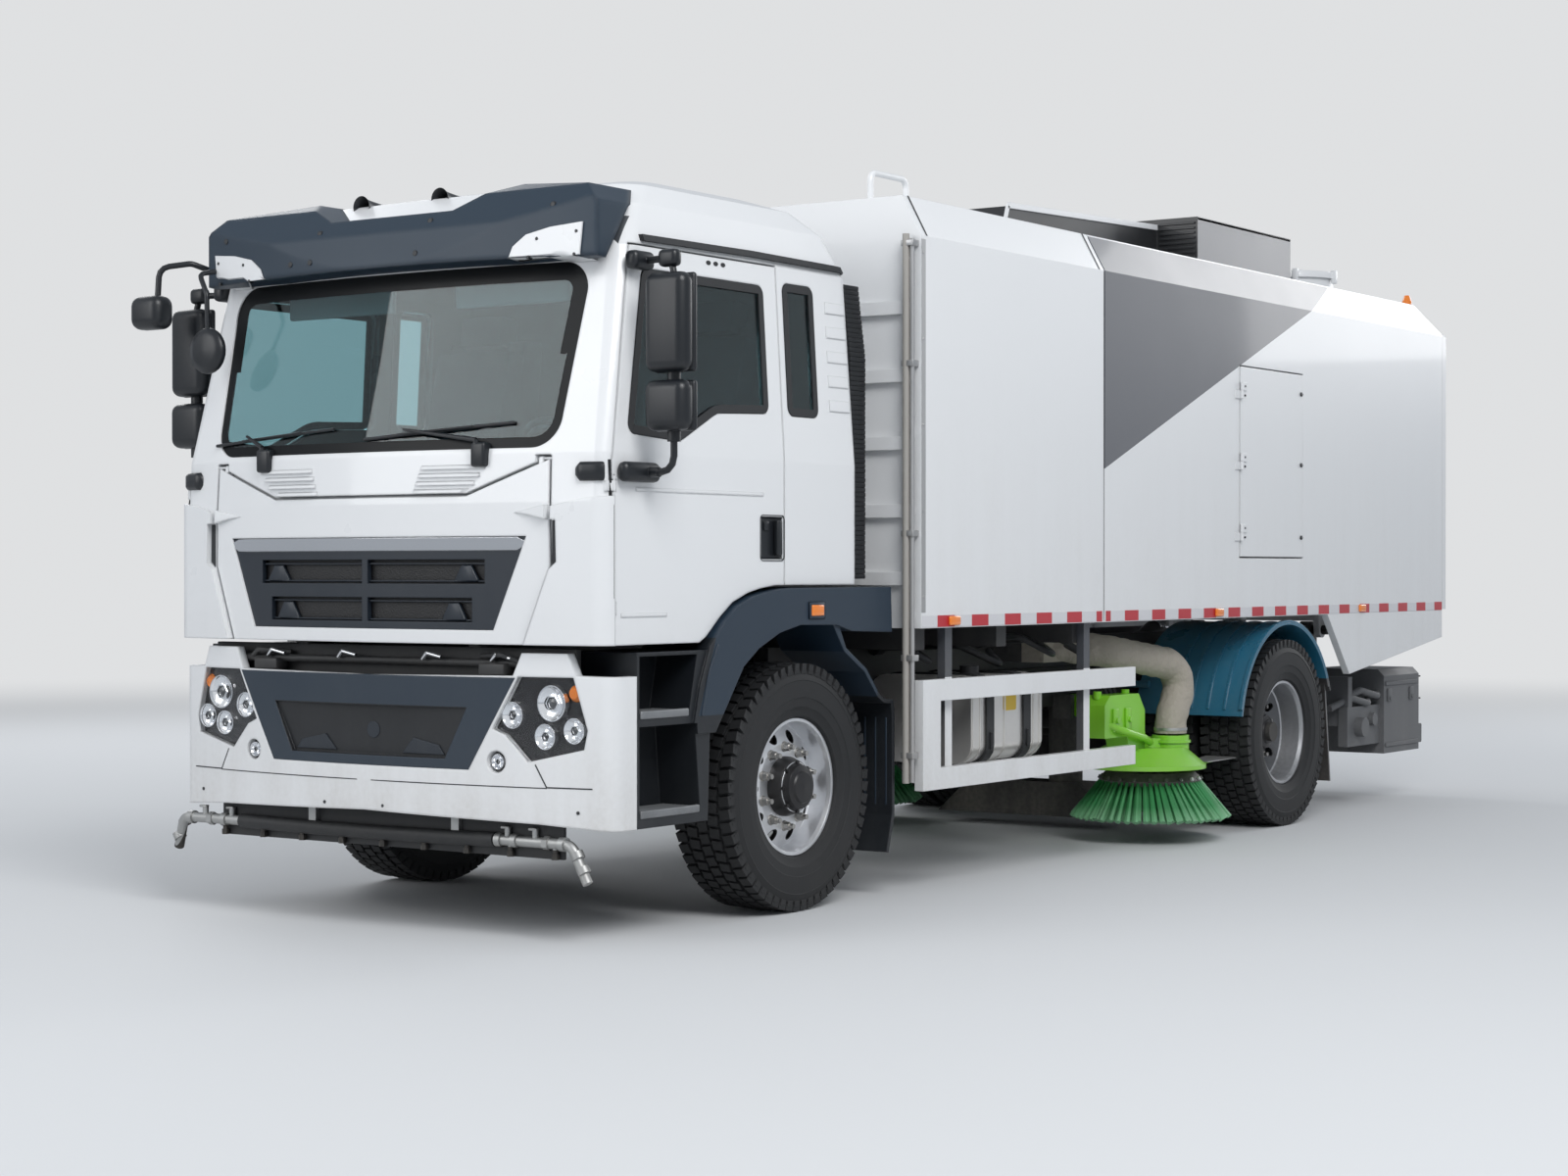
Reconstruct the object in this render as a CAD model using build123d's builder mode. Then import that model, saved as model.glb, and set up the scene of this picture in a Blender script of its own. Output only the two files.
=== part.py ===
from build123d import *
import math
import os

os.makedirs("parts", exist_ok=True)

# A two-axle street sweeper truck in millimetres. The front faces -Y, +X is the driver's side,
# +Z is up, and the origin lies on the ground below the middle of the whole truck.

# Driving dimensions
overall_length = 8550
wheelbase = 4700
front_overhang = 1450
body_half_width = 1255
body_floor_z = 1180
body_side_z = 2916
body_roof_z = 3100
roof_half_width = 1154
body_wall = 40
module_length = 1712
cab_half_width = 1140
cab_wall = 50
cab_skirt_z = 1150
cab_roof_z = 3010
tyre_radius = 525
tyre_width = 298
rim_radius = 290
front_wheel_x = 985
rear_outer_wheel_x = 1096
twin_spacing = 335
rail_outer_x = 430
rail_height = 280
rail_bottom_z = 700
rail_flange = 80
rail_plate = 10
seam_gap = 12
guard_thickness = 45
guard_post = 40
bumper_panel_back = 70
door_gap = 8
seat_gap = 0.3
pin_clearance = 0.5
moving_gap = 8

# Places worked out from the driving dimensions
front_y = -overall_length / 2
rear_y = overall_length / 2
front_axle_y = front_y + front_overhang
rear_axle_y = front_axle_y + wheelbase
rail_top_z = rail_bottom_z + rail_height
rail_inner_x = rail_outer_x - rail_flange
axle_z = tyre_radius
body_front_y = front_axle_y + 760
seam_y = body_front_y + module_length
hopper_front_y = seam_y + seam_gap
rear_door_thickness = 60
hopper_rear_y = rear_y - rear_door_thickness - 10


def save(node, name):
    """Label one finished piece and write it as its own file."""
    node.part.label = name
    export_step(node.part, f"parts/{name}.step")


# Cab envelope: plan outlines at seven heights, joined by ruled faces

cab_rear_dy = 440
cab_rear_y = front_axle_y + cab_rear_dy
cab_front_radius = 5825
windscreen_base_z = 1890
# height, front set back, half width, rear from the front axle, corner radius, and how much of
# a wall's thickness draws the outline in sideways and lowers it
cab_sections = [
    (cab_skirt_z, 0, cab_half_width, cab_rear_dy, 60, 1, 2),
    (1700, 0, cab_half_width, cab_rear_dy, 60, 1, 0),
    (windscreen_base_z, 10, cab_half_width, cab_rear_dy, 60, 1, 0),
    (2700, 200, cab_half_width - 48, cab_rear_dy, 90, 1, 0.25),
    (2880, 300, cab_half_width - 110, cab_rear_dy - 70, 110, 0.75, 0.65),
    (2970, 430, cab_half_width - 180, cab_rear_dy - 190, 130, 0.5, 0.87),
    (cab_roof_z, 640, cab_half_width - 290, cab_rear_dy - 390, 120, 0.2, 1),
]
smallest_corner = 8


def cab_envelope(inset):
    """The cab's outer form, or the same form drawn in by a wall's thickness but open below."""
    with BuildPart() as form:
        for section_z, setback, half_width, rear_dy, corner, side_share, drop_share in cab_sections:
            half = half_width - inset * side_share
            nose_y = front_y + setback + inset * side_share
            corner_y = nose_y + half**2 / (2 * cab_front_radius)
            tail_y = front_axle_y + rear_dy - inset * side_share
            with BuildSketch(Plane.XY.offset(section_z - abs(inset) * drop_share)):
                with BuildLine():
                    ThreePointArc((-half, corner_y), (0, nose_y), (half, corner_y))
                    Line((half, corner_y), (half, tail_y))
                    Line((half, tail_y), (-half, tail_y))
                    Line((-half, tail_y), (-half, corner_y))
                make_face()
                fillet(vertices(), radius=max(corner - inset * side_share, smallest_corner))
        loft(ruled=True)
    return form.part


def side_cutter(outline, inner_x, outer_x, grow=0, radius=0):
    """A block that stands on a side outline, from inner_x to outer_x."""
    with BuildPart() as block:
        with BuildSketch(Plane.YZ.offset(inner_x)):
            Polygon(*outline, align=None)
            if radius:
                fillet(vertices(), radius=radius)
            if grow:
                offset(amount=grow, kind=Kind.INTERSECTION)
        extrude(amount=outer_x - inner_x)
    return block.part


def front_cutter(outline, inner_y, outer_y, grow=0, radius=0):
    """A block that stands on a front outline, from inner_y forward to outer_y."""
    with BuildPart() as block:
        with BuildSketch(Plane.XZ.offset(-inner_y)):
            Polygon(*outline, align=None)
            if radius:
                fillet(vertices(), radius=radius)
            if grow:
                offset(amount=grow, kind=Kind.INTERSECTION)
        extrude(amount=inner_y - outer_y)
    return block.part


cab_outer = cab_envelope(0)
cab_inner = cab_envelope(cab_wall)

# Outlines on the cab's side, from the front axle back, and on its front
arch_front_y = front_axle_y - 650
arch_top_z = 1376
arch_edge = [
    (front_axle_y - 735, cab_skirt_z),
    (front_axle_y - 690, 1172),
    (front_axle_y - 597, 1248),
    (front_axle_y - 508, 1308),
    (front_axle_y - 400, 1346),
    (front_axle_y - 308, 1364),
    (front_axle_y - 205, arch_top_z),
]
door_front_y = front_y + 160
door_rear_y = front_axle_y - 140
door_outline = [
    (door_front_y, cab_skirt_z),
    (door_front_y, 1850),
    (door_front_y + 180, 2700),
    (door_rear_y, 2700),
    (door_rear_y, arch_top_z),
    *reversed(arch_edge),
]
door_window_outline = [
    (front_axle_y - 1195, 1965),
    (front_axle_y - 856, 1944),
    (front_axle_y - 600, 2068),
    (front_axle_y - 234, 2082),
    (front_axle_y - 234, 2615),
    (front_axle_y - 1055, 2615),
]
quarter_window_outline = [
    (front_axle_y - 95, 2080),
    (front_axle_y + 135, 2080),
    (front_axle_y + 135, 2640),
    (front_axle_y - 95, 2640),
]
windscreen_outline = [(-925, 1910), (925, 1910), (965, 2640), (-965, 2640)]
window_corner = 40
windscreen_corner = 120
flap_outline = [
    (-785, cab_skirt_z),
    (785, cab_skirt_z),
    (903, 1455),
    (900, 1660),
    (896, 1863),
    (520, 1726),
    (-520, 1726),
    (-896, 1863),
    (-900, 1660),
    (-903, 1455),
]
flap_gap = 12
flap_thickness = 10
flap_recess = 40
flap_hinge_y = front_y + 88
flap_hinge_z = 1868
flap_pin_radius = 5
flap_eye_x = 855
flap_pocket_middle = 869
flap_pocket_width = 68
flap_eye_radius = 9
grille_depth = 30
wing_outline = [
    (803, cab_skirt_z),
    (cab_half_width + 30, cab_skirt_z),
    (cab_half_width + 30, 1722),
    (1060, 1712),
    (922, 1684),
    (922, 1455),
]
wing_slot_outline = [(915, 1440), (950, 1470), (946, 1632), (915, 1632)]
wing_rise = 25
wing_slot_depth = 18
grille_outline = [(-650, 1205), (650, 1205), (800, 1570), (-800, 1570)]
footwell_z = 1300
rear_floor_z = 1390
floor_plate = 40
firewall_y = front_y + 165
tunnel_half_width = 380
tunnel_top_z = 1490
tunnel_plate = 30
tilt_pivot_y = front_y + 175
tilt_pivot_z = 915

door_hinge_x = cab_half_width - 2
door_hinge_y = door_front_y + 10
door_hinge_zs = (1290, 1760)
door_pin_radius = 5
hinge_arm_height = 40
flap_stop_x = 700
flap_stop_back = 79
flap_stop_length = 34

with BuildPart() as cab_cavity:
    add(cab_inner)
    with BuildSketch(Plane.YZ):
        Polygon(
            (firewall_y, footwell_z + floor_plate),
            (arch_front_y, footwell_z + floor_plate),
            (arch_front_y, rear_floor_z + floor_plate),
            (cab_rear_y, rear_floor_z + floor_plate),
            (cab_rear_y, body_roof_z),
            (front_y, body_roof_z),
            (front_y, windscreen_base_z),
            (firewall_y, windscreen_base_z),
            align=None,
        )
    extrude(amount=cab_half_width, both=True, mode=Mode.INTERSECT)
    with BuildSketch(Plane.XZ.offset(-rear_y)):
        with Locations((0, footwell_z)):
            Rectangle(
                2 * (tunnel_half_width + tunnel_plate),
                tunnel_top_z + tunnel_plate - footwell_z,
                align=(Align.CENTER, Align.MIN),
            )
    extrude(amount=overall_length, mode=Mode.SUBTRACT)

with BuildPart() as cab_shell:
    add(cab_outer)
    add(cab_cavity.part, mode=Mode.SUBTRACT)
    with BuildSketch(Plane.YZ):
        Polygon(
            (firewall_y - 60, cab_skirt_z - 1),
            (firewall_y - 60, cab_skirt_z + 60),
            (firewall_y, footwell_z),
            (arch_front_y, footwell_z),
            (arch_front_y, rear_floor_z),
            (cab_rear_y + 1, rear_floor_z),
            (cab_rear_y + 1, cab_skirt_z - 1),
            align=None,
        )
    extrude(amount=cab_half_width - cab_wall, both=True, mode=Mode.SUBTRACT)
    with BuildSketch(Plane.YZ):
        Polygon(
            (arch_edge[0][0] - 2, cab_skirt_z - 1),
            *arch_edge,
            (cab_rear_y + 1, arch_top_z),
            (cab_rear_y + 1, cab_skirt_z - 1),
            align=None,
        )
    extrude(amount=2 * cab_half_width, both=True, mode=Mode.SUBTRACT)
    with BuildSketch(Plane.XZ.offset(-rear_y)):
        with Locations((0, cab_skirt_z - 1)):
            Rectangle(
                2 * tunnel_half_width,
                tunnel_top_z - cab_skirt_z + 1,
                align=(Align.CENTER, Align.MIN),
            )
    extrude(amount=rear_y - firewall_y + 40, mode=Mode.SUBTRACT)
    for side in (1, -1):
        inner_x, outer_x = side * (cab_half_width - 120), side * (cab_half_width + 20)
        add(side_cutter(door_outline, inner_x, outer_x, grow=door_gap), mode=Mode.SUBTRACT)
        add(
            side_cutter(quarter_window_outline, inner_x, outer_x, radius=window_corner),
            mode=Mode.SUBTRACT,
        )
    add(
        front_cutter(windscreen_outline, front_y + 420, front_y - 20, radius=windscreen_corner),
        mode=Mode.SUBTRACT,
    )

with BuildPart() as flap_space:
    add(cab_outer)
    add(cab_envelope(flap_recess), mode=Mode.SUBTRACT)
    add(front_cutter(flap_outline, front_y + 200, front_y - 20, grow=flap_gap), mode=Mode.INTERSECT)

# Raised panels at the front corners, each with a ledge on top and an air slot
with BuildPart() as corner_wings:
    add(cab_envelope(-wing_rise))
    add(front_cutter(wing_outline, front_y + 148, front_y - 40), mode=Mode.INTERSECT)
    add(cab_envelope(wing_slot_depth), mode=Mode.SUBTRACT)
    with BuildPart(mode=Mode.PRIVATE) as wing_slot:
        add(front_cutter(wing_slot_outline, front_y + 148, front_y - 40))
    add(wing_slot.part, mode=Mode.SUBTRACT)

with BuildPart() as cab_shell_finished:
    add(cab_shell.part)
    add(flap_space.part, mode=Mode.SUBTRACT)
    add(corner_wings.part)
    # Tilt lugs, notched in front so that they clear the bumper when the cab is tilted
    with BuildSketch(Plane.YZ.offset(440)):
        Polygon(
            (tilt_pivot_y - 45, tilt_pivot_z),
            (tilt_pivot_y - 45, tilt_pivot_z + 92),
            (tilt_pivot_y + 22, tilt_pivot_z + 161),
            (tilt_pivot_y - 60, tilt_pivot_z + 240),
            (firewall_y - 50, footwell_z + 5),
            (firewall_y + 130, footwell_z + 5),
            (tilt_pivot_y + 110, tilt_pivot_z + 200),
            (tilt_pivot_y + 45, tilt_pivot_z),
            align=None,
        )
        with Locations((tilt_pivot_y, tilt_pivot_z)):
            Circle(45)
            Circle(25 + pin_clearance, mode=Mode.SUBTRACT)
    extrude(amount=60)
    # Pins of the front flap's hinge, each across a pocket at the panel's top corner
    for side in (1, -1):
        with Locations((side * flap_pocket_middle, flap_hinge_y, flap_hinge_z)):
            Box(flap_pocket_width, 80, 30, mode=Mode.SUBTRACT)
    with BuildSketch(Plane.YZ.offset(flap_eye_x - 30)):
        with Locations((flap_hinge_y, flap_hinge_z)):
            Circle(flap_pin_radius)
    extrude(amount=96)
    for hinge_height in door_hinge_zs:
        with BuildSketch(Plane.XY.offset(hinge_height - hinge_arm_height / 2)):
            with Locations((door_hinge_x - 5, door_hinge_y)):
                Rectangle(14, 46, align=(Align.CENTER, Align.MAX))
            with Locations((door_hinge_x, door_hinge_y)):
                Circle(door_pin_radius + 3)
        extrude(amount=hinge_arm_height)
        with BuildSketch(Plane.XY.offset(hinge_height - hinge_arm_height)):
            with Locations((door_hinge_x, door_hinge_y)):
                Circle(door_pin_radius)
        extrude(amount=2 * hinge_arm_height)
    mirror(about=Plane.YZ)
save(cab_shell_finished, "cab_shell")


# Windscreen and rear side windows

glass_thickness = 8
glass_inset = 6
glass_skin_outer = cab_envelope(glass_inset)
glass_skin_inner = cab_envelope(glass_inset + glass_thickness)
with BuildPart() as glass_skin:
    add(glass_skin_outer)
    add(glass_skin_inner, mode=Mode.SUBTRACT)

with BuildPart() as cab_glass:
    add(glass_skin.part)
    with BuildPart(mode=Mode.PRIVATE) as panes:
        add(
            front_cutter(
                windscreen_outline,
                front_y + 420,
                front_y - 20,
                grow=-seat_gap,
                radius=windscreen_corner,
            )
        )
        for side in (1, -1):
            add(
                side_cutter(
                    quarter_window_outline,
                    side * (cab_half_width - 110),
                    side * (cab_half_width + 20),
                    grow=-seat_gap,
                    radius=window_corner,
                )
            )
    add(panes.part, mode=Mode.INTERSECT)
save(cab_glass, "cab_glass")

# Front flap with the grille

with BuildPart() as front_flap:
    add(cab_outer)
    add(cab_envelope(flap_thickness), mode=Mode.SUBTRACT)
    add(front_cutter(flap_outline, front_y + 200, front_y - 20), mode=Mode.INTERSECT)
    add(front_cutter(grille_outline, front_y + 220, front_y - 30), mode=Mode.SUBTRACT)
    # Rubber-faced stops behind the panel and the two hinge eyes at its top corners
    for stop_z in (1195, 1665):
        with BuildSketch(Plane.XZ.offset(-front_y - flap_stop_back)):
            with Locations((flap_stop_x, stop_z), (-flap_stop_x, stop_z)):
                Circle(15)
        extrude(amount=flap_stop_length)
    for eye_x in (flap_eye_x, -flap_eye_x):
        with BuildSketch(Plane.YZ.offset(eye_x - 10)):
            with Locations((flap_hinge_y, flap_hinge_z)):
                Circle(flap_eye_radius)
            Polygon(
                (flap_hinge_y - flap_eye_radius, flap_hinge_z),
                (flap_hinge_y + flap_eye_radius, flap_hinge_z),
                (flap_hinge_y + flap_eye_radius - 4, flap_hinge_z - 40),
                (flap_hinge_y - flap_eye_radius - 4, flap_hinge_z - 40),
                align=None,
            )
            with Locations((flap_hinge_y, flap_hinge_z)):
                Circle(flap_pin_radius + pin_clearance, mode=Mode.SUBTRACT)
        extrude(amount=20)
save(front_flap, "front_flap")

grille_slot_rows = [(1235, 1330), (1385, 1480)]
with BuildPart() as grille:
    add(cab_envelope(6))
    add(cab_envelope(grille_depth), mode=Mode.SUBTRACT)
    add(
        front_cutter(grille_outline, front_y + 220, front_y - 30, grow=-seat_gap),
        mode=Mode.INTERSECT,
    )
    for slot_bottom, slot_top in grille_slot_rows:
        slot_half = 560 if slot_bottom < 1300 else 620
        with BuildSketch(Plane.XZ.offset(-front_y - 200)):
            with Locations((0, (slot_bottom + slot_top) / 2)):
                with GridLocations(slot_half, 0, 2, 1):
                    Rectangle(slot_half - 30, slot_top - slot_bottom)
        extrude(amount=300, mode=Mode.SUBTRACT)
save(grille, "grille")

# Doors with their window panes

with BuildPart() as door_skin:
    add(cab_outer)
    add(cab_inner, mode=Mode.SUBTRACT)

for side, name in ((1, "left"), (-1, "right")):
    inner_x, outer_x = side * (cab_half_width - 115), side * (cab_half_width + 20)
    with BuildPart() as door:
        add(door_skin.part)
        add(side_cutter(door_outline, inner_x, outer_x), mode=Mode.INTERSECT)
        add(
            side_cutter(door_window_outline, inner_x, outer_x, radius=window_corner),
            mode=Mode.SUBTRACT,
        )
        # Pocket for the handle at the rear edge
        with Locations((side * cab_half_width, front_axle_y - 228, 1571)):
            Box(28, 156, 176, mode=Mode.SUBTRACT)
        # Pockets at the front edge for the hinge arms, bored for their pins
        for hinge_height in door_hinge_zs:
            with Locations((side * cab_half_width, door_hinge_y + 14, hinge_height)):
                Box(
                    140,
                    60,
                    hinge_arm_height + 10,
                    align=(Align.CENTER, Align.MAX, Align.CENTER),
                    mode=Mode.SUBTRACT,
                )
            with Locations((side * door_hinge_x, door_hinge_y, hinge_height)):
                Cylinder(
                    door_pin_radius + pin_clearance,
                    2 * hinge_arm_height + 6,
                    mode=Mode.SUBTRACT,
                )
    save(door, f"door_{name}")
    with BuildPart() as door_glass:
        add(glass_skin.part)
        add(
            side_cutter(
                door_window_outline, inner_x, outer_x, grow=-seat_gap, radius=window_corner
            ),
            mode=Mode.INTERSECT,
        )
    save(door_glass, f"door_glass_{name}")

# Mirrors: a tall one and a wide-angle one on a bent tube that the door carries

mirror_x = cab_half_width + 165
mirror_y = front_axle_y - 1140
mirror_arm_radius = 14
mirror_cases = [(2195, 2575, 200, 115), (1970, 2165, 200, 120)]
arm_root_x = cab_half_width - 41
pivot_z = 1815
for side, name in ((1, "left"), (-1, "right")):
    with BuildPart() as mirrors:
        for case_bottom, case_top, case_width, case_depth in mirror_cases:
            with BuildSketch(Plane.XY.offset(case_bottom)):
                with Locations((side * mirror_x, mirror_y)):
                    RectangleRounded(case_width, case_depth, 40)
            extrude(amount=case_top - case_bottom)
        arm_top_z = mirror_cases[0][1] + 60
        with BuildLine():
            FilletPolyline(
                (side * arm_root_x, mirror_y + 60, arm_top_z),
                (side * mirror_x, mirror_y + 20, arm_top_z),
                (side * mirror_x, mirror_y + 20, pivot_z),
                (side * (cab_half_width + 20), mirror_y + 20, pivot_z),
                radius=60,
            )
        with BuildSketch(
            Plane(
                origin=(side * arm_root_x, mirror_y + 60, arm_top_z),
                z_dir=(side * (mirror_x - arm_root_x), -40, 0),
            )
        ):
            Circle(mirror_arm_radius)
        sweep()
        with BuildSketch(Plane.YZ.offset(side * (cab_half_width + seat_gap))):
            with Locations((mirror_y - 20, pivot_z)):
                SlotOverall(230, 80)
        extrude(amount=side * 55)
    save(mirrors, f"mirrors_{name}")


# Roof visor across the top of the windscreen, with two crests and a dip between them

visor_crest = [
    (-1060, 2600),
    (1060, 2600),
    (1060, 2860),
    (980, 2934),
    (560, 2975),
    (332, 2868),
    (-332, 2868),
    (-560, 2975),
    (-980, 2934),
    (-1060, 2860),
]
with BuildPart() as roof_visor:
    with BuildSketch(Plane.YZ):
        with BuildLine():
            Polyline(
                (front_y + 75, 2655),
                (front_y + 110, 2800),
                (front_y + 205, 2930),
                (front_y + 330, 2975),
                (front_y + 520, 3000),
                (front_y + 520, 2960),
                (front_y + 360, 2850),
                (front_y + 260, 2700),
                (front_y + 220, 2640),
                (front_y + 75, 2655),
            )
        make_face()
    extrude(amount=cab_half_width, both=True)
    with BuildSketch(Plane.XY.offset(2600)):
        with BuildLine():
            ThreePointArc(
                (-1060, front_y + 170), (0, front_y + 75), (1060, front_y + 170)
            )
            Polyline(
                (1060, front_y + 170),
                (1060, front_y + 700),
                (-1060, front_y + 700),
                (-1060, front_y + 170),
            )
        make_face()
    extrude(amount=500, mode=Mode.INTERSECT)
    with BuildSketch(Plane.XZ.offset(-rear_y)):
        Polygon(*visor_crest, align=None)
    extrude(amount=overall_length, mode=Mode.INTERSECT)
    add(cab_outer, mode=Mode.SUBTRACT)
save(roof_visor, "roof_visor")

# Cab interior: dashboard, steering wheel, two seats and the bunk box behind them

with BuildPart() as cab_interior:
    with BuildSketch(Plane.YZ):
        Polygon(
            (firewall_y + seat_gap, tunnel_top_z + tunnel_plate + 5),
            (firewall_y + 200, tunnel_top_z + tunnel_plate + 5),
            (firewall_y + 260, 1750),
            (firewall_y + 180, 1850),
            (firewall_y + seat_gap, 1870),
            align=None,
        )
    extrude(amount=cab_half_width - cab_wall - 75, both=True)
    for seat_x in (-645, 645):
        with BuildSketch(Plane.YZ.offset(seat_x - 225)):
            Polygon(
                (front_axle_y - 560, rear_floor_z + floor_plate),
                (front_axle_y - 560, 1830),
                (front_axle_y - 80, 1790),
                (front_axle_y + 60, 2480),
                (front_axle_y + 170, 2480),
                (front_axle_y + 60, rear_floor_z + floor_plate),
                align=None,
            )
        extrude(amount=450)
    with BuildSketch(Plane.YZ):
        Polygon(
            (front_axle_y + 180, rear_floor_z + floor_plate + tunnel_plate + 70),
            (front_axle_y + 180, 1760),
            (cab_rear_y - cab_wall - seat_gap, 1760),
            (cab_rear_y - cab_wall - seat_gap, rear_floor_z + floor_plate + tunnel_plate + 70),
            align=None,
        )
    extrude(amount=cab_half_width - cab_wall - 70, both=True)
    wheel_plane = Plane(origin=(620, firewall_y + 420, 1880), z_dir=(0, 0.55, 0.83))
    with BuildSketch(wheel_plane):
        Circle(225)
        Circle(195, mode=Mode.SUBTRACT)
        Rectangle(400, 40)
        Circle(60)
    extrude(amount=28)
    with BuildSketch(wheel_plane):
        Circle(32)
    extrude(amount=-340)
save(cab_interior, "cab_interior")

# Chassis frame: two channel rails, cross tubes, subframe, rear hinge ears and tilt pivots

frame_front_y = front_y + 150
frame_rear_y = rear_y - 120
hinge_y = rear_y - 180
hinge_z = 1050
hinge_pin_radius = 30
lift_base_y = hinge_y - 1800
lift_base_z = hinge_z - 290
subframe_height = 100
tow_plate = 20
tow_plate_height = 240
tow_centre_z = rail_bottom_z + rail_height / 2
tow_bolt_pitch_x = 160
tow_bolt_pitch_z = 100
tow_bolt_hole = 10.5
low_tube_z = rail_bottom_z + 60
high_tube_z = rail_top_z - 50
cross_tubes = [
    (frame_front_y + 60, low_tube_z),
    (front_axle_y + 1150, high_tube_z),
    (front_axle_y + 1900, high_tube_z),
    (rear_axle_y - 900, high_tube_z),
    (rear_axle_y - 420, high_tube_z),
    (lift_base_y, lift_base_z),
    (rear_axle_y + 1300, low_tube_z),
    (frame_rear_y - 200, low_tube_z),
]
with BuildPart() as chassis_frame:
    with BuildSketch(Plane.XZ.offset(-frame_front_y)):
        Polygon(
            (rail_inner_x, rail_bottom_z),
            (rail_outer_x, rail_bottom_z),
            (rail_outer_x, rail_top_z),
            (rail_inner_x, rail_top_z),
            (rail_inner_x, rail_top_z - rail_plate),
            (rail_outer_x - rail_plate, rail_top_z - rail_plate),
            (rail_outer_x - rail_plate, rail_bottom_z + rail_plate),
            (rail_inner_x, rail_bottom_z + rail_plate),
            align=None,
        )
        mirror(about=Plane.YZ)
    extrude(amount=-(frame_rear_y - frame_front_y))
    for tube_y, tube_z in cross_tubes:
        with BuildSketch(Plane.YZ.offset(-rail_outer_x + rail_plate / 2)):
            with Locations((tube_y, tube_z)):
                Circle(45)
        extrude(amount=2 * rail_outer_x - rail_plate)
    with BuildSketch(Plane.XZ.offset(-body_front_y)):
        with Locations((rail_outer_x - 40, rail_top_z), (-rail_outer_x + 40, rail_top_z)):
            Rectangle(80, subframe_height, align=(Align.CENTER, Align.MIN))
    extrude(amount=-(frame_rear_y - body_front_y))
    for bearer_y in (body_front_y + 120, body_front_y + 850, seam_y - 120):
        with BuildSketch(Plane.XY.offset(rail_top_z + subframe_height)):
            with Locations((0, bearer_y)):
                Rectangle(2 * (body_half_width - guard_thickness - guard_post - seat_gap), 90)
        extrude(amount=body_floor_z - rail_top_z - subframe_height)
    with BuildSketch(Plane.YZ.offset(rail_outer_x - 80)):
        with Locations((hinge_y, hinge_z)):
            Circle(55)
        Polygon(
            (hinge_y - 55, rail_top_z + 10),
            (hinge_y + 55, rail_top_z + 10),
            (hinge_y + 55, hinge_z),
            (hinge_y - 55, hinge_z),
            align=None,
        )
    extrude(amount=80)
    with BuildSketch(Plane.YZ.offset(rail_outer_x - 80)):
        with Locations((hinge_y, hinge_z)):
            Circle(hinge_pin_radius)
    extrude(amount=180)
    with BuildSketch(Plane.YZ.offset(rail_outer_x - 80)):
        Polygon(
            (tilt_pivot_y - 40, tilt_pivot_z + 40),
            (tilt_pivot_y - 40, tilt_pivot_z - 60),
            (frame_front_y + 120, rail_bottom_z + 40),
            (frame_front_y + 120, tilt_pivot_z + 40),
            align=None,
        )
    extrude(amount=72)
    with BuildSketch(Plane.YZ.offset(rail_outer_x - 80)):
        with Locations((tilt_pivot_y, tilt_pivot_z)):
            Circle(25)
    extrude(amount=150)
    # Rear cross member, drilled for a towing jaw
    with BuildSketch(Plane.XZ.offset(-frame_rear_y + tow_plate)):
        with Locations((0, tow_centre_z)):
            Rectangle(2 * rail_outer_x - rail_plate, tow_plate_height)
            with GridLocations(tow_bolt_pitch_x, tow_bolt_pitch_z, 2, 2):
                Circle(tow_bolt_hole, mode=Mode.SUBTRACT)
    extrude(amount=-tow_plate)
    # Brackets that carry the bumper
    with BuildSketch(Plane.XZ.offset(-frame_front_y - 1)):
        with Locations((rail_outer_x - 40, rail_bottom_z + 110)):
            Rectangle(76, 100)
    extrude(amount=frame_front_y + 1 - front_y - bumper_panel_back - seat_gap)
    mirror(about=Plane.YZ)
save(chassis_frame, "chassis_frame")


# Engine, radiator, gearbox: plain masses at their real places

engine_rear_y = front_axle_y + 375
engine_mount_reach = 2 * (rail_outer_x - rail_plate - seat_gap)
with BuildPart() as engine:
    with Locations((0, engine_rear_y, 645)):
        Box(660, 1250, 800, align=(Align.CENTER, Align.MAX, Align.MIN))
    with Locations((0, engine_rear_y, 620)):
        Box(420, 665, 420, align=(Align.CENTER, Align.MIN, Align.MIN))
    with Locations((0, front_axle_y - 1070, 1010)):
        Box(640, 120, 620)
    for mount_y in (front_axle_y - 1070, front_axle_y - 600, front_axle_y + 150):
        with Locations((0, mount_y, 840)):
            Box(engine_mount_reach, 90, 80)
save(engine, "engine")

# Axles with leaf springs; the rear one carries the propshaft

kingpin_x = 800
kingpin_radius = 24
eye_radius = 45
eye_height = 90
spring_x = rail_outer_x - 40
spring_width = 76
spring_eye_z = rail_bottom_z - seat_gap
rear_tube_radius = 70
rear_spindle_radius = 55
rear_spindle_end_x = rear_outer_wheel_x + 60


def leaf_pack(centre_y, half_length, eye_z, sag, thickness):
    """One leaf spring as an arched bar, thick at the axle and thin at its eyes."""
    with BuildPart() as pack:
        with BuildSketch(Plane.YZ.offset(spring_x - spring_width / 2)):
            with BuildLine():
                ThreePointArc(
                    (centre_y - half_length, eye_z),
                    (centre_y, eye_z - sag),
                    (centre_y + half_length, eye_z),
                )
                Line((centre_y + half_length, eye_z), (centre_y + half_length, eye_z - 20))
                ThreePointArc(
                    (centre_y + half_length, eye_z - 20),
                    (centre_y, eye_z - sag - thickness),
                    (centre_y - half_length, eye_z - 20),
                )
                Line((centre_y - half_length, eye_z - 20), (centre_y - half_length, eye_z))
            make_face()
        extrude(amount=spring_width)
    return pack.part


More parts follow.
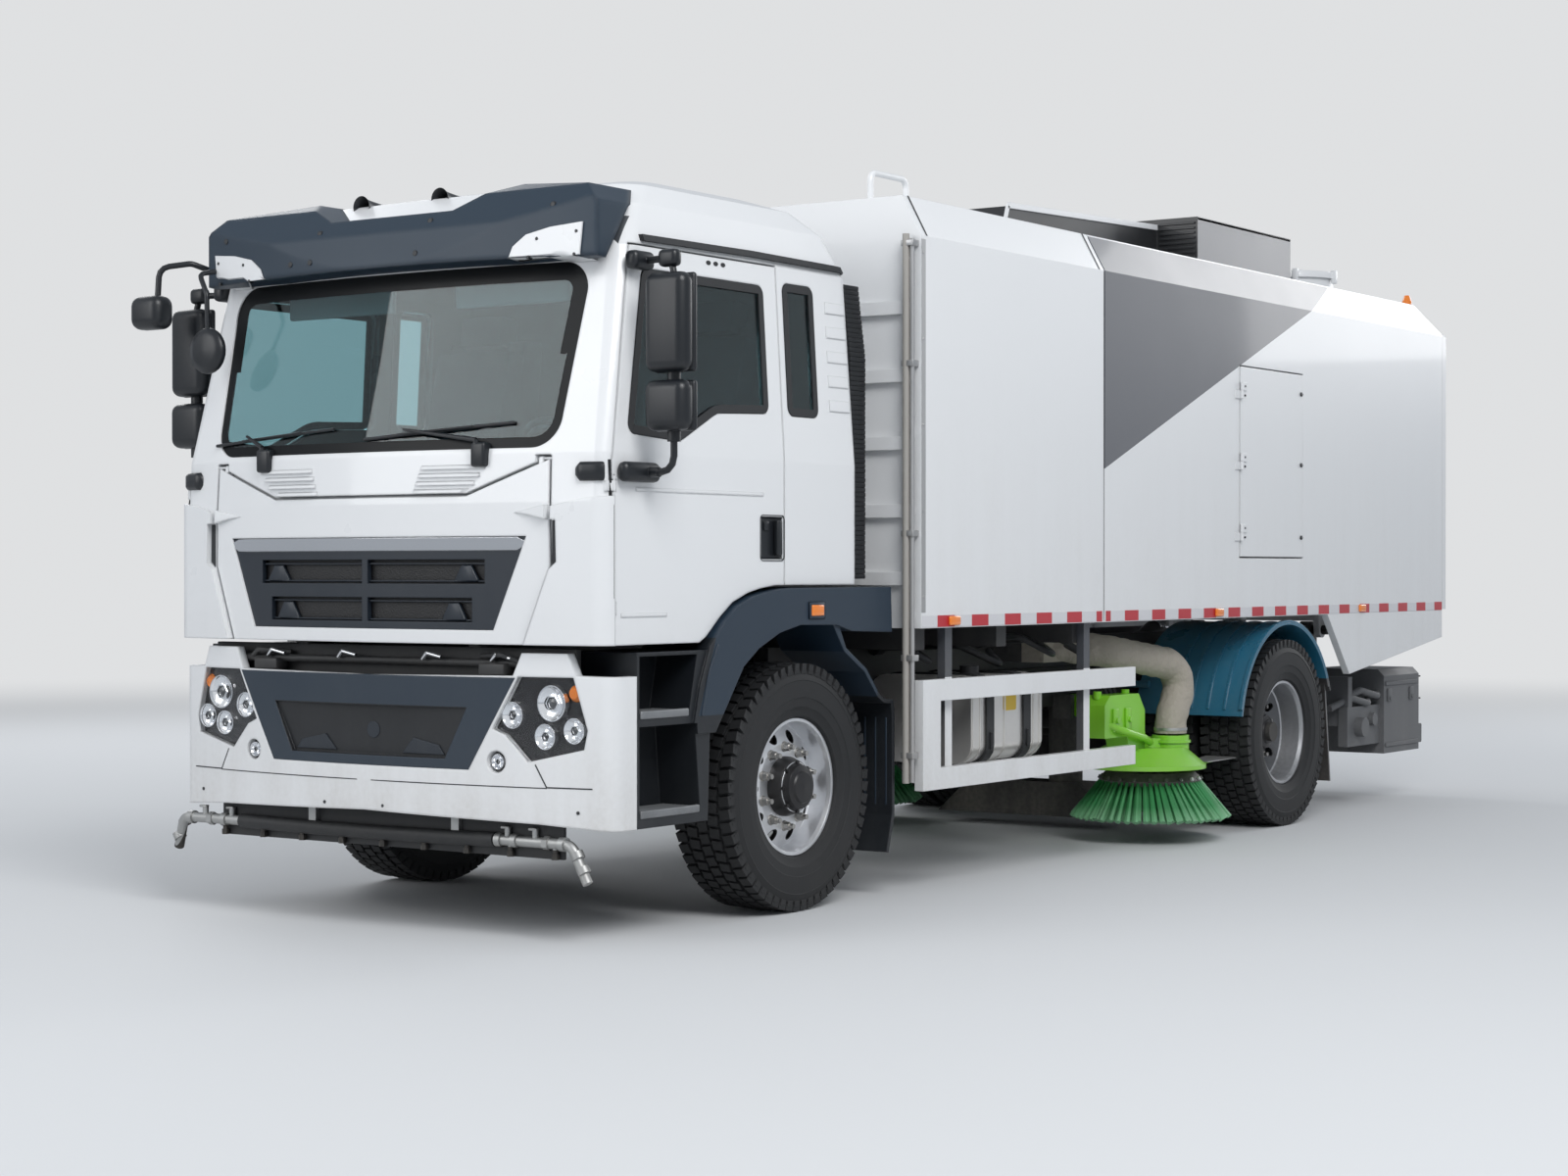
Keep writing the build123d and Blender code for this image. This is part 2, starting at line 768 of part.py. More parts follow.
with BuildPart() as axles:
    # Front beam, dropped between the springs, with an eye for each kingpin
    with BuildSketch(Plane.XZ.offset(-front_axle_y - 45)):
        Polygon(
            (0, 400),
            (520, 400),
            (660, 480),
            (kingpin_x, 480),
            (kingpin_x, 570),
            (640, 570),
            (500, 500),
            (0, 500),
            align=None,
        )
        mirror(about=Plane.YZ)
    extrude(amount=90)
    with BuildSketch(Plane.XY.offset(480)):
        with Locations((kingpin_x, front_axle_y), (-kingpin_x, front_axle_y)):
            Circle(eye_radius + 12)
    extrude(amount=eye_height)
    with BuildSketch(Plane.XY.offset(470)):
        with Locations((kingpin_x, front_axle_y), (-kingpin_x, front_axle_y)):
            Circle(kingpin_radius + pin_clearance)
    extrude(amount=120, mode=Mode.SUBTRACT)
    # Front springs sit on the beam
    add(leaf_pack(front_axle_y, 800, spring_eye_z, 130, 72))
    add(mirror(leaf_pack(front_axle_y, 800, spring_eye_z, 130, 72), about=Plane.YZ, mode=Mode.PRIVATE))
    # Rear housing with its differential, spindles and springs
    with BuildSketch(Plane.YZ.offset(-rear_spindle_end_x)):
        with Locations((rear_axle_y, axle_z)):
            Circle(rear_spindle_radius)
    extrude(amount=2 * rear_spindle_end_x)
    with BuildSketch(Plane.YZ.offset(-560)):
        with Locations((rear_axle_y, axle_z)):
            Circle(rear_tube_radius)
    extrude(amount=1120)
    with Locations((0, rear_axle_y, axle_z)):
        Sphere(200)
    with BuildSketch(Plane.XZ.offset(-rear_axle_y)):
        with Locations((0, axle_z + 40)):
            Circle(90)
    extrude(amount=280)
    add(leaf_pack(rear_axle_y, 760, spring_eye_z, 60, 110))
    add(mirror(leaf_pack(rear_axle_y, 760, spring_eye_z, 60, 110), about=Plane.YZ, mode=Mode.PRIVATE))
    shaft_run = wheelbase - 1040 - 290
    with BuildSketch(
        Plane(
            origin=(0, rear_axle_y - 275, axle_z + 45),
            z_dir=(0, -shaft_run, 800 - axle_z - 45),
        )
    ):
        Circle(55)
    extrude(amount=math.hypot(shaft_run, 800 - axle_z - 45))
save(axles, "axles")

# Steering knuckles with kingpin, drum and wheel spindle

drum_radius = 205
spindle_radius = 40
front_disc_x = front_wheel_x + 60
for side, name in ((1, "left"), (-1, "right")):
    with BuildPart() as knuckle:
        with BuildSketch(Plane.XY.offset(440)):
            with Locations((side * kingpin_x, front_axle_y)):
                Circle(kingpin_radius)
        extrude(amount=170)
        for fork_z in (430, 575):
            with BuildSketch(Plane.XY.offset(fork_z)):
                with Locations((side * kingpin_x, front_axle_y)):
                    Circle(eye_radius)
                with Locations((side * (kingpin_x + 60), front_axle_y)):
                    Rectangle(100, 80)
            extrude(amount=45)
        with BuildSketch(Plane.YZ.offset(side * (kingpin_x + 75))):
            with Locations((front_axle_y, axle_z)):
                Circle(110)
        extrude(amount=side * 45)
        with BuildSketch(Plane.YZ.offset(side * (kingpin_x + 120))):
            with Locations((front_axle_y, axle_z)):
                Circle(spindle_radius)
        extrude(amount=side * (front_disc_x + 90 - kingpin_x - 120))
    save(knuckle, f"knuckle_{name}")

# Wheels: a tyre is one ring, a rim is a barrel with a disc and ten hand holes

bead_radius = rim_radius
rim_half_width = 115
hand_hole_count = 10
hand_hole_circle = 216
hand_hole_radius = 25
nut_face_radius = 182
hub_radius = 118


def tyre_ring(centre_x, centre_y):
    """One tyre with bulged side walls and rounded shoulders."""
    half = tyre_width / 2
    with BuildPart() as ring:
        with BuildSketch(Plane.XY):
            with BuildLine():
                Polyline(
                    (centre_x - half + 34, bead_radius + centre_y),
                    (centre_x - half + 34, bead_radius + 8 + centre_y),
                )
                ThreePointArc(
                    (centre_x - half + 34, bead_radius + 8 + centre_y),
                    (centre_x - half, bead_radius + 120 + centre_y),
                    (centre_x - half + 22, tyre_radius - 28 + centre_y),
                )
                Polyline(
                    (centre_x - half + 22, tyre_radius - 28 + centre_y),
                    (centre_x - half + 48, tyre_radius + centre_y - 4),
                    (centre_x, tyre_radius + centre_y),
                    (centre_x + half - 48, tyre_radius + centre_y - 4),
                    (centre_x + half - 22, tyre_radius - 28 + centre_y),
                )
                ThreePointArc(
                    (centre_x + half - 22, tyre_radius - 28 + centre_y),
                    (centre_x + half, bead_radius + 120 + centre_y),
                    (centre_x + half - 34, bead_radius + 8 + centre_y),
                )
                Polyline(
                    (centre_x + half - 34, bead_radius + 8 + centre_y),
                    (centre_x + half - 34, bead_radius + centre_y),
                    (centre_x - half + 34, bead_radius + centre_y),
                )
            make_face()
        revolve(axis=Axis((0, centre_y, 0), (1, 0, 0)))
    return ring.part.moved(Location((0, 0, axle_z)))


def rim_ring(side, centre_x, centre_y, root_offset, face_offset, bore_radius, hub_length):
    """One rim: barrel with flanges, dished disc with hand holes, flat nut face and hub."""
    plate = 14
    with BuildPart() as rim:
        with BuildSketch(Plane.XY):
            with Locations((centre_x, centre_y)):
                Polygon(
                    (-rim_half_width, bead_radius - seat_gap),
                    (rim_half_width, bead_radius - seat_gap),
                    (rim_half_width, bead_radius - 14),
                    (rim_half_width - 20, bead_radius - 20),
                    (-rim_half_width + 20, bead_radius - 20),
                    (-rim_half_width, bead_radius - 14),
                    align=None,
                )
                Polygon(
                    (side * root_offset, bead_radius - 16),
                    (side * face_offset, nut_face_radius),
                    (side * face_offset, bore_radius),
                    (side * (face_offset - plate), bore_radius),
                    (side * (face_offset - plate), nut_face_radius - 8),
                    (side * (root_offset - plate), bead_radius - 22),
                    align=None,
                )
                Polygon(
                    (side * (face_offset - 4), hub_radius),
                    (side * (face_offset + hub_length), hub_radius - 12),
                    (side * (face_offset + hub_length), bore_radius),
                    (side * (face_offset - 4), bore_radius),
                    align=None,
                )
        revolve(axis=Axis((0, centre_y, 0), (1, 0, 0)))
        with BuildSketch(Plane.YZ.offset(centre_x - rim_half_width)):
            with Locations((centre_y, 0)):
                with PolarLocations(hand_hole_circle, hand_hole_count):
                    Circle(hand_hole_radius)
        extrude(amount=2 * rim_half_width, mode=Mode.SUBTRACT)
    return rim.part.moved(Location((0, 0, axle_z)))


for side, name in ((1, "left"), (-1, "right")):
    with BuildPart() as front_tyre:
        add(tyre_ring(side * front_wheel_x, front_axle_y))
    save(front_tyre, f"front_tyre_{name}")
    with BuildPart() as front_rim:
        add(
            rim_ring(
                side,
                side * front_wheel_x,
                front_axle_y,
                front_disc_x - front_wheel_x - 50,
                front_disc_x - front_wheel_x,
                spindle_radius + pin_clearance,
                60,
            )
        )
    save(front_rim, f"front_rim_{name}")
    rear_inner_wheel_x = rear_outer_wheel_x - twin_spacing
    with BuildPart() as rear_tyres:
        add(tyre_ring(side * rear_outer_wheel_x, rear_axle_y))
        add(tyre_ring(side * rear_inner_wheel_x, rear_axle_y))
    save(rear_tyres, f"rear_tyres_{name}")
    with BuildPart() as rear_rims:
        add(
            rim_ring(
                side,
                side * rear_outer_wheel_x,
                rear_axle_y,
                -10,
                -70,
                rear_spindle_radius + pin_clearance,
                60,
            )
        )
        add(
            rim_ring(
                side,
                side * rear_inner_wheel_x,
                rear_axle_y,
                10,
                70,
                rear_spindle_radius + pin_clearance,
                60,
            )
        )
        with BuildSketch(Plane.YZ.offset(side * (rear_inner_wheel_x + 70))):
            with Locations((rear_axle_y, axle_z)):
                Circle(150)
                Circle(rear_spindle_radius + pin_clearance, mode=Mode.SUBTRACT)
        extrude(amount=side * (twin_spacing - 140))
    save(rear_rims, f"rear_rims_{name}")

# Front bumper with a dark centre and lamps

bumper_half_width = 1172
bumper_bottom_z = 440
bumper_top_z = 1030
bumper_wall = 36
bumper_return_y = front_y + 270
bumper_corner = 80
bumper_sag = bumper_half_width**2 / (2 * 5200)


def bumper_form(inset):
    """The bumper's outer block in plan, tucked in below."""
    with BuildPart() as form:
        with BuildSketch(Plane.XY.offset(bumper_bottom_z)):
            with BuildLine():
                side_y = front_y + bumper_sag
                ThreePointArc(
                    (-bumper_half_width, side_y), (0, front_y), (bumper_half_width, side_y)
                )
                Polyline(
                    (bumper_half_width, side_y),
                    (bumper_half_width, bumper_return_y),
                    (-bumper_half_width, bumper_return_y),
                    (-bumper_half_width, side_y),
                )
            make_face()
            front_corners = vertices().sort_by(Axis.Y)[0:2]
            fillet(front_corners, radius=bumper_corner)
            if inset:
                offset(amount=-inset, kind=Kind.INTERSECTION)
        extrude(amount=bumper_top_z + 90 - bumper_bottom_z)
    return form.part


centre_outline = [(-530, 660), (530, 660), (745, 1022), (-745, 1022)]
lamp_outline = [
    (757, 1026),
    (642, 823),
    (700, 800),
    (800, 698),
    (1045, 752),
    (1060, 825),
    (1000, 1026),
]
lamp_clearance = 0.5
lamp_setback = 28
bumper_front_outline = [
    (0, bumper_bottom_z + 40),
    (850, bumper_bottom_z + 20),
    (bumper_half_width, bumper_bottom_z),
    (bumper_half_width, bumper_top_z),
    (1010, bumper_top_z + 4),
    (975, bumper_top_z + 88),
    (775, bumper_top_z + 88),
    (735, bumper_top_z),
    (0, bumper_top_z - 8),
]
with BuildPart() as bumper_skin:
    add(bumper_form(0))
    with BuildSketch(Plane.XY.offset(bumper_bottom_z)):
        with BuildLine():
            inner_half = bumper_half_width - bumper_wall
            inner_side_y = front_y + bumper_wall + bumper_sag
            ThreePointArc(
                (-inner_half, inner_side_y),
                (0, front_y + bumper_wall),
                (inner_half, inner_side_y),
            )
            Polyline(
                (inner_half, inner_side_y),
                (inner_half, bumper_return_y + 10),
                (-inner_half, bumper_return_y + 10),
                (-inner_half, inner_side_y),
            )
        make_face()
        fillet(vertices().sort_by(Axis.Y)[0:2], radius=bumper_corner - bumper_wall)
    extrude(amount=bumper_top_z + 90 - bumper_bottom_z, mode=Mode.SUBTRACT)
    with BuildSketch(Plane.XZ.offset(-rear_y)):
        Polygon(*bumper_front_outline, align=None)
        mirror(about=Plane.YZ)
    extrude(amount=overall_length + 10, mode=Mode.INTERSECT)

with BuildPart() as front_bumper:
    add(bumper_skin.part)
    add(
        front_cutter(centre_outline, front_y + 260, front_y - 20, grow=seat_gap),
        mode=Mode.SUBTRACT,
    )
    with BuildSketch(Plane.XZ.offset(-bumper_return_y)):
        Polygon(*lamp_outline, align=None)
        with Locations((660, 695)):
            Circle(42)
        offset(amount=lamp_clearance)
        mirror(about=Plane.YZ)
    extrude(amount=400, mode=Mode.SUBTRACT)
save(front_bumper, "front_bumper")

centre_opening = [(-415, 700), (415, 700), (520, 900), (-520, 900)]
with BuildPart() as bumper_centre:
    add(bumper_skin.part)
    add(front_cutter(centre_outline, front_y + 260, front_y - 20), mode=Mode.INTERSECT)
    add(front_cutter(centre_opening, front_y + 260, front_y - 20), mode=Mode.SUBTRACT)
    add(
        front_cutter(
            [(-535, 690), (535, 690), (535, 910), (-535, 910)],
            front_y + bumper_panel_back,
            front_y + bumper_wall,
        )
    )
save(bumper_centre, "bumper_centre")

tail_lamp_x = 900
tail_lamp_z = 690
with BuildPart() as lamps:
    add(bumper_skin.part.moved(Location((0, lamp_setback, 0))))
    with BuildSketch(Plane.XZ.offset(-bumper_return_y)):
        Polygon(*lamp_outline, align=None)
        with Locations((660, 695)):
            Circle(42)
        mirror(about=Plane.YZ)
    extrude(amount=400, mode=Mode.INTERSECT)
    for side in (1, -1):
        with Locations((side * tail_lamp_x, rear_y - 40, tail_lamp_z)):
            Box(360, 50, 120)
save(lamps, "lamps")


# Front spray bar: one long pipe with turned ends and nozzle stubs

bar_y = front_y + 110
bar_z = 385
bar_radius = 21
bar_bend = 60
bar_left_end = Vector(-1225, bar_y + 40, 250)
bar_left_turn = Vector(-1150, bar_y, bar_z)
with BuildPart() as spray_bar:
    with BuildLine():
        FilletPolyline(
            bar_left_end, bar_left_turn, (980, bar_y, bar_z), (1060, bar_y, 240), radius=bar_bend
        )
    with BuildSketch(Plane(origin=bar_left_end, z_dir=bar_left_turn - bar_left_end)):
        Circle(bar_radius)
    sweep()
    for nozzle_x in range(-900, 901, 225):
        with BuildSketch(Plane.XY.offset(bar_z - 60)):
            with Locations((nozzle_x, bar_y)):
                Circle(11)
        extrude(amount=60)
    # Hangers bolted to the ends of the frame rails, with the rubber apron behind the pipe
    for hanger_x in (-390, 390):
        with BuildSketch(Plane.XY.offset(bar_z)):
            with Locations((hanger_x, bar_y - 5)):
                Rectangle(40, frame_front_y - bar_y + 5 - seat_gap, align=(Align.CENTER, Align.MIN))
        extrude(amount=rail_bottom_z + 60 - bar_z)
    with BuildSketch(Plane.XY.offset(bar_z - 55)):
        with Locations((0, bar_y + bar_radius - 1)):
            Rectangle(1800, 8)
    extrude(amount=170)
save(spray_bar, "spray_bar")


# Front wheel arches and the step boxes between them and the bumper

arch_outer_x = 1172
arch_inner_x = 830
arch_band_outline = [
    (-818, 790),
    (-770, 975),
    (-702, 1130),
    (-597, 1232),
    (-508, 1292),
    (-400, 1330),
    (-308, 1347),
    (-205, 1360),
    (-102, 1364),
    (641, 1364),
    (650, 1166),
    (330, 1176),
    (210, 1205),
    (-63, 1209),
    (-215, 1179),
    (-363, 1119),
    (-471, 1048),
    (-578, 906),
    (-666, 790),
]
mudguard_outline = [
    (192, 1215),
    (288, 1088),
    (448, 996),
    (552, 884),
    (604, 856),
    (664, 850),
    (672, 800),
    (672, 360),
    (626, 199),
    (642, 195),
    (690, 356),
    (690, 800),
    (682, 866),
    (608, 872),
    (566, 897),
    (462, 1010),
    (300, 1104),
    (240, 1215),
]
arch_post_y = front_axle_y + 600
arch_arm_z = 940
step_inner_x = 780
step_recess_x = 960
step_front_y = front_y + 285
step_rear_y = front_axle_y - 690
# tread height, underside above it, rear end of the opening at its bottom and top
step_openings = [
    (497, 833, front_axle_y - 757, front_axle_y - 790),
    (882, 1105, front_axle_y - 826, front_axle_y - 775),
]
with BuildPart() as step_fenders:
    # Arch band that follows the door's lower edge, with a leg in front and a box behind
    with BuildSketch(Plane.YZ.offset(arch_inner_x)):
        with Locations((front_axle_y, 0)):
            Polygon(*arch_band_outline, align=None)
    extrude(amount=arch_outer_x - arch_inner_x)
    # Thin mudguard behind the wheel
    with BuildSketch(Plane.YZ.offset(arch_inner_x)):
        with Locations((front_axle_y, 0)):
            Polygon(*mudguard_outline, align=None)
    extrude(amount=arch_outer_x - arch_inner_x - 12)
    # Step box with two treads, open above each one
    with BuildSketch(Plane.YZ.offset(step_inner_x)):
        Polygon(
            (step_front_y, 440),
            (step_rear_y - 15, 440),
            (step_rear_y, 790),
            (step_rear_y, 1120),
            (step_front_y, 1120),
            align=None,
        )
    extrude(amount=arch_outer_x - 12 - step_inner_x)
    with BuildSketch(Plane.YZ.offset(step_recess_x)):
        for tread_z, lintel_z, open_bottom_y, open_top_y in step_openings:
            Polygon(
                (step_front_y + 15, tread_z),
                (open_bottom_y, tread_z),
                (open_top_y, lintel_z),
                (step_front_y + 15, lintel_z),
                align=None,
            )
    extrude(amount=400, mode=Mode.SUBTRACT)
    # Arms to the frame rails; a post carries the rear end of the band
    for arm_y, arm_z in ((front_axle_y - 960, 880), (arch_post_y, arch_arm_z)):
        with BuildSketch(Plane.YZ.offset(rail_outer_x + seat_gap)):
            with Locations((arm_y, arm_z)):
                Circle(24)
        extrude(amount=arch_inner_x + 10 - rail_outer_x)
    with Locations((arch_inner_x, arch_post_y, arch_arm_z - 24)):
        Box(40, 48, 270, align=(Align.MIN, Align.CENTER, Align.MIN))
    mirror(about=Plane.YZ)
save(step_fenders, "step_fenders")

# Side guards: two rails, a wide front column and an outrigger at each post

guard_front_y = front_axle_y + 777
guard_rear_y = front_axle_y + 2815
guard_rail = 96
guard_bottom_z = 459
guard_top_z = 950
guard_post_ys = (front_axle_y + 1067, front_axle_y + 2380)
with BuildPart() as side_guards:
    with BuildSketch(Plane.YZ.offset(body_half_width - guard_thickness)):
        Polygon(
            (guard_front_y, guard_bottom_z),
            (guard_rear_y, guard_bottom_z),
            (guard_rear_y, guard_bottom_z + guard_rail),
            (guard_front_y + 150, guard_bottom_z + guard_rail),
            (guard_front_y + 150, guard_top_z - guard_rail),
            (guard_rear_y, guard_top_z - guard_rail),
            (guard_rear_y, guard_top_z),
            (guard_front_y, guard_top_z),
            align=None,
        )
    extrude(amount=guard_thickness)
    for post_y in guard_post_ys:
        with BuildSketch(Plane.YZ.offset(body_half_width - guard_thickness - guard_post)):
            with Locations((post_y, guard_bottom_z + 10)):
                Rectangle(
                    60,
                    body_floor_z - guard_bottom_z - 10 - seat_gap,
                    align=(Align.CENTER, Align.MIN),
                )
        extrude(amount=guard_post)
    mirror(about=Plane.YZ)
save(side_guards, "side_guards")

# Fuel tank on the driver's side, air tanks and battery box opposite

tank_front_y = front_axle_y + 1370
tank_length = 667
tank_bottom_z = 539
tank_height = 404
tank_outer_x = 1150
tank_depth = 560
with BuildPart() as fuel_tank:
    for side in (1, -1):
        with BuildSketch(Plane.XZ.offset(-tank_front_y)):
            with Locations((side * (tank_outer_x - tank_depth / 2), tank_bottom_z + tank_height / 2)):
                RectangleRounded(tank_depth, tank_height, 90)
        extrude(amount=-tank_length)
        for strap_y in (tank_front_y + 130, tank_front_y + tank_length - 190):
            with BuildSketch(Plane.XZ.offset(-strap_y)):
                with Locations(
                    (side * (tank_outer_x - tank_depth / 2), tank_bottom_z + tank_height / 2)
                ):
                    RectangleRounded(tank_depth + 16, tank_height + 16, 98)
            extrude(amount=-60)
            with BuildSketch(Plane.XZ.offset(-strap_y)):
                with Locations((side * (rail_outer_x + seat_gap), tank_bottom_z + 200)):
                    Rectangle(
                        tank_outer_x - tank_depth - rail_outer_x + 30,
                        160,
                        align=(Align.MIN if side > 0 else Align.MAX, Align.MIN),
                    )
            extrude(amount=-60)
save(fuel_tank, "fuel_tank")

# Rear fenders: arched sheets over the twin wheels, with flaps

fender_radius = tyre_radius + 80
fender_sheet = 14
fender_inner_x = 600
fender_outer_x = 1246
with BuildPart() as rear_fenders:
    with BuildSketch(Plane.YZ.offset(fender_inner_x)):
        with Locations((rear_axle_y, axle_z)):
            Circle(fender_radius + fender_sheet)
            Circle(fender_radius, mode=Mode.SUBTRACT)
        Polygon(
            (rear_axle_y - 700, axle_z + 105),
            (rear_axle_y + 700, axle_z + 250),
            (rear_axle_y + 700, axle_z - 700),
            (rear_axle_y - 700, axle_z - 700),
            align=None,
            mode=Mode.SUBTRACT,
        )
    extrude(amount=fender_outer_x - fender_inner_x)
    with BuildSketch(Plane.YZ.offset(rail_outer_x + seat_gap)):
        with Locations((rear_axle_y - 560, 800), (rear_axle_y + 545, 850)):
            Circle(20)
    extrude(amount=fender_inner_x + 60 - rail_outer_x)
    with BuildSketch(Plane.YZ.offset(fender_inner_x + 20)):
        Polygon(
            (rear_axle_y + 548, 785),
            (rear_axle_y + 566, 785),
            (rear_axle_y + 640, 210),
            (rear_axle_y + 626, 210),
            align=None,
        )
    extrude(amount=fender_outer_x - fender_inner_x - 40)
    mirror(about=Plane.YZ)
save(rear_fenders, "rear_fenders")


# Body sections share one outline: upright sides, sloped roof edges, flat roof

def body_outline(inset):
    """Body cross-section as a list of points, drawn in by a wall's thickness."""
    edge = inset * 0.5
    return [
        (-body_half_width + inset, body_floor_z + inset),
        (body_half_width - inset, body_floor_z + inset),
        (body_half_width - inset, body_side_z - edge),
        (roof_half_width - edge, body_roof_z - inset),
        (-roof_half_width + edge, body_roof_z - inset),
        (-body_half_width + inset, body_side_z - edge),
    ]


rib_height = 60
rib_zs = [1400, 1700, 2000, 2300, 2600]
loop_inset = 930
loop_y = body_front_y + 90
loop_height = 130
loop_length = 300
with BuildPart() as front_module:
    with BuildSketch(Plane.XZ.offset(-body_front_y)):
        Polygon(*body_outline(0), align=None)
    extrude(amount=-module_length)
    with BuildSketch(Plane.XZ.offset(-body_front_y - body_wall)):
        Polygon(*body_outline(body_wall), align=None)
    extrude(amount=-(module_length - 2 * body_wall), mode=Mode.SUBTRACT)
    for rib_z in rib_zs:
        with BuildSketch(Plane.XZ.offset(-body_front_y)):
            with Locations((0, rib_z)):
                Rectangle(2 * body_half_width - 120, rib_height)
        extrude(amount=25)
    # Hand loops at the front of the roof
    for loop_x in (loop_inset, -loop_inset):
        loop_path = [
            (loop_x, loop_y, body_roof_z - 2),
            (loop_x, loop_y, body_roof_z + loop_height),
            (loop_x, loop_y + loop_length, body_roof_z + loop_height),
            (loop_x, loop_y + loop_length, body_roof_z - 2),
        ]
        with BuildLine():
            FilletPolyline(*loop_path, radius=40)
        with BuildSketch(Plane(origin=loop_path[0], z_dir=(0, 0, 1))):
            Circle(14)
        sweep()
    # Drain pipes up the front corners
    for pipe_x in (1200, -1200):
        with BuildSketch(Plane.XY.offset(496)):
            with Locations((pipe_x, body_front_y - 40)):
                Circle(16)
        extrude(amount=2921 - 496)
        for clip_z in (1250, 2050, 2850):
            with Locations((pipe_x, body_front_y - 20, clip_z)):
                Box(30, 42, 24)
save(front_module, "front_module")

# Hopper: the tipping rear body

skirt_front_y = rear_axle_y + 522
skirt_low_y = rear_axle_y + 848
skirt_low_z = 826
skirt_rear_z = 1014
valance_notch_x = 500
valance_notch_z = 1105
service_door_outline = [
    (rear_axle_y - 658, 1510),
    (rear_axle_y + 167, 1510),
    (rear_axle_y + 167, 2540),
    (rear_axle_y - 658, 2540),
]
tail_chamfer = 170
door_top_z = body_roof_z - tail_chamfer - 6
door_lug_xs = (-900, -300, 300, 900)
door_lug_width = 30
door_lug_pin = 10
door_hinge_axis_y = hopper_rear_y + 30
door_hinge_axis_z = door_top_z + 34
service_hinge_zs = (1640, 2025, 2410)
service_barrel = 9
service_hinge_x = body_half_width + service_barrel + 5
service_hinge_y = service_door_outline[0][0] - door_gap / 2
lug_width = 40
lift_eye_dy = -800
lift_eye_dz = 60
lift_x = 250
with BuildPart() as hopper_body:
    with BuildSketch(Plane.XZ.offset(-hopper_front_y)):
        Polygon(*body_outline(0), align=None)
    extrude(amount=-(hopper_rear_y - hopper_front_y))
    with BuildSketch(Plane.XZ.offset(-hopper_front_y - body_wall)):
        Polygon(*body_outline(body_wall), align=None)
    extrude(amount=-(hopper_rear_y - hopper_front_y), mode=Mode.SUBTRACT)
    with BuildSketch(Plane.YZ):
        Polygon(
            (hopper_rear_y - 230, body_roof_z + 1),
            (hopper_rear_y + 80, body_roof_z + 1),
            (hopper_rear_y + 80, body_roof_z - tail_chamfer - 40),
            (hopper_rear_y, body_roof_z - tail_chamfer),
            align=None,
        )
    extrude(amount=2 * body_half_width, both=True, mode=Mode.SUBTRACT)
    with BuildSketch(Plane.YZ):
        Polygon(
            (hopper_rear_y - 230, body_roof_z),
            (hopper_rear_y, body_roof_z - tail_chamfer),
            (hopper_rear_y, body_roof_z - tail_chamfer - 40),
            (hopper_rear_y - 240, body_roof_z - 40),
            align=None,
        )
    extrude(amount=roof_half_width, both=True)
    # Side skirts behind the rear wheels
    for side in (1, -1):
        with BuildSketch(Plane.YZ.offset(side * (body_half_width - body_wall))):
            Polygon(
                (skirt_front_y, body_floor_z + 5),
                (skirt_low_y, skirt_low_z),
                (hopper_rear_y, skirt_rear_z),
                (hopper_rear_y, body_floor_z + 5),
                align=None,
            )
        extrude(amount=side * body_wall)
        add(
            side_cutter(
                service_door_outline,
                side * (body_half_width - body_wall - 5),
                side * (body_half_width + 5),
                grow=door_gap,
            ),
            mode=Mode.SUBTRACT,
        )
    # Rear valance and two sills with the hinge lugs and cylinder ears
    with BuildSketch(Plane.XZ.offset(-hopper_rear_y)):
        Polygon(
            (body_half_width - 10, skirt_rear_z),
            (body_half_width - 10, body_floor_z + 5),
            (-body_half_width + 10, body_floor_z + 5),
            (-body_half_width + 10, skirt_rear_z),
            (-valance_notch_x, skirt_rear_z),
            (-valance_notch_x + 20, valance_notch_z),
            (valance_notch_x - 20, valance_notch_z),
            (valance_notch_x, skirt_rear_z),
            align=None,
        )
    extrude(amount=20)
    for side in (1, -1):
        sill_x = side * (rail_outer_x + 45)
        with BuildSketch(Plane.YZ.offset(sill_x - lug_width / 2)):
            Polygon(
                (hinge_y - 70, body_floor_z + 2),
                (hinge_y - 50, hinge_z),
                (hinge_y + 50, hinge_z),
                (hinge_y + 70, body_floor_z + 2),
                align=None,
            )
            with Locations((hinge_y, hinge_z)):
                Circle(50)
                Circle(hinge_pin_radius + pin_clearance, mode=Mode.SUBTRACT)
        extrude(amount=lug_width)
        for ear_x in (side * lift_x - 62, side * lift_x + 42):
            with BuildSketch(Plane.YZ.offset(ear_x)):
                Polygon(
                    (hinge_y + lift_eye_dy - 50, body_floor_z + 2),
                    (hinge_y + lift_eye_dy - 30, hinge_z + lift_eye_dz - 30),
                    (hinge_y + lift_eye_dy + 30, hinge_z + lift_eye_dz - 30),
                    (hinge_y + lift_eye_dy + 50, body_floor_z + 2),
                    align=None,
                )
            extrude(amount=20)
    # Lugs and pins that carry the rear door
    for lug_x in door_lug_xs:
        with BuildSketch(Plane.YZ.offset(lug_x - door_lug_width / 2)):
            Polygon(
                (hopper_rear_y - 70, body_roof_z - tail_chamfer - 10),
                (hopper_rear_y - 70, body_roof_z - tail_chamfer + 52),
                (door_hinge_axis_y, door_hinge_axis_z + 22),
                (door_hinge_axis_y, door_hinge_axis_z - 22),
                align=None,
            )
            with Locations((door_hinge_axis_y, door_hinge_axis_z)):
                Circle(22)
        extrude(amount=door_lug_width)
        with BuildSketch(Plane.YZ.offset(lug_x - 1.5 * door_lug_width)):
            with Locations((door_hinge_axis_y, door_hinge_axis_z)):
                Circle(door_lug_pin)
        extrude(amount=3 * door_lug_width)
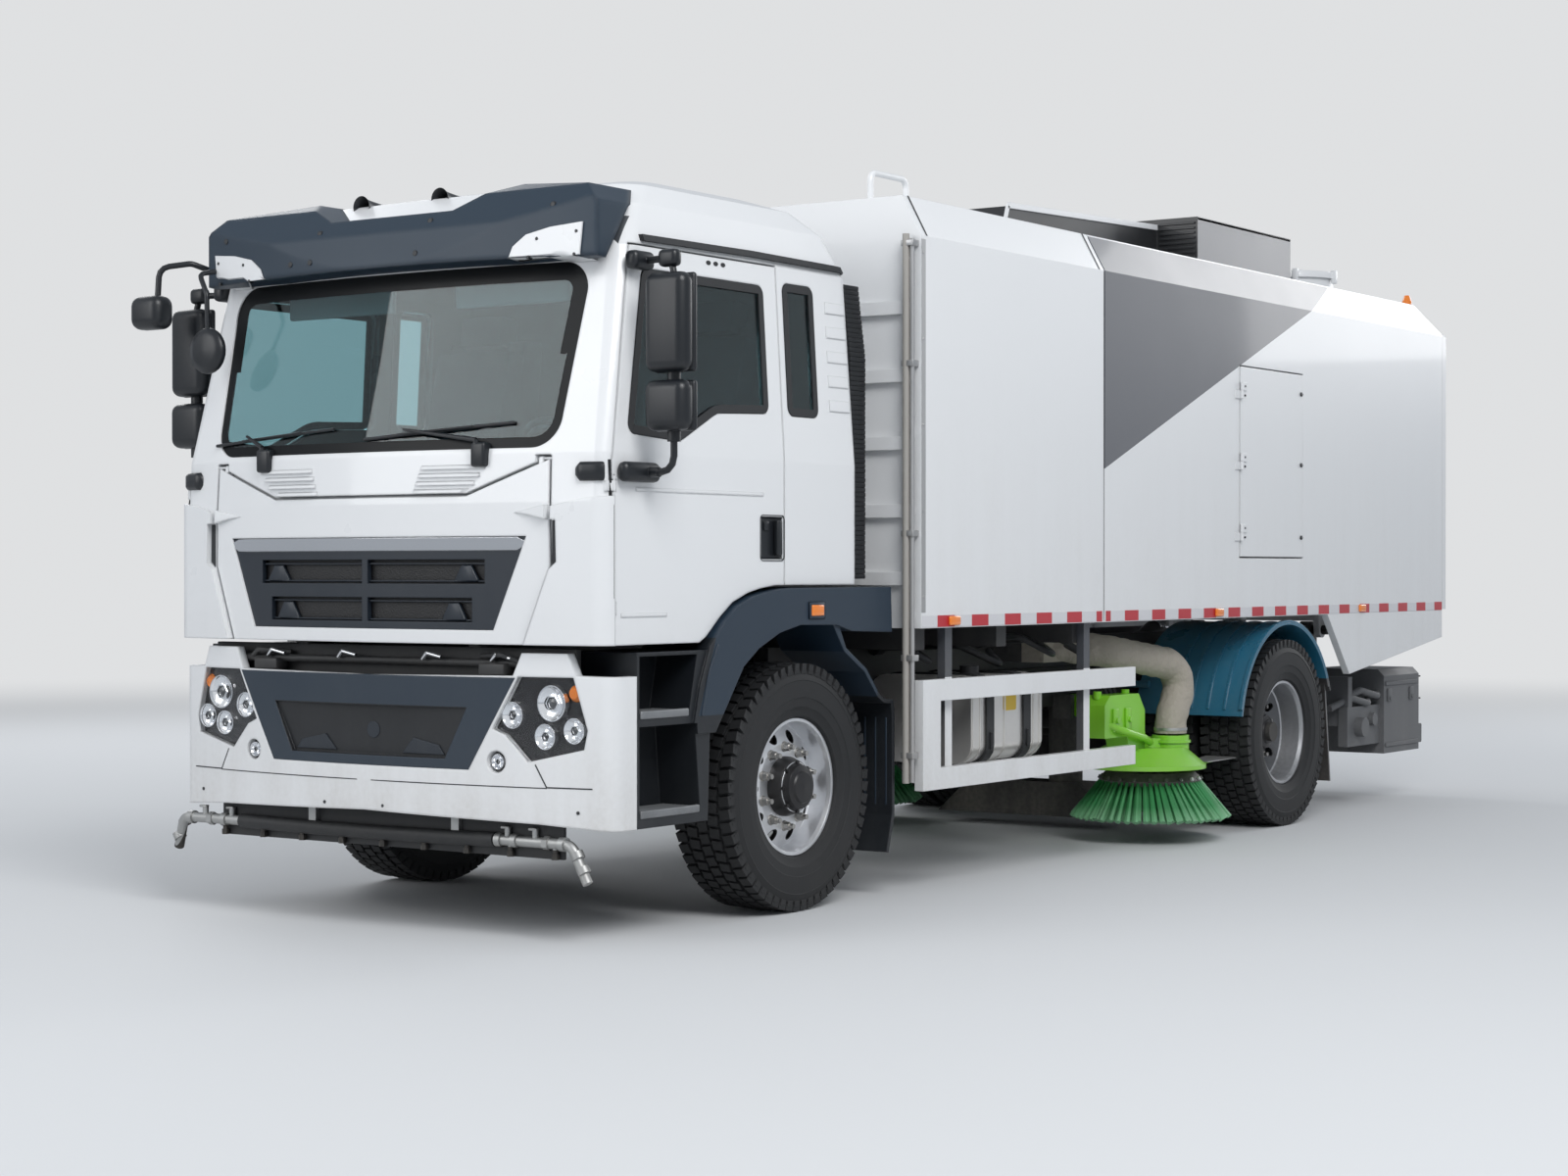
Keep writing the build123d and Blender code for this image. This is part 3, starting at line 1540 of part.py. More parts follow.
    # Hinge halves of the service doors
    for side in (1, -1):
        for hinge_height in service_hinge_zs:
            with BuildSketch(Plane.XY.offset(hinge_height - 45)):
                with Locations((side * service_hinge_x, service_hinge_y)):
                    Circle(service_barrel)
                with Locations((side * (body_half_width - 1), service_hinge_y - 30)):
                    Rectangle(14, 60)
            extrude(amount=45)
    # Manhole collar on the roof
    with BuildSketch(Plane.XY.offset(body_roof_z - 1)):
        with Locations((700, rear_axle_y + 1250)):
            Circle(260)
            Circle(235, mode=Mode.SUBTRACT)
    extrude(amount=140)
save(hopper_body, "hopper_body")

# Roof silencer of the suction fan

silencer_front_y = rear_axle_y - 450
silencer_rear_y = rear_axle_y + 800
silencer_height = 300 - seat_gap
silencer_width = 1800
intake_front_y = hopper_front_y + 20
intake_width = 1300
with BuildPart() as roof_silencer:
    with BuildSketch(Plane.XY.offset(body_roof_z + seat_gap)):
        with Locations((0, (silencer_front_y + silencer_rear_y) / 2)):
            Rectangle(silencer_width, silencer_rear_y - silencer_front_y)
    extrude(amount=silencer_height)
    # Inclined intake hood in front of the silencer
    with BuildSketch(Plane.YZ.offset(-intake_width / 2)):
        Polygon(
            (intake_front_y, body_roof_z + seat_gap),
            (intake_front_y + 60, body_roof_z + 190),
            (silencer_front_y + 5, body_roof_z + silencer_height - 50),
            (silencer_front_y + 5, body_roof_z + seat_gap),
            align=None,
        )
    extrude(amount=intake_width)
save(roof_silencer, "roof_silencer")

# Rear door, hung at its top edge

rear_door_bottom_z = body_floor_z + 10
with BuildPart() as rear_door:
    with BuildSketch(Plane.XZ.offset(-hopper_rear_y - door_gap)):
        Polygon(
            (-body_half_width + 2, rear_door_bottom_z),
            (body_half_width - 2, rear_door_bottom_z),
            (body_half_width - 2, body_side_z - 4),
            (body_half_width - 14, door_top_z),
            (-body_half_width + 14, door_top_z),
            (-body_half_width + 2, body_side_z - 4),
            align=None,
        )
    extrude(amount=-rear_door_thickness)
    for lug_x in door_lug_xs:
        for strap_x in (lug_x - 1.5 * door_lug_width - 1, lug_x + 0.5 * door_lug_width + 1):
            with BuildSketch(Plane.YZ.offset(strap_x)):
                Polygon(
                    (hopper_rear_y + door_gap, door_top_z - 80),
                    (hopper_rear_y + door_gap, door_top_z),
                    (door_hinge_axis_y - 20, door_hinge_axis_z),
                    (door_hinge_axis_y + 20, door_hinge_axis_z),
                    (hopper_rear_y + door_gap + rear_door_thickness, door_top_z - 40),
                    (hopper_rear_y + door_gap + rear_door_thickness, door_top_z - 80),
                    align=None,
                )
                with Locations((door_hinge_axis_y, door_hinge_axis_z)):
                    Circle(20)
                    Circle(door_lug_pin + pin_clearance, mode=Mode.SUBTRACT)
            extrude(amount=door_lug_width)
save(rear_door, "rear_door")

# Service doors in the hopper's sides

for side, name in ((1, "left"), (-1, "right")):
    with BuildPart() as service_door:
        add(
            side_cutter(
                service_door_outline,
                side * (body_half_width - body_wall),
                side * (body_half_width + 4),
            )
        )
        for hinge_height in service_hinge_zs:
            with BuildSketch(Plane.XY.offset(hinge_height + seat_gap)):
                with Locations((side * service_hinge_x, service_hinge_y)):
                    Circle(service_barrel)
                with Locations((side * (body_half_width + 6), service_hinge_y + 36)):
                    Rectangle(8, 72)
            extrude(amount=45)
    save(service_door, f"service_door_{name}")

# Lift cylinders below the hopper: barrels that swing and rods that slide out

lift_dy = lift_eye_dy - (lift_base_y - hinge_y)
lift_dz = hinge_z + lift_eye_dz - lift_base_z
lift_length = math.hypot(lift_dy, lift_dz)
lift_direction = (0, lift_dy, lift_dz)
barrel_radius = 55
rod_radius = 32
rod_clearance = 1
barrel_length = lift_length - 130
with BuildPart() as lift_barrels:
    for lift_side in (1, -1):
        lift_base = (lift_side * lift_x, lift_base_y, lift_base_z)
        barrel_plane = Plane(origin=lift_base, z_dir=lift_direction)
        with BuildSketch(barrel_plane.offset(70)):
            Circle(barrel_radius)
            Circle(rod_radius + rod_clearance, mode=Mode.SUBTRACT)
        extrude(amount=barrel_length - 70)
        with BuildSketch(Plane.YZ.offset(lift_side * lift_x - 30)):
            with Locations((lift_base_y, lift_base_z)):
                Circle(75)
                Circle(45 + pin_clearance, mode=Mode.SUBTRACT)
        extrude(amount=60)
save(lift_barrels, "lift_barrels")

with BuildPart() as lift_rods:
    for lift_side in (1, -1):
        lift_base = (lift_side * lift_x, lift_base_y, lift_base_z)
        rod_plane = Plane(origin=lift_base, z_dir=lift_direction)
        with BuildSketch(rod_plane.offset(110)):
            Circle(rod_radius)
        extrude(amount=lift_length - 110)
        with BuildSketch(Plane.YZ.offset(lift_side * lift_x - 34)):
            with Locations((hinge_y + lift_eye_dy, hinge_z + lift_eye_dz)):
                Circle(42)
        extrude(amount=68)
save(lift_rods, "lift_rods")


# Side brushes: a hinged arm with motor hood, and a spinning brush

brush_x = 960
brush_y = front_axle_y + 3560
brush_radius = 430
brush_bottom_z = 120
hood_bottom_z = 392
hood_top_z = 500
hood_radius = 335
hood_dy = -90
motor_radius = 95
motor_top_z = 545
brush_shaft_top_z = 450
socket_x = 1055
socket_y = front_axle_y + 3610
socket_radius = 98
socket_bottom_z = 382
socket_top_z = 560
deflector_plate = 12
arm_pivot_x = rail_outer_x + 70
arm_pivot_z = 720
brush_shaft_radius = 25
for side, name in ((1, "left"), (-1, "right")):
    with BuildPart() as brush_arm:
        with BuildSketch(Plane.XZ.offset(-brush_y - 60)):
            Polygon(
                (side * arm_pivot_x, arm_pivot_z - 45),
                (side * arm_pivot_x, arm_pivot_z + 45),
                (side * (brush_x - 200), 700),
                (side * (brush_x - 60), 570),
                (side * (brush_x - 60), 470),
                (side * (brush_x - 160), 480),
                align=None,
            )
            with Locations((side * arm_pivot_x, arm_pivot_z)):
                Circle(45)
                Circle(20 + pin_clearance, mode=Mode.SUBTRACT)
        extrude(amount=120)
        # Motor over the brush shaft
        with BuildSketch(Plane.XY.offset(hood_bottom_z + 60)):
            with Locations((side * brush_x, brush_y)):
                Circle(motor_radius)
        extrude(amount=motor_top_z - hood_bottom_z - 60)
        # Conical hood, with the round socket that takes the suction hose
        with BuildSketch(Plane.XY.offset(hood_bottom_z)):
            with Locations((side * brush_x, brush_y + hood_dy)):
                Circle(hood_radius)
        with BuildSketch(Plane.XY.offset(hood_bottom_z + 22)):
            with Locations((side * brush_x, brush_y + hood_dy)):
                Circle(hood_radius)
        loft()
        with BuildSketch(Plane.XY.offset(hood_bottom_z + 21)):
            with Locations((side * brush_x, brush_y + hood_dy)):
                Circle(hood_radius - 3)
        with BuildSketch(Plane.XY.offset(hood_top_z)):
            with Locations((side * brush_x, brush_y + hood_dy / 2)):
                Circle(hood_radius - 130)
        loft()
        with BuildSketch(Plane.XY.offset(socket_bottom_z)):
            with Locations((side * socket_x, socket_y)):
                Circle(socket_radius)
        extrude(amount=socket_top_z - socket_bottom_z)
        with BuildSketch(Plane.XY.offset(socket_top_z - 40)):
            with Locations((side * socket_x, socket_y)):
                Circle(socket_radius + 8)
        extrude(amount=14)
        # Flat deflector behind the hood
        with BuildSketch(Plane.XY.offset(hood_bottom_z + 4)):
            Polygon(
                (side * (brush_x - 150), brush_y + 120),
                (side * (brush_x + 200), brush_y + 60),
                (side * (brush_x + 170), brush_y + 400),
                (side * (brush_x - 120), brush_y + 440),
                align=None,
            )
        extrude(amount=deflector_plate)
        # Drive block in front of the socket
        with BuildSketch(Plane.YZ.offset(side * (brush_x - 80))):
            with Locations((brush_y, 0)):
                Polygon(
                    (-610, 570),
                    (-610, 740),
                    (-550, 790),
                    (-230, 790),
                    (-160, 700),
                    (-160, 480),
                    (-330, 480),
                    (-360, 570),
                    align=None,
                )
        extrude(amount=side * 130)
        with BuildSketch(Plane.XY.offset(socket_bottom_z - 20)):
            with Locations((side * brush_x, brush_y)):
                Circle(brush_shaft_radius + pin_clearance)
        extrude(amount=brush_shaft_top_z + 2 - socket_bottom_z + 20, mode=Mode.SUBTRACT)
    save(brush_arm, f"brush_arm_{name}")
    with BuildPart() as brush:
        with BuildSketch(Plane.XY.offset(brush_bottom_z)):
            with Locations((side * brush_x, brush_y)):
                Circle(brush_radius)
        with BuildSketch(Plane.XY.offset(340)):
            with Locations((side * brush_x, brush_y)):
                Circle(260)
        loft()
        with BuildSketch(Plane.XY.offset(brush_bottom_z - 1)):
            with Locations((side * brush_x, brush_y)):
                Circle(brush_radius - 130)
        with BuildSketch(Plane.XY.offset(300)):
            with Locations((side * brush_x, brush_y)):
                Circle(140)
        loft(mode=Mode.SUBTRACT)
        with BuildSketch(Plane.XY.offset(340)):
            with Locations((side * brush_x, brush_y)):
                Circle(230)
        extrude(amount=30)
        with BuildSketch(Plane.XY.offset(360)):
            with Locations((side * brush_x, brush_y)):
                Circle(brush_shaft_radius)
        extrude(amount=brush_shaft_top_z - 360)
    save(brush, f"brush_{name}")

# Suction gear: brackets for the arms, nozzle box, ducts and hoses

hose_radius = 80
hose_bend = 120
with BuildPart() as suction_gear:
    for side in (1, -1):
        for bracket_y in (brush_y - 110, brush_y + 70):
            with BuildSketch(Plane.XZ.offset(-bracket_y)):
                with Locations((side * (rail_outer_x + seat_gap), arm_pivot_z - 20)):
                    Rectangle(
                        110, 130, align=(Align.MIN if side > 0 else Align.MAX, Align.CENTER)
                    )
            extrude(amount=-40)
        with BuildSketch(Plane.XZ.offset(-brush_y + 100)):
            with Locations((side * arm_pivot_x, arm_pivot_z)):
                Circle(20)
        extrude(amount=-200)
        with BuildSketch(Plane.XY.offset(240)):
            with Locations((side * 215, rear_axle_y - 710)):
                Circle(95)
        extrude(amount=body_floor_z - moving_gap - 240)
        hose_path = [
            Vector(side * socket_x, socket_y, socket_top_z + moving_gap),
            Vector(side * socket_x, socket_y, socket_top_z + 80),
            Vector(side * (socket_x + 5), socket_y + 165, 915),
            Vector(side * 930, brush_y - 400, 1010),
            Vector(side * 620, brush_y - 620, 1060),
        ]
        with Locations((side * (rail_outer_x + seat_gap), brush_y - 550, 960)):
            Box(
                300,
                200,
                body_floor_z - moving_gap - 960,
                align=(Align.MIN if side > 0 else Align.MAX, Align.MAX, Align.MIN),
            )
        with Locations((side * 290, rear_axle_y - 710, 810)):
            Box(
                rail_outer_x - rail_plate - seat_gap - 290,
                100,
                80,
                align=(Align.MIN if side > 0 else Align.MAX, Align.CENTER, Align.CENTER),
            )
        with BuildLine():
            FilletPolyline(*hose_path, radius=hose_bend)
        with BuildSketch(Plane(origin=hose_path[0], z_dir=hose_path[1] - hose_path[0])):
            Circle(hose_radius)
        sweep()
    with BuildSketch(Plane.XY.offset(60)):
        with Locations((0, rear_axle_y - 710)):
            Rectangle(1100, 240)
    with BuildSketch(Plane.XY.offset(250)):
        with Locations((0, rear_axle_y - 710)):
            Rectangle(700, 220)
    loft()
save(suction_gear, "suction_gear")

# Tail guard: under-run beam, lamp carriers and brackets to the rails

guard_beam_z = 400
tail_box_top_z = 820
tail_box_bottom_z = 300
tail_box_inner_x = 620
tail_box_outer_x = 1100
tail_box_front_y = rear_y - 640
tail_box_rear_y = rear_y - 65
with BuildPart() as tail_guard:
    with BuildSketch(Plane.YZ.offset(-tail_box_outer_x)):
        with Locations((rear_y - 65, guard_beam_z)):
            RectangleRounded(100, 120, 12)
    extrude(amount=2 * tail_box_outer_x)
    for side in (1, -1):
        # Case beside each rail with its upper outer edge bevelled
        with BuildSketch(Plane.XZ.offset(-tail_box_front_y)):
            Polygon(
                (side * tail_box_inner_x, tail_box_bottom_z),
                (side * tail_box_outer_x, tail_box_bottom_z),
                (side * tail_box_outer_x, tail_box_top_z - 40),
                (side * (tail_box_outer_x - 40), tail_box_top_z),
                (side * tail_box_inner_x, tail_box_top_z),
                align=None,
            )
        extrude(amount=tail_box_front_y - tail_box_rear_y)
        with BuildSketch(Plane.YZ.offset(side * (rail_outer_x + seat_gap))):
            Polygon(
                (rear_y - 420, rail_bottom_z + 40),
                (rear_y - 420, rail_top_z - 40),
                (rear_y - 130, rail_top_z - 40),
                (rear_y - 65, guard_beam_z - 60),
                (rear_y - 110, guard_beam_z - 60),
                align=None,
            )
        extrude(amount=side * 20)
        # Beam from the case forward to a cross plate on the rail
        with Locations((side * 1040, rear_y - 860, 485)):
            Box(60, 560, 240)
        with Locations((side * (rail_outer_x + seat_gap), rear_y - 1100, 640)):
            Box(
                1070 - rail_outer_x - seat_gap,
                60,
                300,
                align=(Align.MIN if side > 0 else Align.MAX, Align.CENTER, Align.CENTER),
            )
save(tail_guard, "tail_guard")
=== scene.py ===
import math
import random
from functools import partialmethod

import bmesh
import bpy
from mathutils import Matrix, Vector
from mathutils.bvhtree import BVHTree


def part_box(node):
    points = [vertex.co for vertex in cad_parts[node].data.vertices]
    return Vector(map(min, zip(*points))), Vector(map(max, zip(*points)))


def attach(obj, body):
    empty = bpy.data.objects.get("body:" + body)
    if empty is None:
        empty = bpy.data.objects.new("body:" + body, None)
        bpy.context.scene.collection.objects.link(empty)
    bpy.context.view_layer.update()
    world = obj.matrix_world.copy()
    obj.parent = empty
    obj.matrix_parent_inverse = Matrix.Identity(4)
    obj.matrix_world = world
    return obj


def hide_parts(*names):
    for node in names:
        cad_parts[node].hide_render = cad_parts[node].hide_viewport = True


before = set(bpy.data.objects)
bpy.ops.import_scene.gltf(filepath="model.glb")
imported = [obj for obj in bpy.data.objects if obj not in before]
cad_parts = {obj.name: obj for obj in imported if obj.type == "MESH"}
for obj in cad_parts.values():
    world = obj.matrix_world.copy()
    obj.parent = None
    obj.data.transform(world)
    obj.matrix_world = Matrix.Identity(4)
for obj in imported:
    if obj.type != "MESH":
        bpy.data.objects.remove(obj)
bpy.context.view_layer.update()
random.seed(7)

# Studio
# A pale floor that fades into a pale backdrop, a soft key lamp on the driver's side, weaker
# fills, and the camera at the photograph's place: 8 m ahead of the bumper at chest height.
photo_width = 1600
focal_pixels = 2742.7
lens = bpy.data.cameras.new("photo_lens")
lens.sensor_width = 36
lens.lens = focal_pixels / photo_width * lens.sensor_width
lens.clip_end = 400
viewer = bpy.data.objects.new("viewer", lens)
viewer.location = (7.493, -12.172, 1.442)
viewer.rotation_euler = (math.pi / 2 - 0.007, 0, 0.604)
bpy.context.scene.collection.objects.link(viewer)
bpy.context.scene.camera = viewer
bpy.context.scene.view_settings.view_transform = "Standard"

for lamp_name, place, size, power in (
    ("key", (9, -8, 10), 6, 1150),
    ("front_fill", (-5, -13, 6), 7, 430),
    ("far_fill", (-12, 4, 8), 7, 520),
    ("tail_fill", (4, 15, 7), 7, 560),
):
    lamp = bpy.data.lights.new(lamp_name, "AREA")
    lamp.size = size
    lamp.energy = power
    holder = bpy.data.objects.new(lamp_name, lamp)
    holder.location = place
    holder.rotation_euler = (Vector((0, 0, 1.2)) - Vector(place)).to_track_quat("-Z", "Y").to_euler()
    bpy.context.scene.collection.objects.link(holder)


def set_inputs(node, values):
    """Set a node's inputs by their labels."""
    for label, value in values.items():
        node.inputs[label].default_value = value


def mix_shaders(tree, amount, first, second):
    """Let one value choose between two shaders, and show the result."""
    node = tree.nodes.new("ShaderNodeMixShader")
    for index, source in enumerate((amount, first, second)):
        tree.links.new(source, node.inputs[index])
    ends = ("World Output", "Material Output")
    last = next(tree.nodes[end] for end in ends if end in tree.nodes)
    tree.links.new(node.outputs[0], last.inputs["Surface"])


backdrop_color = (0.74, 0.75, 0.76, 1)
sky = bpy.data.worlds.new("sky")
sky.use_nodes = True
bpy.context.scene.world = sky
sky_nodes, sky_links = sky.node_tree.nodes, sky.node_tree.links
sky_light = sky_nodes["Background"]
set_inputs(sky_light, {"Color": (0.86, 0.92, 1.0, 1), "Strength": 0.5})
backdrop = sky_nodes.new("ShaderNodeBackground")
set_inputs(backdrop, {"Color": backdrop_color})
seen = sky_nodes.new("ShaderNodeLightPath")
seen_at_all = sky_nodes.new("ShaderNodeMath")
seen_at_all.operation = "MAXIMUM"
sky_links.new(seen.outputs["Is Camera Ray"], seen_at_all.inputs[0])
sky_links.new(seen.outputs["Is Transmission Ray"], seen_at_all.inputs[1])
mix_shaders(sky.node_tree, seen_at_all.outputs[0], sky_light.outputs[0], backdrop.outputs[0])

ground = bmesh.new()
bmesh.ops.create_grid(ground, x_segments=1, y_segments=1, size=90)
floor_mesh = bpy.data.meshes.new("floor")
ground.to_mesh(floor_mesh)
floor = bpy.data.objects.new("floor", floor_mesh)
bpy.context.scene.collection.objects.link(floor)
floor_paint = bpy.data.materials.new("pale_floor")
floor_paint.use_nodes = True
floor_nodes, floor_links = floor_paint.node_tree.nodes, floor_paint.node_tree.links
floor_shader = floor_nodes["Principled BSDF"]
set_inputs(floor_shader, {"Base Color": (0.6, 0.61, 0.62, 1), "Roughness": 0.85})
distance = floor_nodes.new("ShaderNodeVectorMath")
distance.operation = "LENGTH"
floor_links.new(floor_nodes.new("ShaderNodeTexCoord").outputs["Object"], distance.inputs[0])
fade = floor_nodes.new("ShaderNodeMapRange")
fade.interpolation_type = "SMOOTHSTEP"
set_inputs(fade, {"From Min": 8, "From Max": 24})
floor_links.new(distance.outputs["Value"], fade.inputs["Value"])
glow = floor_nodes.new("ShaderNodeEmission")
set_inputs(glow, {"Color": backdrop_color})
floor_seen = floor_nodes.new("ShaderNodeLightPath")
fade_seen = floor_nodes.new("ShaderNodeMath")
fade_seen.operation = "MULTIPLY"
floor_links.new(fade.outputs[0], fade_seen.inputs[0])
floor_links.new(floor_seen.outputs["Is Camera Ray"], fade_seen.inputs[1])
mix_shaders(floor_paint.node_tree, fade_seen.outputs[0], floor_shader.outputs[0], glow.outputs[0])
floor_mesh.materials.append(floor_paint)

# Cab paint
# Pressed steel cab in glossy white, with road film low down. One effect gives every finish
# of the truck its rounded edges, fine grain, film of dust and worn edges.


def new_group(name, inputs, outputs):
    """Start a shader effect with named sockets."""
    group = bpy.data.node_groups.new(name, "ShaderNodeTree")
    for label, kind, value in inputs:
        socket = group.interface.new_socket(label, in_out="INPUT", socket_type=f"NodeSocket{kind}")
        socket.default_value = value
    for label, kind in outputs:
        group.interface.new_socket(label, in_out="OUTPUT", socket_type=f"NodeSocket{kind}")
    return group, group.nodes.new("NodeGroupInput"), group.nodes.new("NodeGroupOutput")


class Field:
    """A value in a shader tree that plain arithmetic, comparisons and masks go on from."""

    def __init__(self, tree, socket):
        self.tree, self.socket = tree, socket

    def combine(self, operation, other=0.0, clamp=False):
        """One maths node on this value and another field or number."""
        node = self.tree.nodes.new("ShaderNodeMath")
        node.operation = operation
        node.use_clamp = clamp
        self.tree.links.new(self.socket, node.inputs[0])
        if isinstance(other, Field):
            self.tree.links.new(other.socket, node.inputs[1])
        else:
            node.inputs[1].default_value = other
        return Field(self.tree, node.outputs[0])

    def __rsub__(self, number):
        return self * -1 + number


for method, operation in (
    ("__add__", "ADD"),
    ("__sub__", "SUBTRACT"),
    ("__mul__", "MULTIPLY"),
    ("__truediv__", "DIVIDE"),
    ("__abs__", "ABSOLUTE"),
    ("__lt__", "LESS_THAN"),
    ("__gt__", "GREATER_THAN"),
    ("__and__", "MINIMUM"),
    ("__or__", "MAXIMUM"),
):
    setattr(Field, method, partialmethod(Field.combine, operation))


def add_noise(tree, coords, scale, detail, stretch=(1, 1, 1)):
    """One noise node on stretched object coordinates."""
    mapping = tree.nodes.new("ShaderNodeMapping")
    mapping.inputs["Scale"].default_value = stretch
    tree.links.new(coords, mapping.inputs["Vector"])
    noise = tree.nodes.new("ShaderNodeTexNoise")
    noise.inputs["Detail"].default_value = detail
    if isinstance(scale, (int, float)):
        noise.inputs["Scale"].default_value = scale
    else:
        tree.links.new(scale, noise.inputs["Scale"])
    tree.links.new(mapping.outputs[0], noise.inputs["Vector"])
    return Field(tree, noise.outputs["Fac"])


def add_mix(tree, amount, first, second):
    """One colour mix node."""
    node = tree.nodes.new("ShaderNodeMix")
    node.data_type = "RGBA"
    tree.links.new(amount.socket, node.inputs["Factor"])
    for socket, value in ((node.inputs[6], first), (node.inputs[7], second)):
        if isinstance(value, tuple):
            socket.default_value = (*value, 1)
        else:
            tree.links.new(value, socket)
    return node.outputs[2]


def object_axes(material):
    """A material's three object coordinates, for a pattern that is set out in metres."""
    tree = material.node_tree
    split = tree.nodes.new("ShaderNodeSeparateXYZ")
    tree.links.new(tree.nodes.new("ShaderNodeTexCoord").outputs["Object"], split.inputs[0])
    return [Field(tree, split.outputs[name]) for name in "XYZ"]


surface, surface_in, surface_out = new_group(
    "road_worn_surface",
    (
        ("Color", "Color", (1, 1, 1, 1)),
        ("Roughness", "Float", 0.4),
        ("Film", "Float", 0.3),
        ("Film Color", "Color", (0.36, 0.33, 0.29, 1)),
        ("Film Top", "Float", 1.4),
        ("Grain", "Float", 200.0),
        ("Depth", "Float", 0.0001),
        ("Edge", "Float", 0.003),
        ("Wear", "Float", 0.0),
        ("Wear Color", "Color", (0.4, 0.4, 0.4, 1)),
    ),
    (("Color", "Color"), ("Roughness", "Float"), ("Normal", "Vector")),
)
place = surface.nodes.new("ShaderNodeTexCoord").outputs["Object"]
split_place = surface.nodes.new("ShaderNodeSeparateXYZ")
surface.links.new(place, split_place.inputs[0])
fall = surface.nodes.new("ShaderNodeMapRange")
surface.links.new(split_place.outputs["Z"], fall.inputs["Value"])
surface.links.new(surface_in.outputs["Film Top"], fall.inputs["From Min"])
fall.inputs["From Max"].default_value = 0.1
patches = add_noise(surface, place, 2.4, 6)
runs = add_noise(surface, place, 1.0, 4, (11, 11, 0.9))
specks = add_noise(surface, place, 46.0, 3)
low_down = Field(surface, fall.outputs[0]).combine("POWER", 1.4)
film = (patches * runs * 3.2 * low_down + patches * 0.05) * (specks + 0.5)
film = film.combine("MULTIPLY", Field(surface, surface_in.outputs["Film"]), clamp=True)
rounding = surface.nodes.new("ShaderNodeBevel")
rounding.samples = 4
surface.links.new(surface_in.outputs["Edge"], rounding.inputs["Radius"])
flat = surface.nodes.new("ShaderNodeNewGeometry")
turn = surface.nodes.new("ShaderNodeVectorMath")
turn.operation = "DOT_PRODUCT"
surface.links.new(rounding.outputs[0], turn.inputs[0])
surface.links.new(flat.outputs["Normal"], turn.inputs[1])
edge = (0.985 - Field(surface, turn.outputs["Value"])).combine("MULTIPLY", 14.0, clamp=True)
edge = (edge * (specks - 0.3)).combine("MULTIPLY", Field(surface, surface_in.outputs["Wear"]), clamp=True)
worn = add_mix(surface, edge, surface_in.outputs["Color"], surface_in.outputs["Wear Color"])
filmed = add_mix(surface, film, worn, surface_in.outputs["Film Color"])
surface.links.new(filmed, surface_out.inputs["Color"])
dulled = (patches - 0.5) * 0.14 + Field(surface, surface_in.outputs["Roughness"])
dulled = dulled.combine("ADD", film * 0.5, clamp=True)
surface.links.new(dulled.socket, surface_out.inputs["Roughness"])
grain = surface.nodes.new("ShaderNodeBump")
grain.inputs["Strength"].default_value = 1.0
surface.links.new(surface_in.outputs["Depth"], grain.inputs["Distance"])
surface.links.new(add_noise(surface, place, surface_in.outputs["Grain"], 2).socket, grain.inputs["Height"])
surface.links.new(rounding.outputs[0], grain.inputs["Normal"])
surface.links.new(grain.outputs[0], surface_out.inputs["Normal"])


def finish(name, color, roughness, metallic=0.0, coat=0.0, **effect):
    """One finish: a plain shader fed by the road-worn surface, whose inputs are given by name."""
    material = bpy.data.materials.new(name)
    material.use_nodes = True
    tree = material.node_tree
    shader = tree.nodes["Principled BSDF"]
    set_inputs(shader, {"Metallic": metallic, "Coat Weight": coat, "Coat Roughness": 0.06})
    worn_surface = tree.nodes.new("ShaderNodeGroup")
    worn_surface.name = "worn_surface"
    worn_surface.node_tree = surface
    for label, value in {"color": color, "roughness": roughness, **effect}.items():
        socket = worn_surface.inputs[label.replace("_", " ").title()]
        socket.default_value = (*value, 1) if isinstance(value, tuple) else value
    for output, target in (("Color", "Base Color"), ("Roughness", "Roughness"), ("Normal", "Normal")):
        tree.links.new(worn_surface.outputs[output], shader.inputs[target])
    return material


def color_by_mask(material, mask, first, second):
    """Let a mask choose between two colours ahead of the film and wear."""
    tree = material.node_tree
    tree.links.new(add_mix(tree, mask, first, second), tree.nodes["worn_surface"].inputs["Color"])


def paint_nodes(material, *names):
    """Give CAD nodes one finish."""
    for name in names:
        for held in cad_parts[name].material_slots:
            held.material = material


white = (0.74, 0.75, 0.76)
under_black = (0.02, 0.021, 0.023)
cab_paint = finish("cab_white", white, 0.3, coat=0.5, film_top=1.5, grain=40.0, depth=0.00004, edge=0.012)
cab_skirt_z = 1.146
across, along, up = object_axes(cab_paint)
is_lining = (abs(across) < 1.11 - ((up - 2.3) | 0) * 0.14) & (along < -2.43) & (along > -3.97) & (up < 2.82)
lining = add_mix(cab_paint.node_tree, is_lining, white, (0.045, 0.05, 0.058))
color_by_mask(cab_paint, up > cab_skirt_z, under_black, lining)
paint_nodes(cab_paint, "cab_shell", "front_flap", "door_left", "door_right")

slate = (0.012, 0.026, 0.045)
slate_plastic, step_plastic = [
    finish(
        name, slate, 0.42, film=0.18, film_top=1.5, film_color=(0.09, 0.095, 0.1), grain=700.0, depth=0.00015,
        edge=0.008, wear=0.2, wear_color=(0.06, 0.08, 0.1),
    )
    for name in ("slate_plastic", "step_plastic")
]
black_plastic = finish(
    "black_plastic", (0.009, 0.011, 0.014), 0.36, film_top=1.5, film_color=(0.08, 0.08, 0.08),
    grain=700.0, depth=0.00015, edge=0.004,
)

# Cab trim
# Rubber seals, drip rails, door handles, corner covers and the bellows behind the cab: black
# rubber and moulded plastic, pressed or screwed onto the painted shell on both sides.


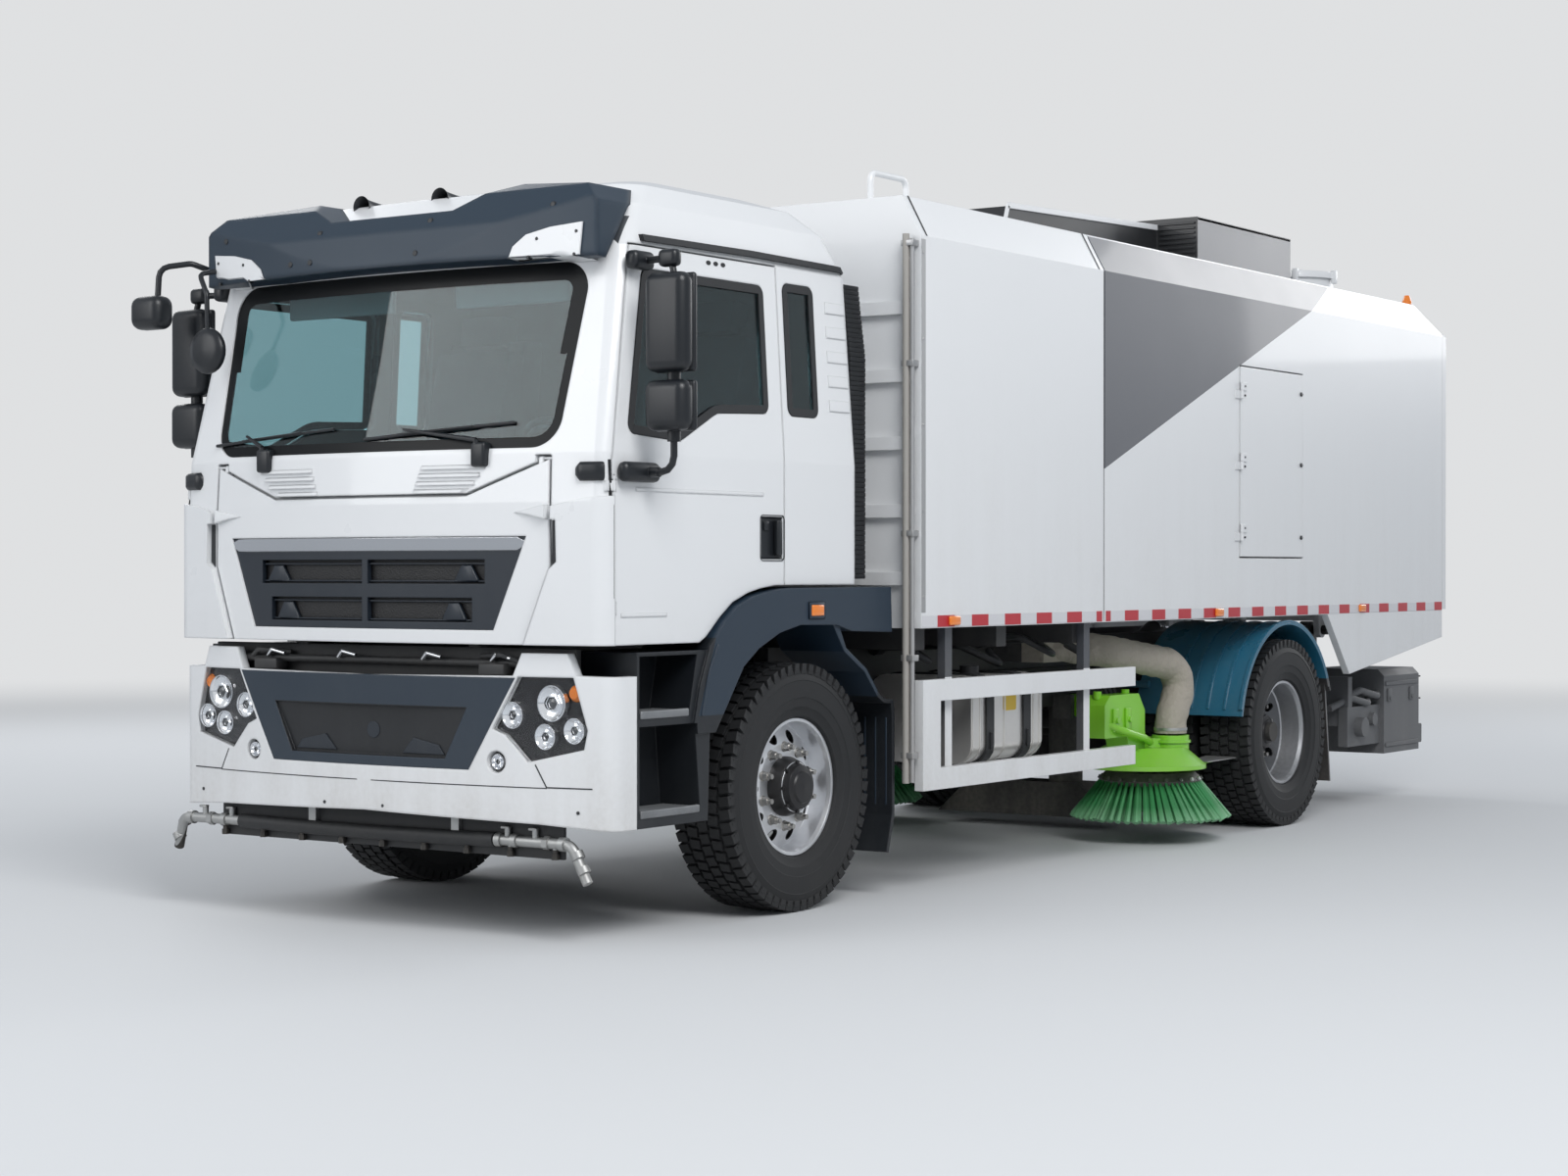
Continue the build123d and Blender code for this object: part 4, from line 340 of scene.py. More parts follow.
def finish_piece(form, name, body, material, smooth=35):
    """Make a finished form into a piece that rides on its body."""
    bmesh.ops.recalc_face_normals(form, faces=form.faces)
    mesh = bpy.data.meshes.new(name)
    form.to_mesh(mesh)
    form.free()
    mesh.polygons.foreach_set("use_smooth", [True] * len(mesh.polygons))
    mesh.set_sharp_from_angle(angle=math.radians(smooth))
    mesh.materials.append(material)
    piece = bpy.data.objects.new(name, mesh)
    bpy.context.scene.collection.objects.link(piece)
    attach(piece, body)
    return piece


def surface_of(*names):
    """A search tree over CAD nodes, to lay thin pieces on."""
    points, faces = [], []
    for name in names:
        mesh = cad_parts[name].data
        first = len(points)
        points += [vertex.co.copy() for vertex in mesh.vertices]
        faces += [[first + index for index in polygon.vertices] for polygon in mesh.polygons]
    return BVHTree.FromPolygons(points, faces)


def lay_on(verts, tree, inward, proud, back_off=0.3):
    """Drop points along one direction onto a surface and leave them slightly proud."""
    inward = Vector(inward)
    for vertex in verts:
        hit = tree.ray_cast(vertex.co - inward * back_off, inward, 2 * back_off)[0]
        if not hit:
            hit = tree.find_nearest(vertex.co)[0]
        vertex.co = hit - inward * proud


def edges_of(verts):
    """The edges that meet at some points."""
    return list({edge for vertex in verts for edge in vertex.link_edges})


def soften(form, geom, offset, segments, affect="VERTICES"):
    """Round off corners or edges."""
    return bmesh.ops.bevel(
        form, geom=geom, offset=offset, affect=affect, segments=segments, profile=0.5, material=-1
    )["verts"]


def add_block(form, low, high, bevel=0.0, segments=2):
    """A box between two corners with softened edges."""
    low, high = Vector(low), Vector(high)
    size = Vector([abs(value) for value in high - low])
    place = Matrix.Translation((low + high) / 2) @ Matrix.Diagonal((*size, 1))
    verts = bmesh.ops.create_cube(form, size=1, matrix=place)["verts"]
    if bevel:
        return soften(form, edges_of(verts), bevel, segments, "EDGES")
    return verts


def add_rod(form, start, end, radius, end_radius=None, sides=20):
    """A round bar or cone between two points."""
    start, end = Vector(start), Vector(end)
    turn = (end - start).to_track_quat("Z", "Y").to_matrix().to_4x4()
    return bmesh.ops.create_cone(
        form,
        cap_ends=True,
        segments=sides,
        radius1=radius,
        radius2=radius if end_radius is None else end_radius,
        depth=(end - start).length,
        matrix=Matrix.Translation((start + end) / 2) @ turn,
    )["verts"]


def thicken(form, faces, offset):
    """Raise flat faces into a solid along one vector."""
    raised = bmesh.ops.extrude_face_region(form, geom=faces)
    moved = [item for item in raised["geom"] if isinstance(item, bmesh.types.BMVert)]
    bmesh.ops.translate(form, verts=moved, vec=offset)
    return moved


def faces_of(verts):
    """The faces that meet at some points."""
    return list({face for vertex in verts for face in vertex.link_faces})


def front_points(side, back, *places):
    """Points at one distance behind the front plane, on one side."""
    return [(side * x, front_y + back, z) for x, z in places]


def side_points(x, *places):
    """Points at one distance from the middle, with their y from the front axle."""
    return [(x, axle_y + y, z) for y, z in places]


def add_ribbon(form, start, end, width, outward, steps=1):
    """A flat strip between two points that faces outward."""
    start, end, outward = Vector(start), Vector(end), Vector(outward).normalized()
    along = end - start
    across = outward.cross(along).normalized() * width
    facing = along.cross(across).normalized()
    place = Matrix((along, across, facing)).transposed().to_4x4()
    place.translation = (start + end) / 2
    return bmesh.ops.create_grid(form, x_segments=steps, y_segments=1, size=0.5, matrix=place)["verts"]


def add_path_strip(form, tree, points, width, inward, proud, height, steps=8):
    """Strips laid on a surface along a chain of points."""
    for start, end in zip(points, points[1:]):
        verts = add_ribbon(form, start, end, width, -Vector(inward), steps)
        lay_on(verts, tree, inward, proud)
        thicken(form, faces_of(verts), -Vector(inward) * height)


def frame_form(outline, corner, margin, width, tree, inward, proud, height):
    """A mitred frame with rounded corners inside an outline, laid on a surface and raised."""
    form = bmesh.new()
    corners = [form.verts.new(point) for point in outline]
    form.faces.new(corners)
    soften(form, corners, corner, 6)
    pane = list(form.faces)
    for thickness, keep in ((margin, False), (width, True)):
        border = bmesh.ops.inset_region(
            form, faces=pane, thickness=thickness, use_even_offset=True, use_boundary=True,
        )
        if not keep:
            bmesh.ops.delete(form, geom=border["faces"], context="FACES")
            pane = list(form.faces)
    bmesh.ops.delete(form, geom=pane, context="FACES")
    long_edges = [item for item in form.edges if item.calc_length() > 0.12]
    bmesh.ops.subdivide_edges(form, edges=long_edges, cuts=12, use_grid_fill=True)
    lay_on(form.verts, tree, inward, proud)
    thicken(form, list(form.faces), -Vector(inward) * height)
    return form


rubber = finish(
    "black_rubber", (0.009, 0.01, 0.012), 0.5, film_top=1.5, film_color=(0.08, 0.078, 0.074),
    grain=500.0,
)
front_y = -4.275
axle_y = front_y + 1.45
rear_axle_y = axle_y + 4.7
both_sides = ((1, "left"), (-1, "right"))
window = [(-1.195, 1.965), (-0.856, 1.944), (-0.6, 2.068), (-0.234, 2.082), (-0.234, 2.615), (-1.055, 2.615)]
quarter = [(-0.095, 2.08), (0.135, 2.08), (0.135, 2.64), (-0.095, 2.64)]
for side, name in both_sides:
    inward, beside = (-side, 0, 0), side * 1.2
    shell_surface = surface_of("cab_shell", f"door_{name}")
    pane_surface = surface_of("cab_glass", f"door_glass_{name}")
    for label, outline, body in (("door", window, f"door_{name}"), ("quarter", quarter, "cab")):
        seal = frame_form(
            side_points(beside, *outline), 0.04, 0.0025, 0.034, pane_surface, inward, 0.0, 0.0085,
        )
        finish_piece(seal, f"{label}_window_seal_{name}", body, rubber)
    rail = bmesh.new()
    route = side_points(beside, (-1.047, 2.733), (-0.3, 2.74), (0.42, 2.733))
    add_path_strip(rail, shell_surface, route, 0.026, inward, 0.0, 0.022, 12)
    finish_piece(rail, f"drip_rail_{name}", "cab", rubber)
    gap_strip = bmesh.new()
    route = front_points(side, 0.146, (1.2, 1.33), (1.2, 1.86))
    add_path_strip(gap_strip, shell_surface, route, 0.012, inward, 0.0, 0.002, 6)
    finish_piece(gap_strip, f"door_gap_strip_{name}", "cab", rubber)
    pressing = bmesh.new()
    lowest_rib_z, rib_pitch = 2.14, 0.105
    for row in range(5):
        z = lowest_rib_z + rib_pitch * row
        route = side_points(beside, (0.22, z), (0.38, z))
        add_path_strip(pressing, shell_surface, route, 0.05, inward, -0.001, 0.0045, 4)
    finish_piece(pressing, f"cab_side_ribs_{name}", "cab", cab_paint, 20)
    pressing = bmesh.new()
    for start, end, z in ((-1.24, -0.95, 1.265), (-1.147, -0.292, 1.75)):
        route = side_points(beside, (start, z), (end, z))
        add_path_strip(pressing, shell_surface, route, 0.016, inward, -0.0008, 0.004, 12)
    finish_piece(pressing, f"door_creases_{name}", f"door_{name}", cab_paint, 20)
    plugs = bmesh.new()
    plug_z, plug_flatness = 2.675, 0.6
    for y in (-0.61, -0.56, -0.51):
        wall = shell_surface.ray_cast(Vector((side * 1.5, axle_y + y, plug_z)), Vector(inward), 1)[0]
        add_rod(plugs, wall + Vector(inward) * 0.004, wall - Vector(inward) * 0.0025, 0.015, sides=16)
    for vertex in plugs.verts:
        vertex.co.z = plug_z + (vertex.co.z - plug_z) * plug_flatness
    finish_piece(plugs, f"door_plugs_{name}", f"door_{name}", rubber)
    # handle: a bezel round the pocket, a lining, an upright grip and a lock
    handle = frame_form(
        side_points(beside, (-0.314, 1.475), (-0.14, 1.475), (-0.14, 1.667), (-0.314, 1.667)),
        0.02, 0.001, 0.014, shell_surface, inward, 0.0, 0.004,
    )
    add_block(handle, (side * 1.1262, axle_y - 0.304, 1.485), (side * 1.1285, axle_y - 0.152, 1.657))
    add_block(handle, (side * 1.129, axle_y - 0.205, 1.497), (side * 1.156, axle_y - 0.168, 1.645), 0.009, 3)
    add_block(handle, (side * 1.128, axle_y - 0.275, 1.60), (side * 1.136, axle_y - 0.24, 1.64), 0.004)
    finish_piece(handle, f"door_handle_{name}", f"door_{name}", black_plastic)
    # cover at the mirror's foot that goes on round the cab's corner, split at the door's gap
    foot = bmesh.new()
    first_angle, angle_step = 29.6, 3.34
    foot_section = (
        (-0.037, 0.0), (-0.034, 0.016), (-0.022, 0.024), (0.022, 0.024), (0.034, 0.016), (0.037, 0.0),
    )
    last_ring = []
    for index in range(11):
        turned = math.radians(first_angle + angle_step * index)
        outward = Vector((side * math.cos(turned), -math.sin(turned), 0))
        start = Vector((side * 0.95, front_y + 0.22, 1.815)) + outward * 0.6
        wall = shell_surface.ray_cast(start, -outward, 0.6)[0]
        rounding = min(1.0, 0.45 + 0.3 * (10 - index))
        ring = [
            foot.verts.new(wall + outward * lift * rounding + Vector((0, 0, z * rounding))) for z,
            lift in foot_section
        ]
        if last_ring:
            for quad in zip(last_ring, last_ring[1:], ring[1:], ring):
                foot.faces.new(quad)
        else:
            foot.faces.new(ring)
        last_ring = ring
    foot.faces.new(last_ring)
    finish_piece(foot, f"mirror_foot_corner_{name}", "cab", black_plastic, 50)
    # pleated bellows along the cab's rear edge
    bellows = bmesh.new()
    pleat, low_z, high_z = 0.021, 1.40, 2.70
    count = int((high_z - low_z) / pleat)
    for index in range(count):
        z = low_z + index * pleat
        lean = max(0.0, z - 2.35) * 0.12
        swell = random.uniform(0, 0.001)
        add_block(
            bellows, (side * (1.0 - lean), axle_y + 0.43, z),
            (side * (1.1 - lean + swell), axle_y + 0.548 + swell, z + pleat * 1.02), 0.005,
        )
    finish_piece(bellows, f"cab_rear_bellows_{name}", "cab", rubber)

# Glass
# Laminated windscreen and tempered side panes, faintly green. A black printed border hides the
# bonding line of the windscreen, and is deeper along its top.


def clear_material(name, color, refraction, smears, detail, strength):
    """A clear shader with smears in its roughness."""
    material = bpy.data.materials.new(name)
    material.use_nodes = True
    tree = material.node_tree
    shader = tree.nodes["Principled BSDF"]
    set_inputs(shader, {"Base Color": (*color, 1), "Transmission Weight": 1.0, "IOR": refraction})
    position = tree.nodes.new("ShaderNodeTexCoord").outputs["Object"]
    tree.links.new((add_noise(tree, position, smears, detail) * strength).socket, shader.inputs["Roughness"])
    return material, tree, shader, position


glass, glass_tree, pane, position = clear_material("cab_glass", (0.44, 0.62, 0.65), 1.44, 2.0, 5, 0.03)
screen_print, print_in, print_out = new_group(
    "windscreen_print", (("Position", "Vector", (0, 0, 0)),), (("Border", "Float"),),
)
split_screen = screen_print.nodes.new("ShaderNodeSeparateXYZ")
screen_print.links.new(print_in.outputs[0], split_screen.inputs[0])
off_middle = abs(Field(screen_print, split_screen.outputs["X"]))
above_middle = Field(screen_print, split_screen.outputs["Z"]) - 2.275
half_width, half_height, side_rise, screen_corner = 0.925, 0.365, 0.055, 0.12
past_side = off_middle - above_middle * side_rise - (half_width + side_rise * half_height - screen_corner)
past_end = abs(above_middle) - (half_height - screen_corner)
beside, beyond = past_side | 0, past_end | 0
outside_by = (beside * beside + beyond * beyond).combine("SQRT") + ((past_side | past_end) & 0)
deeper_top = (above_middle > 0) * 0.03
in_border = (outside_by + deeper_top > screen_corner - 0.042) & (off_middle < 1.0)
screen_print.links.new(in_border.socket, print_out.inputs["Border"])
print_shader = glass_tree.nodes.new("ShaderNodeBsdfPrincipled")
print_look = {"Base Color": (0.006, 0.007, 0.008, 1), "Roughness": 0.3, "Specular IOR Level": 0.15}
set_inputs(print_shader, print_look)
printed = glass_tree.nodes.new("ShaderNodeGroup")
printed.node_tree = screen_print
glass_tree.links.new(position, printed.inputs[0])
mix_shaders(glass_tree, printed.outputs[0], pane.outputs[0], print_shader.outputs[0])
paint_nodes(glass, "cab_glass", "door_glass_left", "door_glass_right")

# Wipers
# Two wipers parked low on the glass: pivot covers that hang over the panel's edge, pressed
# steel arms and blades with a rubber lip.
wipers = bmesh.new()
wiper_surface = surface_of("cab_glass", "cab_shell")


def cast_front(tree, x, z):
    """The point that a look straight at the truck's front meets at x and z."""
    return tree.ray_cast(Vector((x, front_y - 0.3, z)), Vector((0, 1, 0)), 1)[0]


def add_pipe(form, line, radius, sides=14):
    """A tube around a chain of points, with one radius or one for each point."""
    radii = radius if isinstance(radius, list) else [radius] * len(line)
    heading = (line[1] - line[0]).normalized()
    turn = heading.to_track_quat("Z", "Y")
    last_edges = []
    for index, (point, ring_radius) in enumerate(zip(line, radii)):
        ahead = (line[min(index + 1, len(line) - 1)] - line[max(index - 1, 0)]).normalized()
        turn = heading.rotation_difference(ahead) @ turn
        heading = ahead
        ring = bmesh.ops.create_circle(
            form,
            cap_ends=index in (0, len(line) - 1),
            segments=sides,
            radius=ring_radius,
            matrix=Matrix.Translation(point) @ turn.to_matrix().to_4x4(),
        )["verts"]
        edges = edges_of(ring)
        if last_edges:
            bmesh.ops.bridge_loops(form, edges=last_edges + edges)
        last_edges = edges


def on_screen(x, z, proud):
    """The point of the windscreen or the panel below it at x and z, a little proud."""
    return cast_front(wiper_surface, x, z) - Vector((0, proud, 0))


for pivot_x, tip_x, mid_x in ((-0.585, -0.93, -0.5), (0.585, -0.02, 0.42)):
    foot = on_screen(pivot_x, 1.875, 0.0)
    add_block(
        wipers, (pivot_x - 0.036, foot.y - 0.026, 1.84), (pivot_x + 0.036, foot.y + 0.03, 1.935), 0.012, 3,
    )
    elbow = on_screen(pivot_x - 0.015, 1.945, 0.03)
    middle = on_screen((mid_x + tip_x) / 2, 1.995, 0.028)
    add_rod(wipers, elbow - Vector((0, 0, 0.05)), elbow, 0.013, 0.012, 12)
    add_rod(wipers, elbow, middle, 0.01, 0.006, 10)
    ends = [
        on_screen(tip_x + (mid_x + 0.3 - tip_x) * part / 8, 1.962 + 0.006 * part, 0.008) for part in range(9)
    ]
    add_pipe(wipers, ends, 0.007, 8)
    ends = [point + Vector((0, -0.012, 0.002)) for point in ends[2:7]]
    add_pipe(wipers, ends, 0.005, 8)
finish_piece(wipers, "wipers", "cab", black_plastic)

# Cab inside
# A moulded grey dashboard and a trimmed rear wall, and two sprung seats with sewn cloth
# cushions, head rests and belts, all seen through the glass.
trim = finish("cabin_trim", (0.04, 0.046, 0.054), 0.75, film=0.0, grain=300.0, depth=0.0006, edge=0.02)
paint_nodes(trim, "cab_interior")
cloth = finish("seat_cloth", (0.035, 0.04, 0.05), 0.9, film=0.0, grain=900.0, depth=0.0008, edge=0.01)
for side, name in both_sides:
    for label, middle, size, lean, fill in (
        ("cushion", (side * 0.645, axle_y - 0.32, 1.85), (0.5, 0.52, 0.15), 0.06, 0.8),
        ("backrest", (side * 0.645, axle_y - 0.035, 2.16), (0.5, 0.15, 0.62), -0.2, 0.8),
        ("head_rest", (side * 0.645, axle_y + 0.06, 2.52), (0.28, 0.13, 0.16), -0.15, 0.9),
    ):
        pad = bmesh.new()
        bmesh.ops.create_cube(pad, size=1)
        bmesh.ops.subdivide_edges(pad, edges=list(pad.edges), cuts=5, use_grid_fill=True)
        for vertex in pad.verts:
            reach = vertex.co.copy()
            crown = (1 - abs(2 * reach.x) ** 4) * (1 - abs(2 * reach.y) ** 4) * (1 - abs(2 * reach.z) ** 4)
            pulled = 0.93 + 0.07 * min(1.0, abs(abs(reach.x) - 0.33) * 12)
            vertex.co = Vector((reach.x, reach.y * pulled, reach.z * pulled)) * (0.9 + 0.1 * crown)
        bmesh.ops.smooth_vert(
            pad, verts=pad.verts, factor=0.5, use_axis_x=True, use_axis_y=True, use_axis_z=True,
        )
        place = Matrix.Translation(middle) @ Matrix.Rotation(lean, 4, "X") @ Matrix.Diagonal((*size, 1))
        bmesh.ops.transform(pad, matrix=place, verts=pad.verts)
        piece = finish_piece(pad, f"seat_{label}_{name}", "cab", cloth, 60)
sun_visors = bmesh.new()
for visor_x in (-0.47, 0.47):
    add_block(
        sun_visors, (visor_x - 0.3, front_y + 0.36, 2.5), (visor_x + 0.3, front_y + 0.385, 2.63), 0.01, 3,
    )
visor_cloth = finish("sun_visor_cloth", (0.36, 0.37, 0.38), 0.85, film=0.0, grain=600.0, depth=0.0004)
finish_piece(sun_visors, "sun_visors", "cab", visor_cloth)


def circle(count, radius, shift=0.0):
    """Pairs spaced evenly round a circle."""
    turns = [2 * math.pi * (index + shift) / count for index in range(count)]
    return [(radius * math.cos(turn), radius * math.sin(turn)) for turn in turns]


steering = bmesh.new()
hub = Vector((0.62, front_y + 0.165 + 0.42, 1.896))
tilt = Vector((0, 0.55, 0.83)).to_track_quat("Z", "Y").to_matrix().to_4x4()
rim_line = [hub + tilt @ Vector((*pair, 0.022)) for pair in circle(40, 0.222)]
add_pipe(steering, rim_line + rim_line[:1], 0.017, 12)
finish_piece(steering, "steering_wheel_rim", "cab", rubber, 60)

# Roof visor
# A moulded sun visor in slate plastic over the windscreen, screwed through a row of points, with
# a white blanking cover at each lower corner where a lamp could go. Two horns stand behind it.
visor_plastic = finish(
    "visor_plastic", (0.013, 0.028, 0.047), 0.42, film=0.12, film_top=3.4, film_color=(0.1, 0.105, 0.11),
    grain=700.0, depth=0.00012, edge=0.03,
)
paint_nodes(visor_plastic, "roof_visor")
visor_surface = surface_of("roof_visor", "cab_shell")
cover_paint = finish(
    "cover_white", (0.76, 0.77, 0.78), 0.3, coat=0.3, film=0.2, film_top=3.2, grain=60.0, edge=0.004,
)
cover_outline = [(0.66, 2.632), (0.985, 2.636), (1.0, 2.775), (0.86, 2.762), (0.75, 2.738), (0.69, 2.695)]
covers = bmesh.new()
for side in (1, -1):
    corners = [covers.verts.new(point) for point in front_points(side, 0.1, *cover_outline)]
    bmesh.ops.triangulate(covers, faces=[covers.faces.new(corners)])
    bmesh.ops.subdivide_edges(covers, edges=list(covers.edges), cuts=2, use_grid_fill=True)
lay_on(covers.verts, visor_surface, (0, 1, 0), 0.002)
thicken(covers, list(covers.faces), (0, -0.008, 0))
finish_piece(covers, "visor_covers", "cab", cover_paint)
bolts = bmesh.new()
visor_bolt_places = [
    (-0.93, 2.83), (-0.36, 2.82), (-0.38, 2.7), (0.24, 2.83), (0.2, 2.7), (0.86, 2.85), (-0.5, 2.7),
]
cover_screws = [
    (side * x, z) for side in (1, -1) for x, z in ((0.76, 2.65), (0.965, 2.652), (0.975, 2.74), (0.8, 2.72))
]
for radius, proud, places in ((0.014, 0.004, visor_bolt_places), (0.008, 0.012, cover_screws)):
    for x, z in places:
        foot = cast_front(visor_surface, x, z)
        if foot:
            add_rod(
                bolts, foot + Vector((0, 0.01, 0)), foot - Vector((0, proud, 0)), radius, radius * 0.8, 12,
            )
finish_piece(bolts, "visor_bolts", "cab", black_plastic)


def add_spun(form, profile, centre, steps=72, axis=(1, 0, 0)):
    """A profile of (along, radius) points turned about a wheel's axle or an upright shaft."""
    centre, axis = Vector(centre), Vector(axis)
    outward = Vector((0, 0, 1)) if axis.x else Vector((1, 0, 0))
    chain = [form.verts.new(centre + axis * along + outward * radius) for along, radius in profile]
    edges = [form.edges.new(pair) for pair in zip(chain, chain[1:])]
    bmesh.ops.spin(
        form, geom=chain + edges, cent=centre, axis=axis, angle=2 * math.pi, steps=steps, use_merge=True,
    )


horns = bmesh.new()
for horn_x in (-0.41, 0.03):
    bell = [(step * 0.02, 0.046 - 0.026 * (step / 8) ** 0.5) for step in range(9)]
    bell += [(0.2, 0.018), (0.36, 0.017), (0.36, 0.0), (0.3, 0.0)]
    add_spun(horns, bell, (horn_x, axle_y - 1.03, 2.968), 24, (0, 1, 0))
    add_block(horns, (horn_x - 0.03, axle_y - 0.84, 2.92), (horn_x + 0.03, axle_y - 0.76, 2.968), 0.006)
finish_piece(horns, "roof_horns", "cab", black_plastic, 60)
roof_surface = surface_of("cab_shell")
creases = bmesh.new()
for x in (-0.62, -0.31, 0.0, 0.31, 0.62):
    route = side_points(x, (-0.55, 3.1), (0.3, 3.1))
    add_path_strip(creases, roof_surface, route, 0.05, (0, 0, -1), -0.001, 0.006, 8)
finish_piece(creases, "roof_stiffeners", "cab", cab_paint)

# Mirrors
# Moulded mirror cases on bent steel arms: a tall main glass and a wide one below it on each
# door and a kerb mirror on the right one, with a round front mirror on a curved arm on the cab.


def follow(points, bend, step=0.03):
    """Points along straight runs whose corners are rounded."""
    points = [Vector(point) for point in points]
    line = [points[0]]
    for before, corner, after in zip(points, points[1:], points[2:]):
        way_in, way_out = (corner - before).normalized(), (after - corner).normalized()
        angle = way_in.angle(way_out)
        cut = bend * math.tan(angle / 2)
        across = (way_out - way_in * way_in.dot(way_out)).normalized()
        centre = corner - way_in * cut + across * bend
        count = max(3, int(angle * bend / step))
        for index in range(count + 1):
            turned = angle * index / count
            line.append(centre + (way_in * math.sin(turned) - across * math.cos(turned)) * bend)
    line.append(points[-1])
    return line


def add_plate(form, outline, raise_by, corner=0.0):
    """A flat outline of points raised into a plate, its corners rounded first."""
    before = set(form.faces)
    corners = [form.verts.new(point) for point in outline]
    form.faces.new(corners)
    if corner:
        soften(form, corners, corner, 4)
    thicken(form, [face for face in form.faces if face not in before], raise_by)


mirror_glass = finish(
    "mirror_glass", (0.8, 0.82, 0.84), 0.03, metallic=1.0, film=0.1, film_top=3.0, grain=900.0,
)
mirror_x, mirror_y = 1.305, axle_y - 1.14
for side, name in both_sides:
    mirrors = bmesh.new()
    post_x, post_y, half_x = side * mirror_x, mirror_y + 0.02, 0.098
    for low_z, high_z, half_y in ((2.195, 2.575, 0.056), (1.97, 2.165, 0.058)):
        for front, back, bevel, segments in ((-1, 0.6, 0.04, 5), (0.3, 0.8, 0.014, 3)):
            low = (post_x - half_x, mirror_y + half_y * front, low_z)
            high = (post_x + half_x, mirror_y + half_y * back, high_z)
            add_block(mirrors, low, high, bevel, segments)
    arm = [
        (side * 1.1, mirror_y + 0.06, 2.635), (post_x, post_y, 2.635), (post_x, post_y, 1.815),
        (side * 1.16, post_y, 1.815),
    ]
    add_pipe(mirrors, follow(arm, 0.06), 0.014, 12)
    add_block(mirrors, (side * 1.097, mirror_y - 0.03, 2.6), (side * 1.16, mirror_y + 0.1, 2.672), 0.022, 3)
    add_block(mirrors, (side * 1.24, post_y - 0.026, 2.6), (side * 1.33, post_y + 0.026, 2.668), 0.02, 3)
    for low_z, high_z in ((2.165, 2.2), (1.93, 1.975)):
        add_rod(mirrors, (post_x, post_y, low_z), (post_x, post_y, high_z), 0.026)
    add_block(
        mirrors, (side * 1.1405, mirror_y - 0.134, 1.776), (side * 1.195, mirror_y + 0.094, 1.854), 0.026, 4,
    )
    add_rod(mirrors, (side * 1.19, post_y, 1.815), (side * 1.235, post_y, 1.815), 0.02)
    piece = finish_piece(mirrors, f"mirror_cases_{name}", f"door_{name}", black_plastic, 50)
    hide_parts(f"mirrors_{name}")
    panes = bmesh.new()
    back, low_x, high_x = mirror_y + 0.0462, post_x - 0.08, post_x + 0.08
    for low_z, high_z in ((2.215, 2.555), (1.99, 2.145)):
        outline = [(low_x, back, low_z), (high_x, back, low_z), (high_x, back, high_z), (low_x, back, high_z)]
        add_plate(panes, outline, (0, 0.002, 0), 0.025)
    finish_piece(panes, f"mirror_panes_{name}", f"door_{name}", mirror_glass)
kerb = bmesh.new()
kerb_arm = [(-1.1, axle_y - 1.1, 2.7)] + front_points(-1, 0.2, (1.2, 2.76))
kerb_arm += front_points(-1, 0.11, (1.3, 2.74)) + front_points(-1, 0.1, (1.3, 2.6))
add_pipe(kerb, follow(kerb_arm, 0.05), 0.013, 12)
add_block(kerb, (-1.395, front_y + 0.012, 2.47), (-1.215, front_y + 0.13, 2.615), 0.045, 5)
finish_piece(kerb, "kerb_mirror", "door_right", black_plastic, 50)
round_mirror = bmesh.new()
front_arm = [(-1.0, axle_y - 1.24, 2.72)] + front_points(-1, 0.06, (1.0, 2.69))
front_arm += front_points(-1, 0.035, (0.93, 2.6)) + front_points(-1, 0.04, (0.93, 2.42))
add_pipe(round_mirror, follow(front_arm, 0.04), 0.011, 12)
round_case = [(0.0, 0.0), (0.002, 0.06), (0.014, 0.092), (0.03, 0.098), (0.042, 0.094), (0.042, 0.0)]
add_spun(round_mirror, round_case, (-0.93, front_y + 0.012, 2.36), 32, (0, 1, 0))
finish_piece(round_mirror, "round_front_mirror", "cab", black_plastic, 50)

# Front flap
# The steel lid over the radiator with its pressed louvres, a ledge at each side, a bright strip
# and the moulded grille, whose openings are closed by a fine black mesh.
grille_plastic = finish(
    "grille_plastic", (0.008, 0.014, 0.023), 0.38, film=0.2, film_top=2.2, film_color=(0.08, 0.08, 0.08),
    grain=700.0, depth=0.0002, edge=0.006,
)
paint_nodes(grille_plastic, "grille")


front_radius = 5.825


def front_sag(x):
    """How far the curved front lies behind its middle at x."""
    return front_radius - math.sqrt(front_radius**2 - x**2)


shell_front = surface_of("cab_shell", "front_flap")
low_louvre_z, louvre_pitch = 1.748, 0.031
louvres = bmesh.new()
for side in (1, -1):
    for row in range(4):
        z = low_louvre_z + louvre_pitch * row
        inner, outer = 0.262 + 0.012 * row, 0.535 + 0.024 * row
        verts = add_ribbon(
            louvres, (side * inner, front_y, z), (side * outer, front_y, z), 0.018, (0, -1, 0), 8,
        )
        lay_on(verts, shell_front, (0, 1, 0), 0.0)
        moved = thicken(louvres, faces_of(verts), (0, -0.011, 0))
        for vertex in moved:
            if vertex.co.z > z:
                vertex.co.y += 0.0105
            vertex.co.y = max(vertex.co.y, front_y + 0.0002)
finish_piece(louvres, "front_louvres", "cab", cab_paint, 20)
ledge_end_x = 0.897
ledges = bmesh.new()
for side in (1, -1):
    outline = front_points(
        side, -0.1, (0.742, 1.66), (0.82, 1.676), (0.897, 1.69), (0.897, 1.634), (0.82, 1.65),
    )
    faces = [ledges.faces.new([ledges.verts.new(point) for point in outline])]
    faces = bmesh.ops.triangulate(ledges, faces=faces)["faces"]
    verts = list({vertex for face in faces for vertex in face.verts})
    lay_on(verts, shell_front, (0, 1, 0), 0.0)
    moved = thicken(ledges, faces, (0, -0.024, 0))
    for vertex in moved:
        vertex.co.y += 0.0235 * (ledge_end_x - abs(vertex.co.x)) / (ledge_end_x - 0.742)
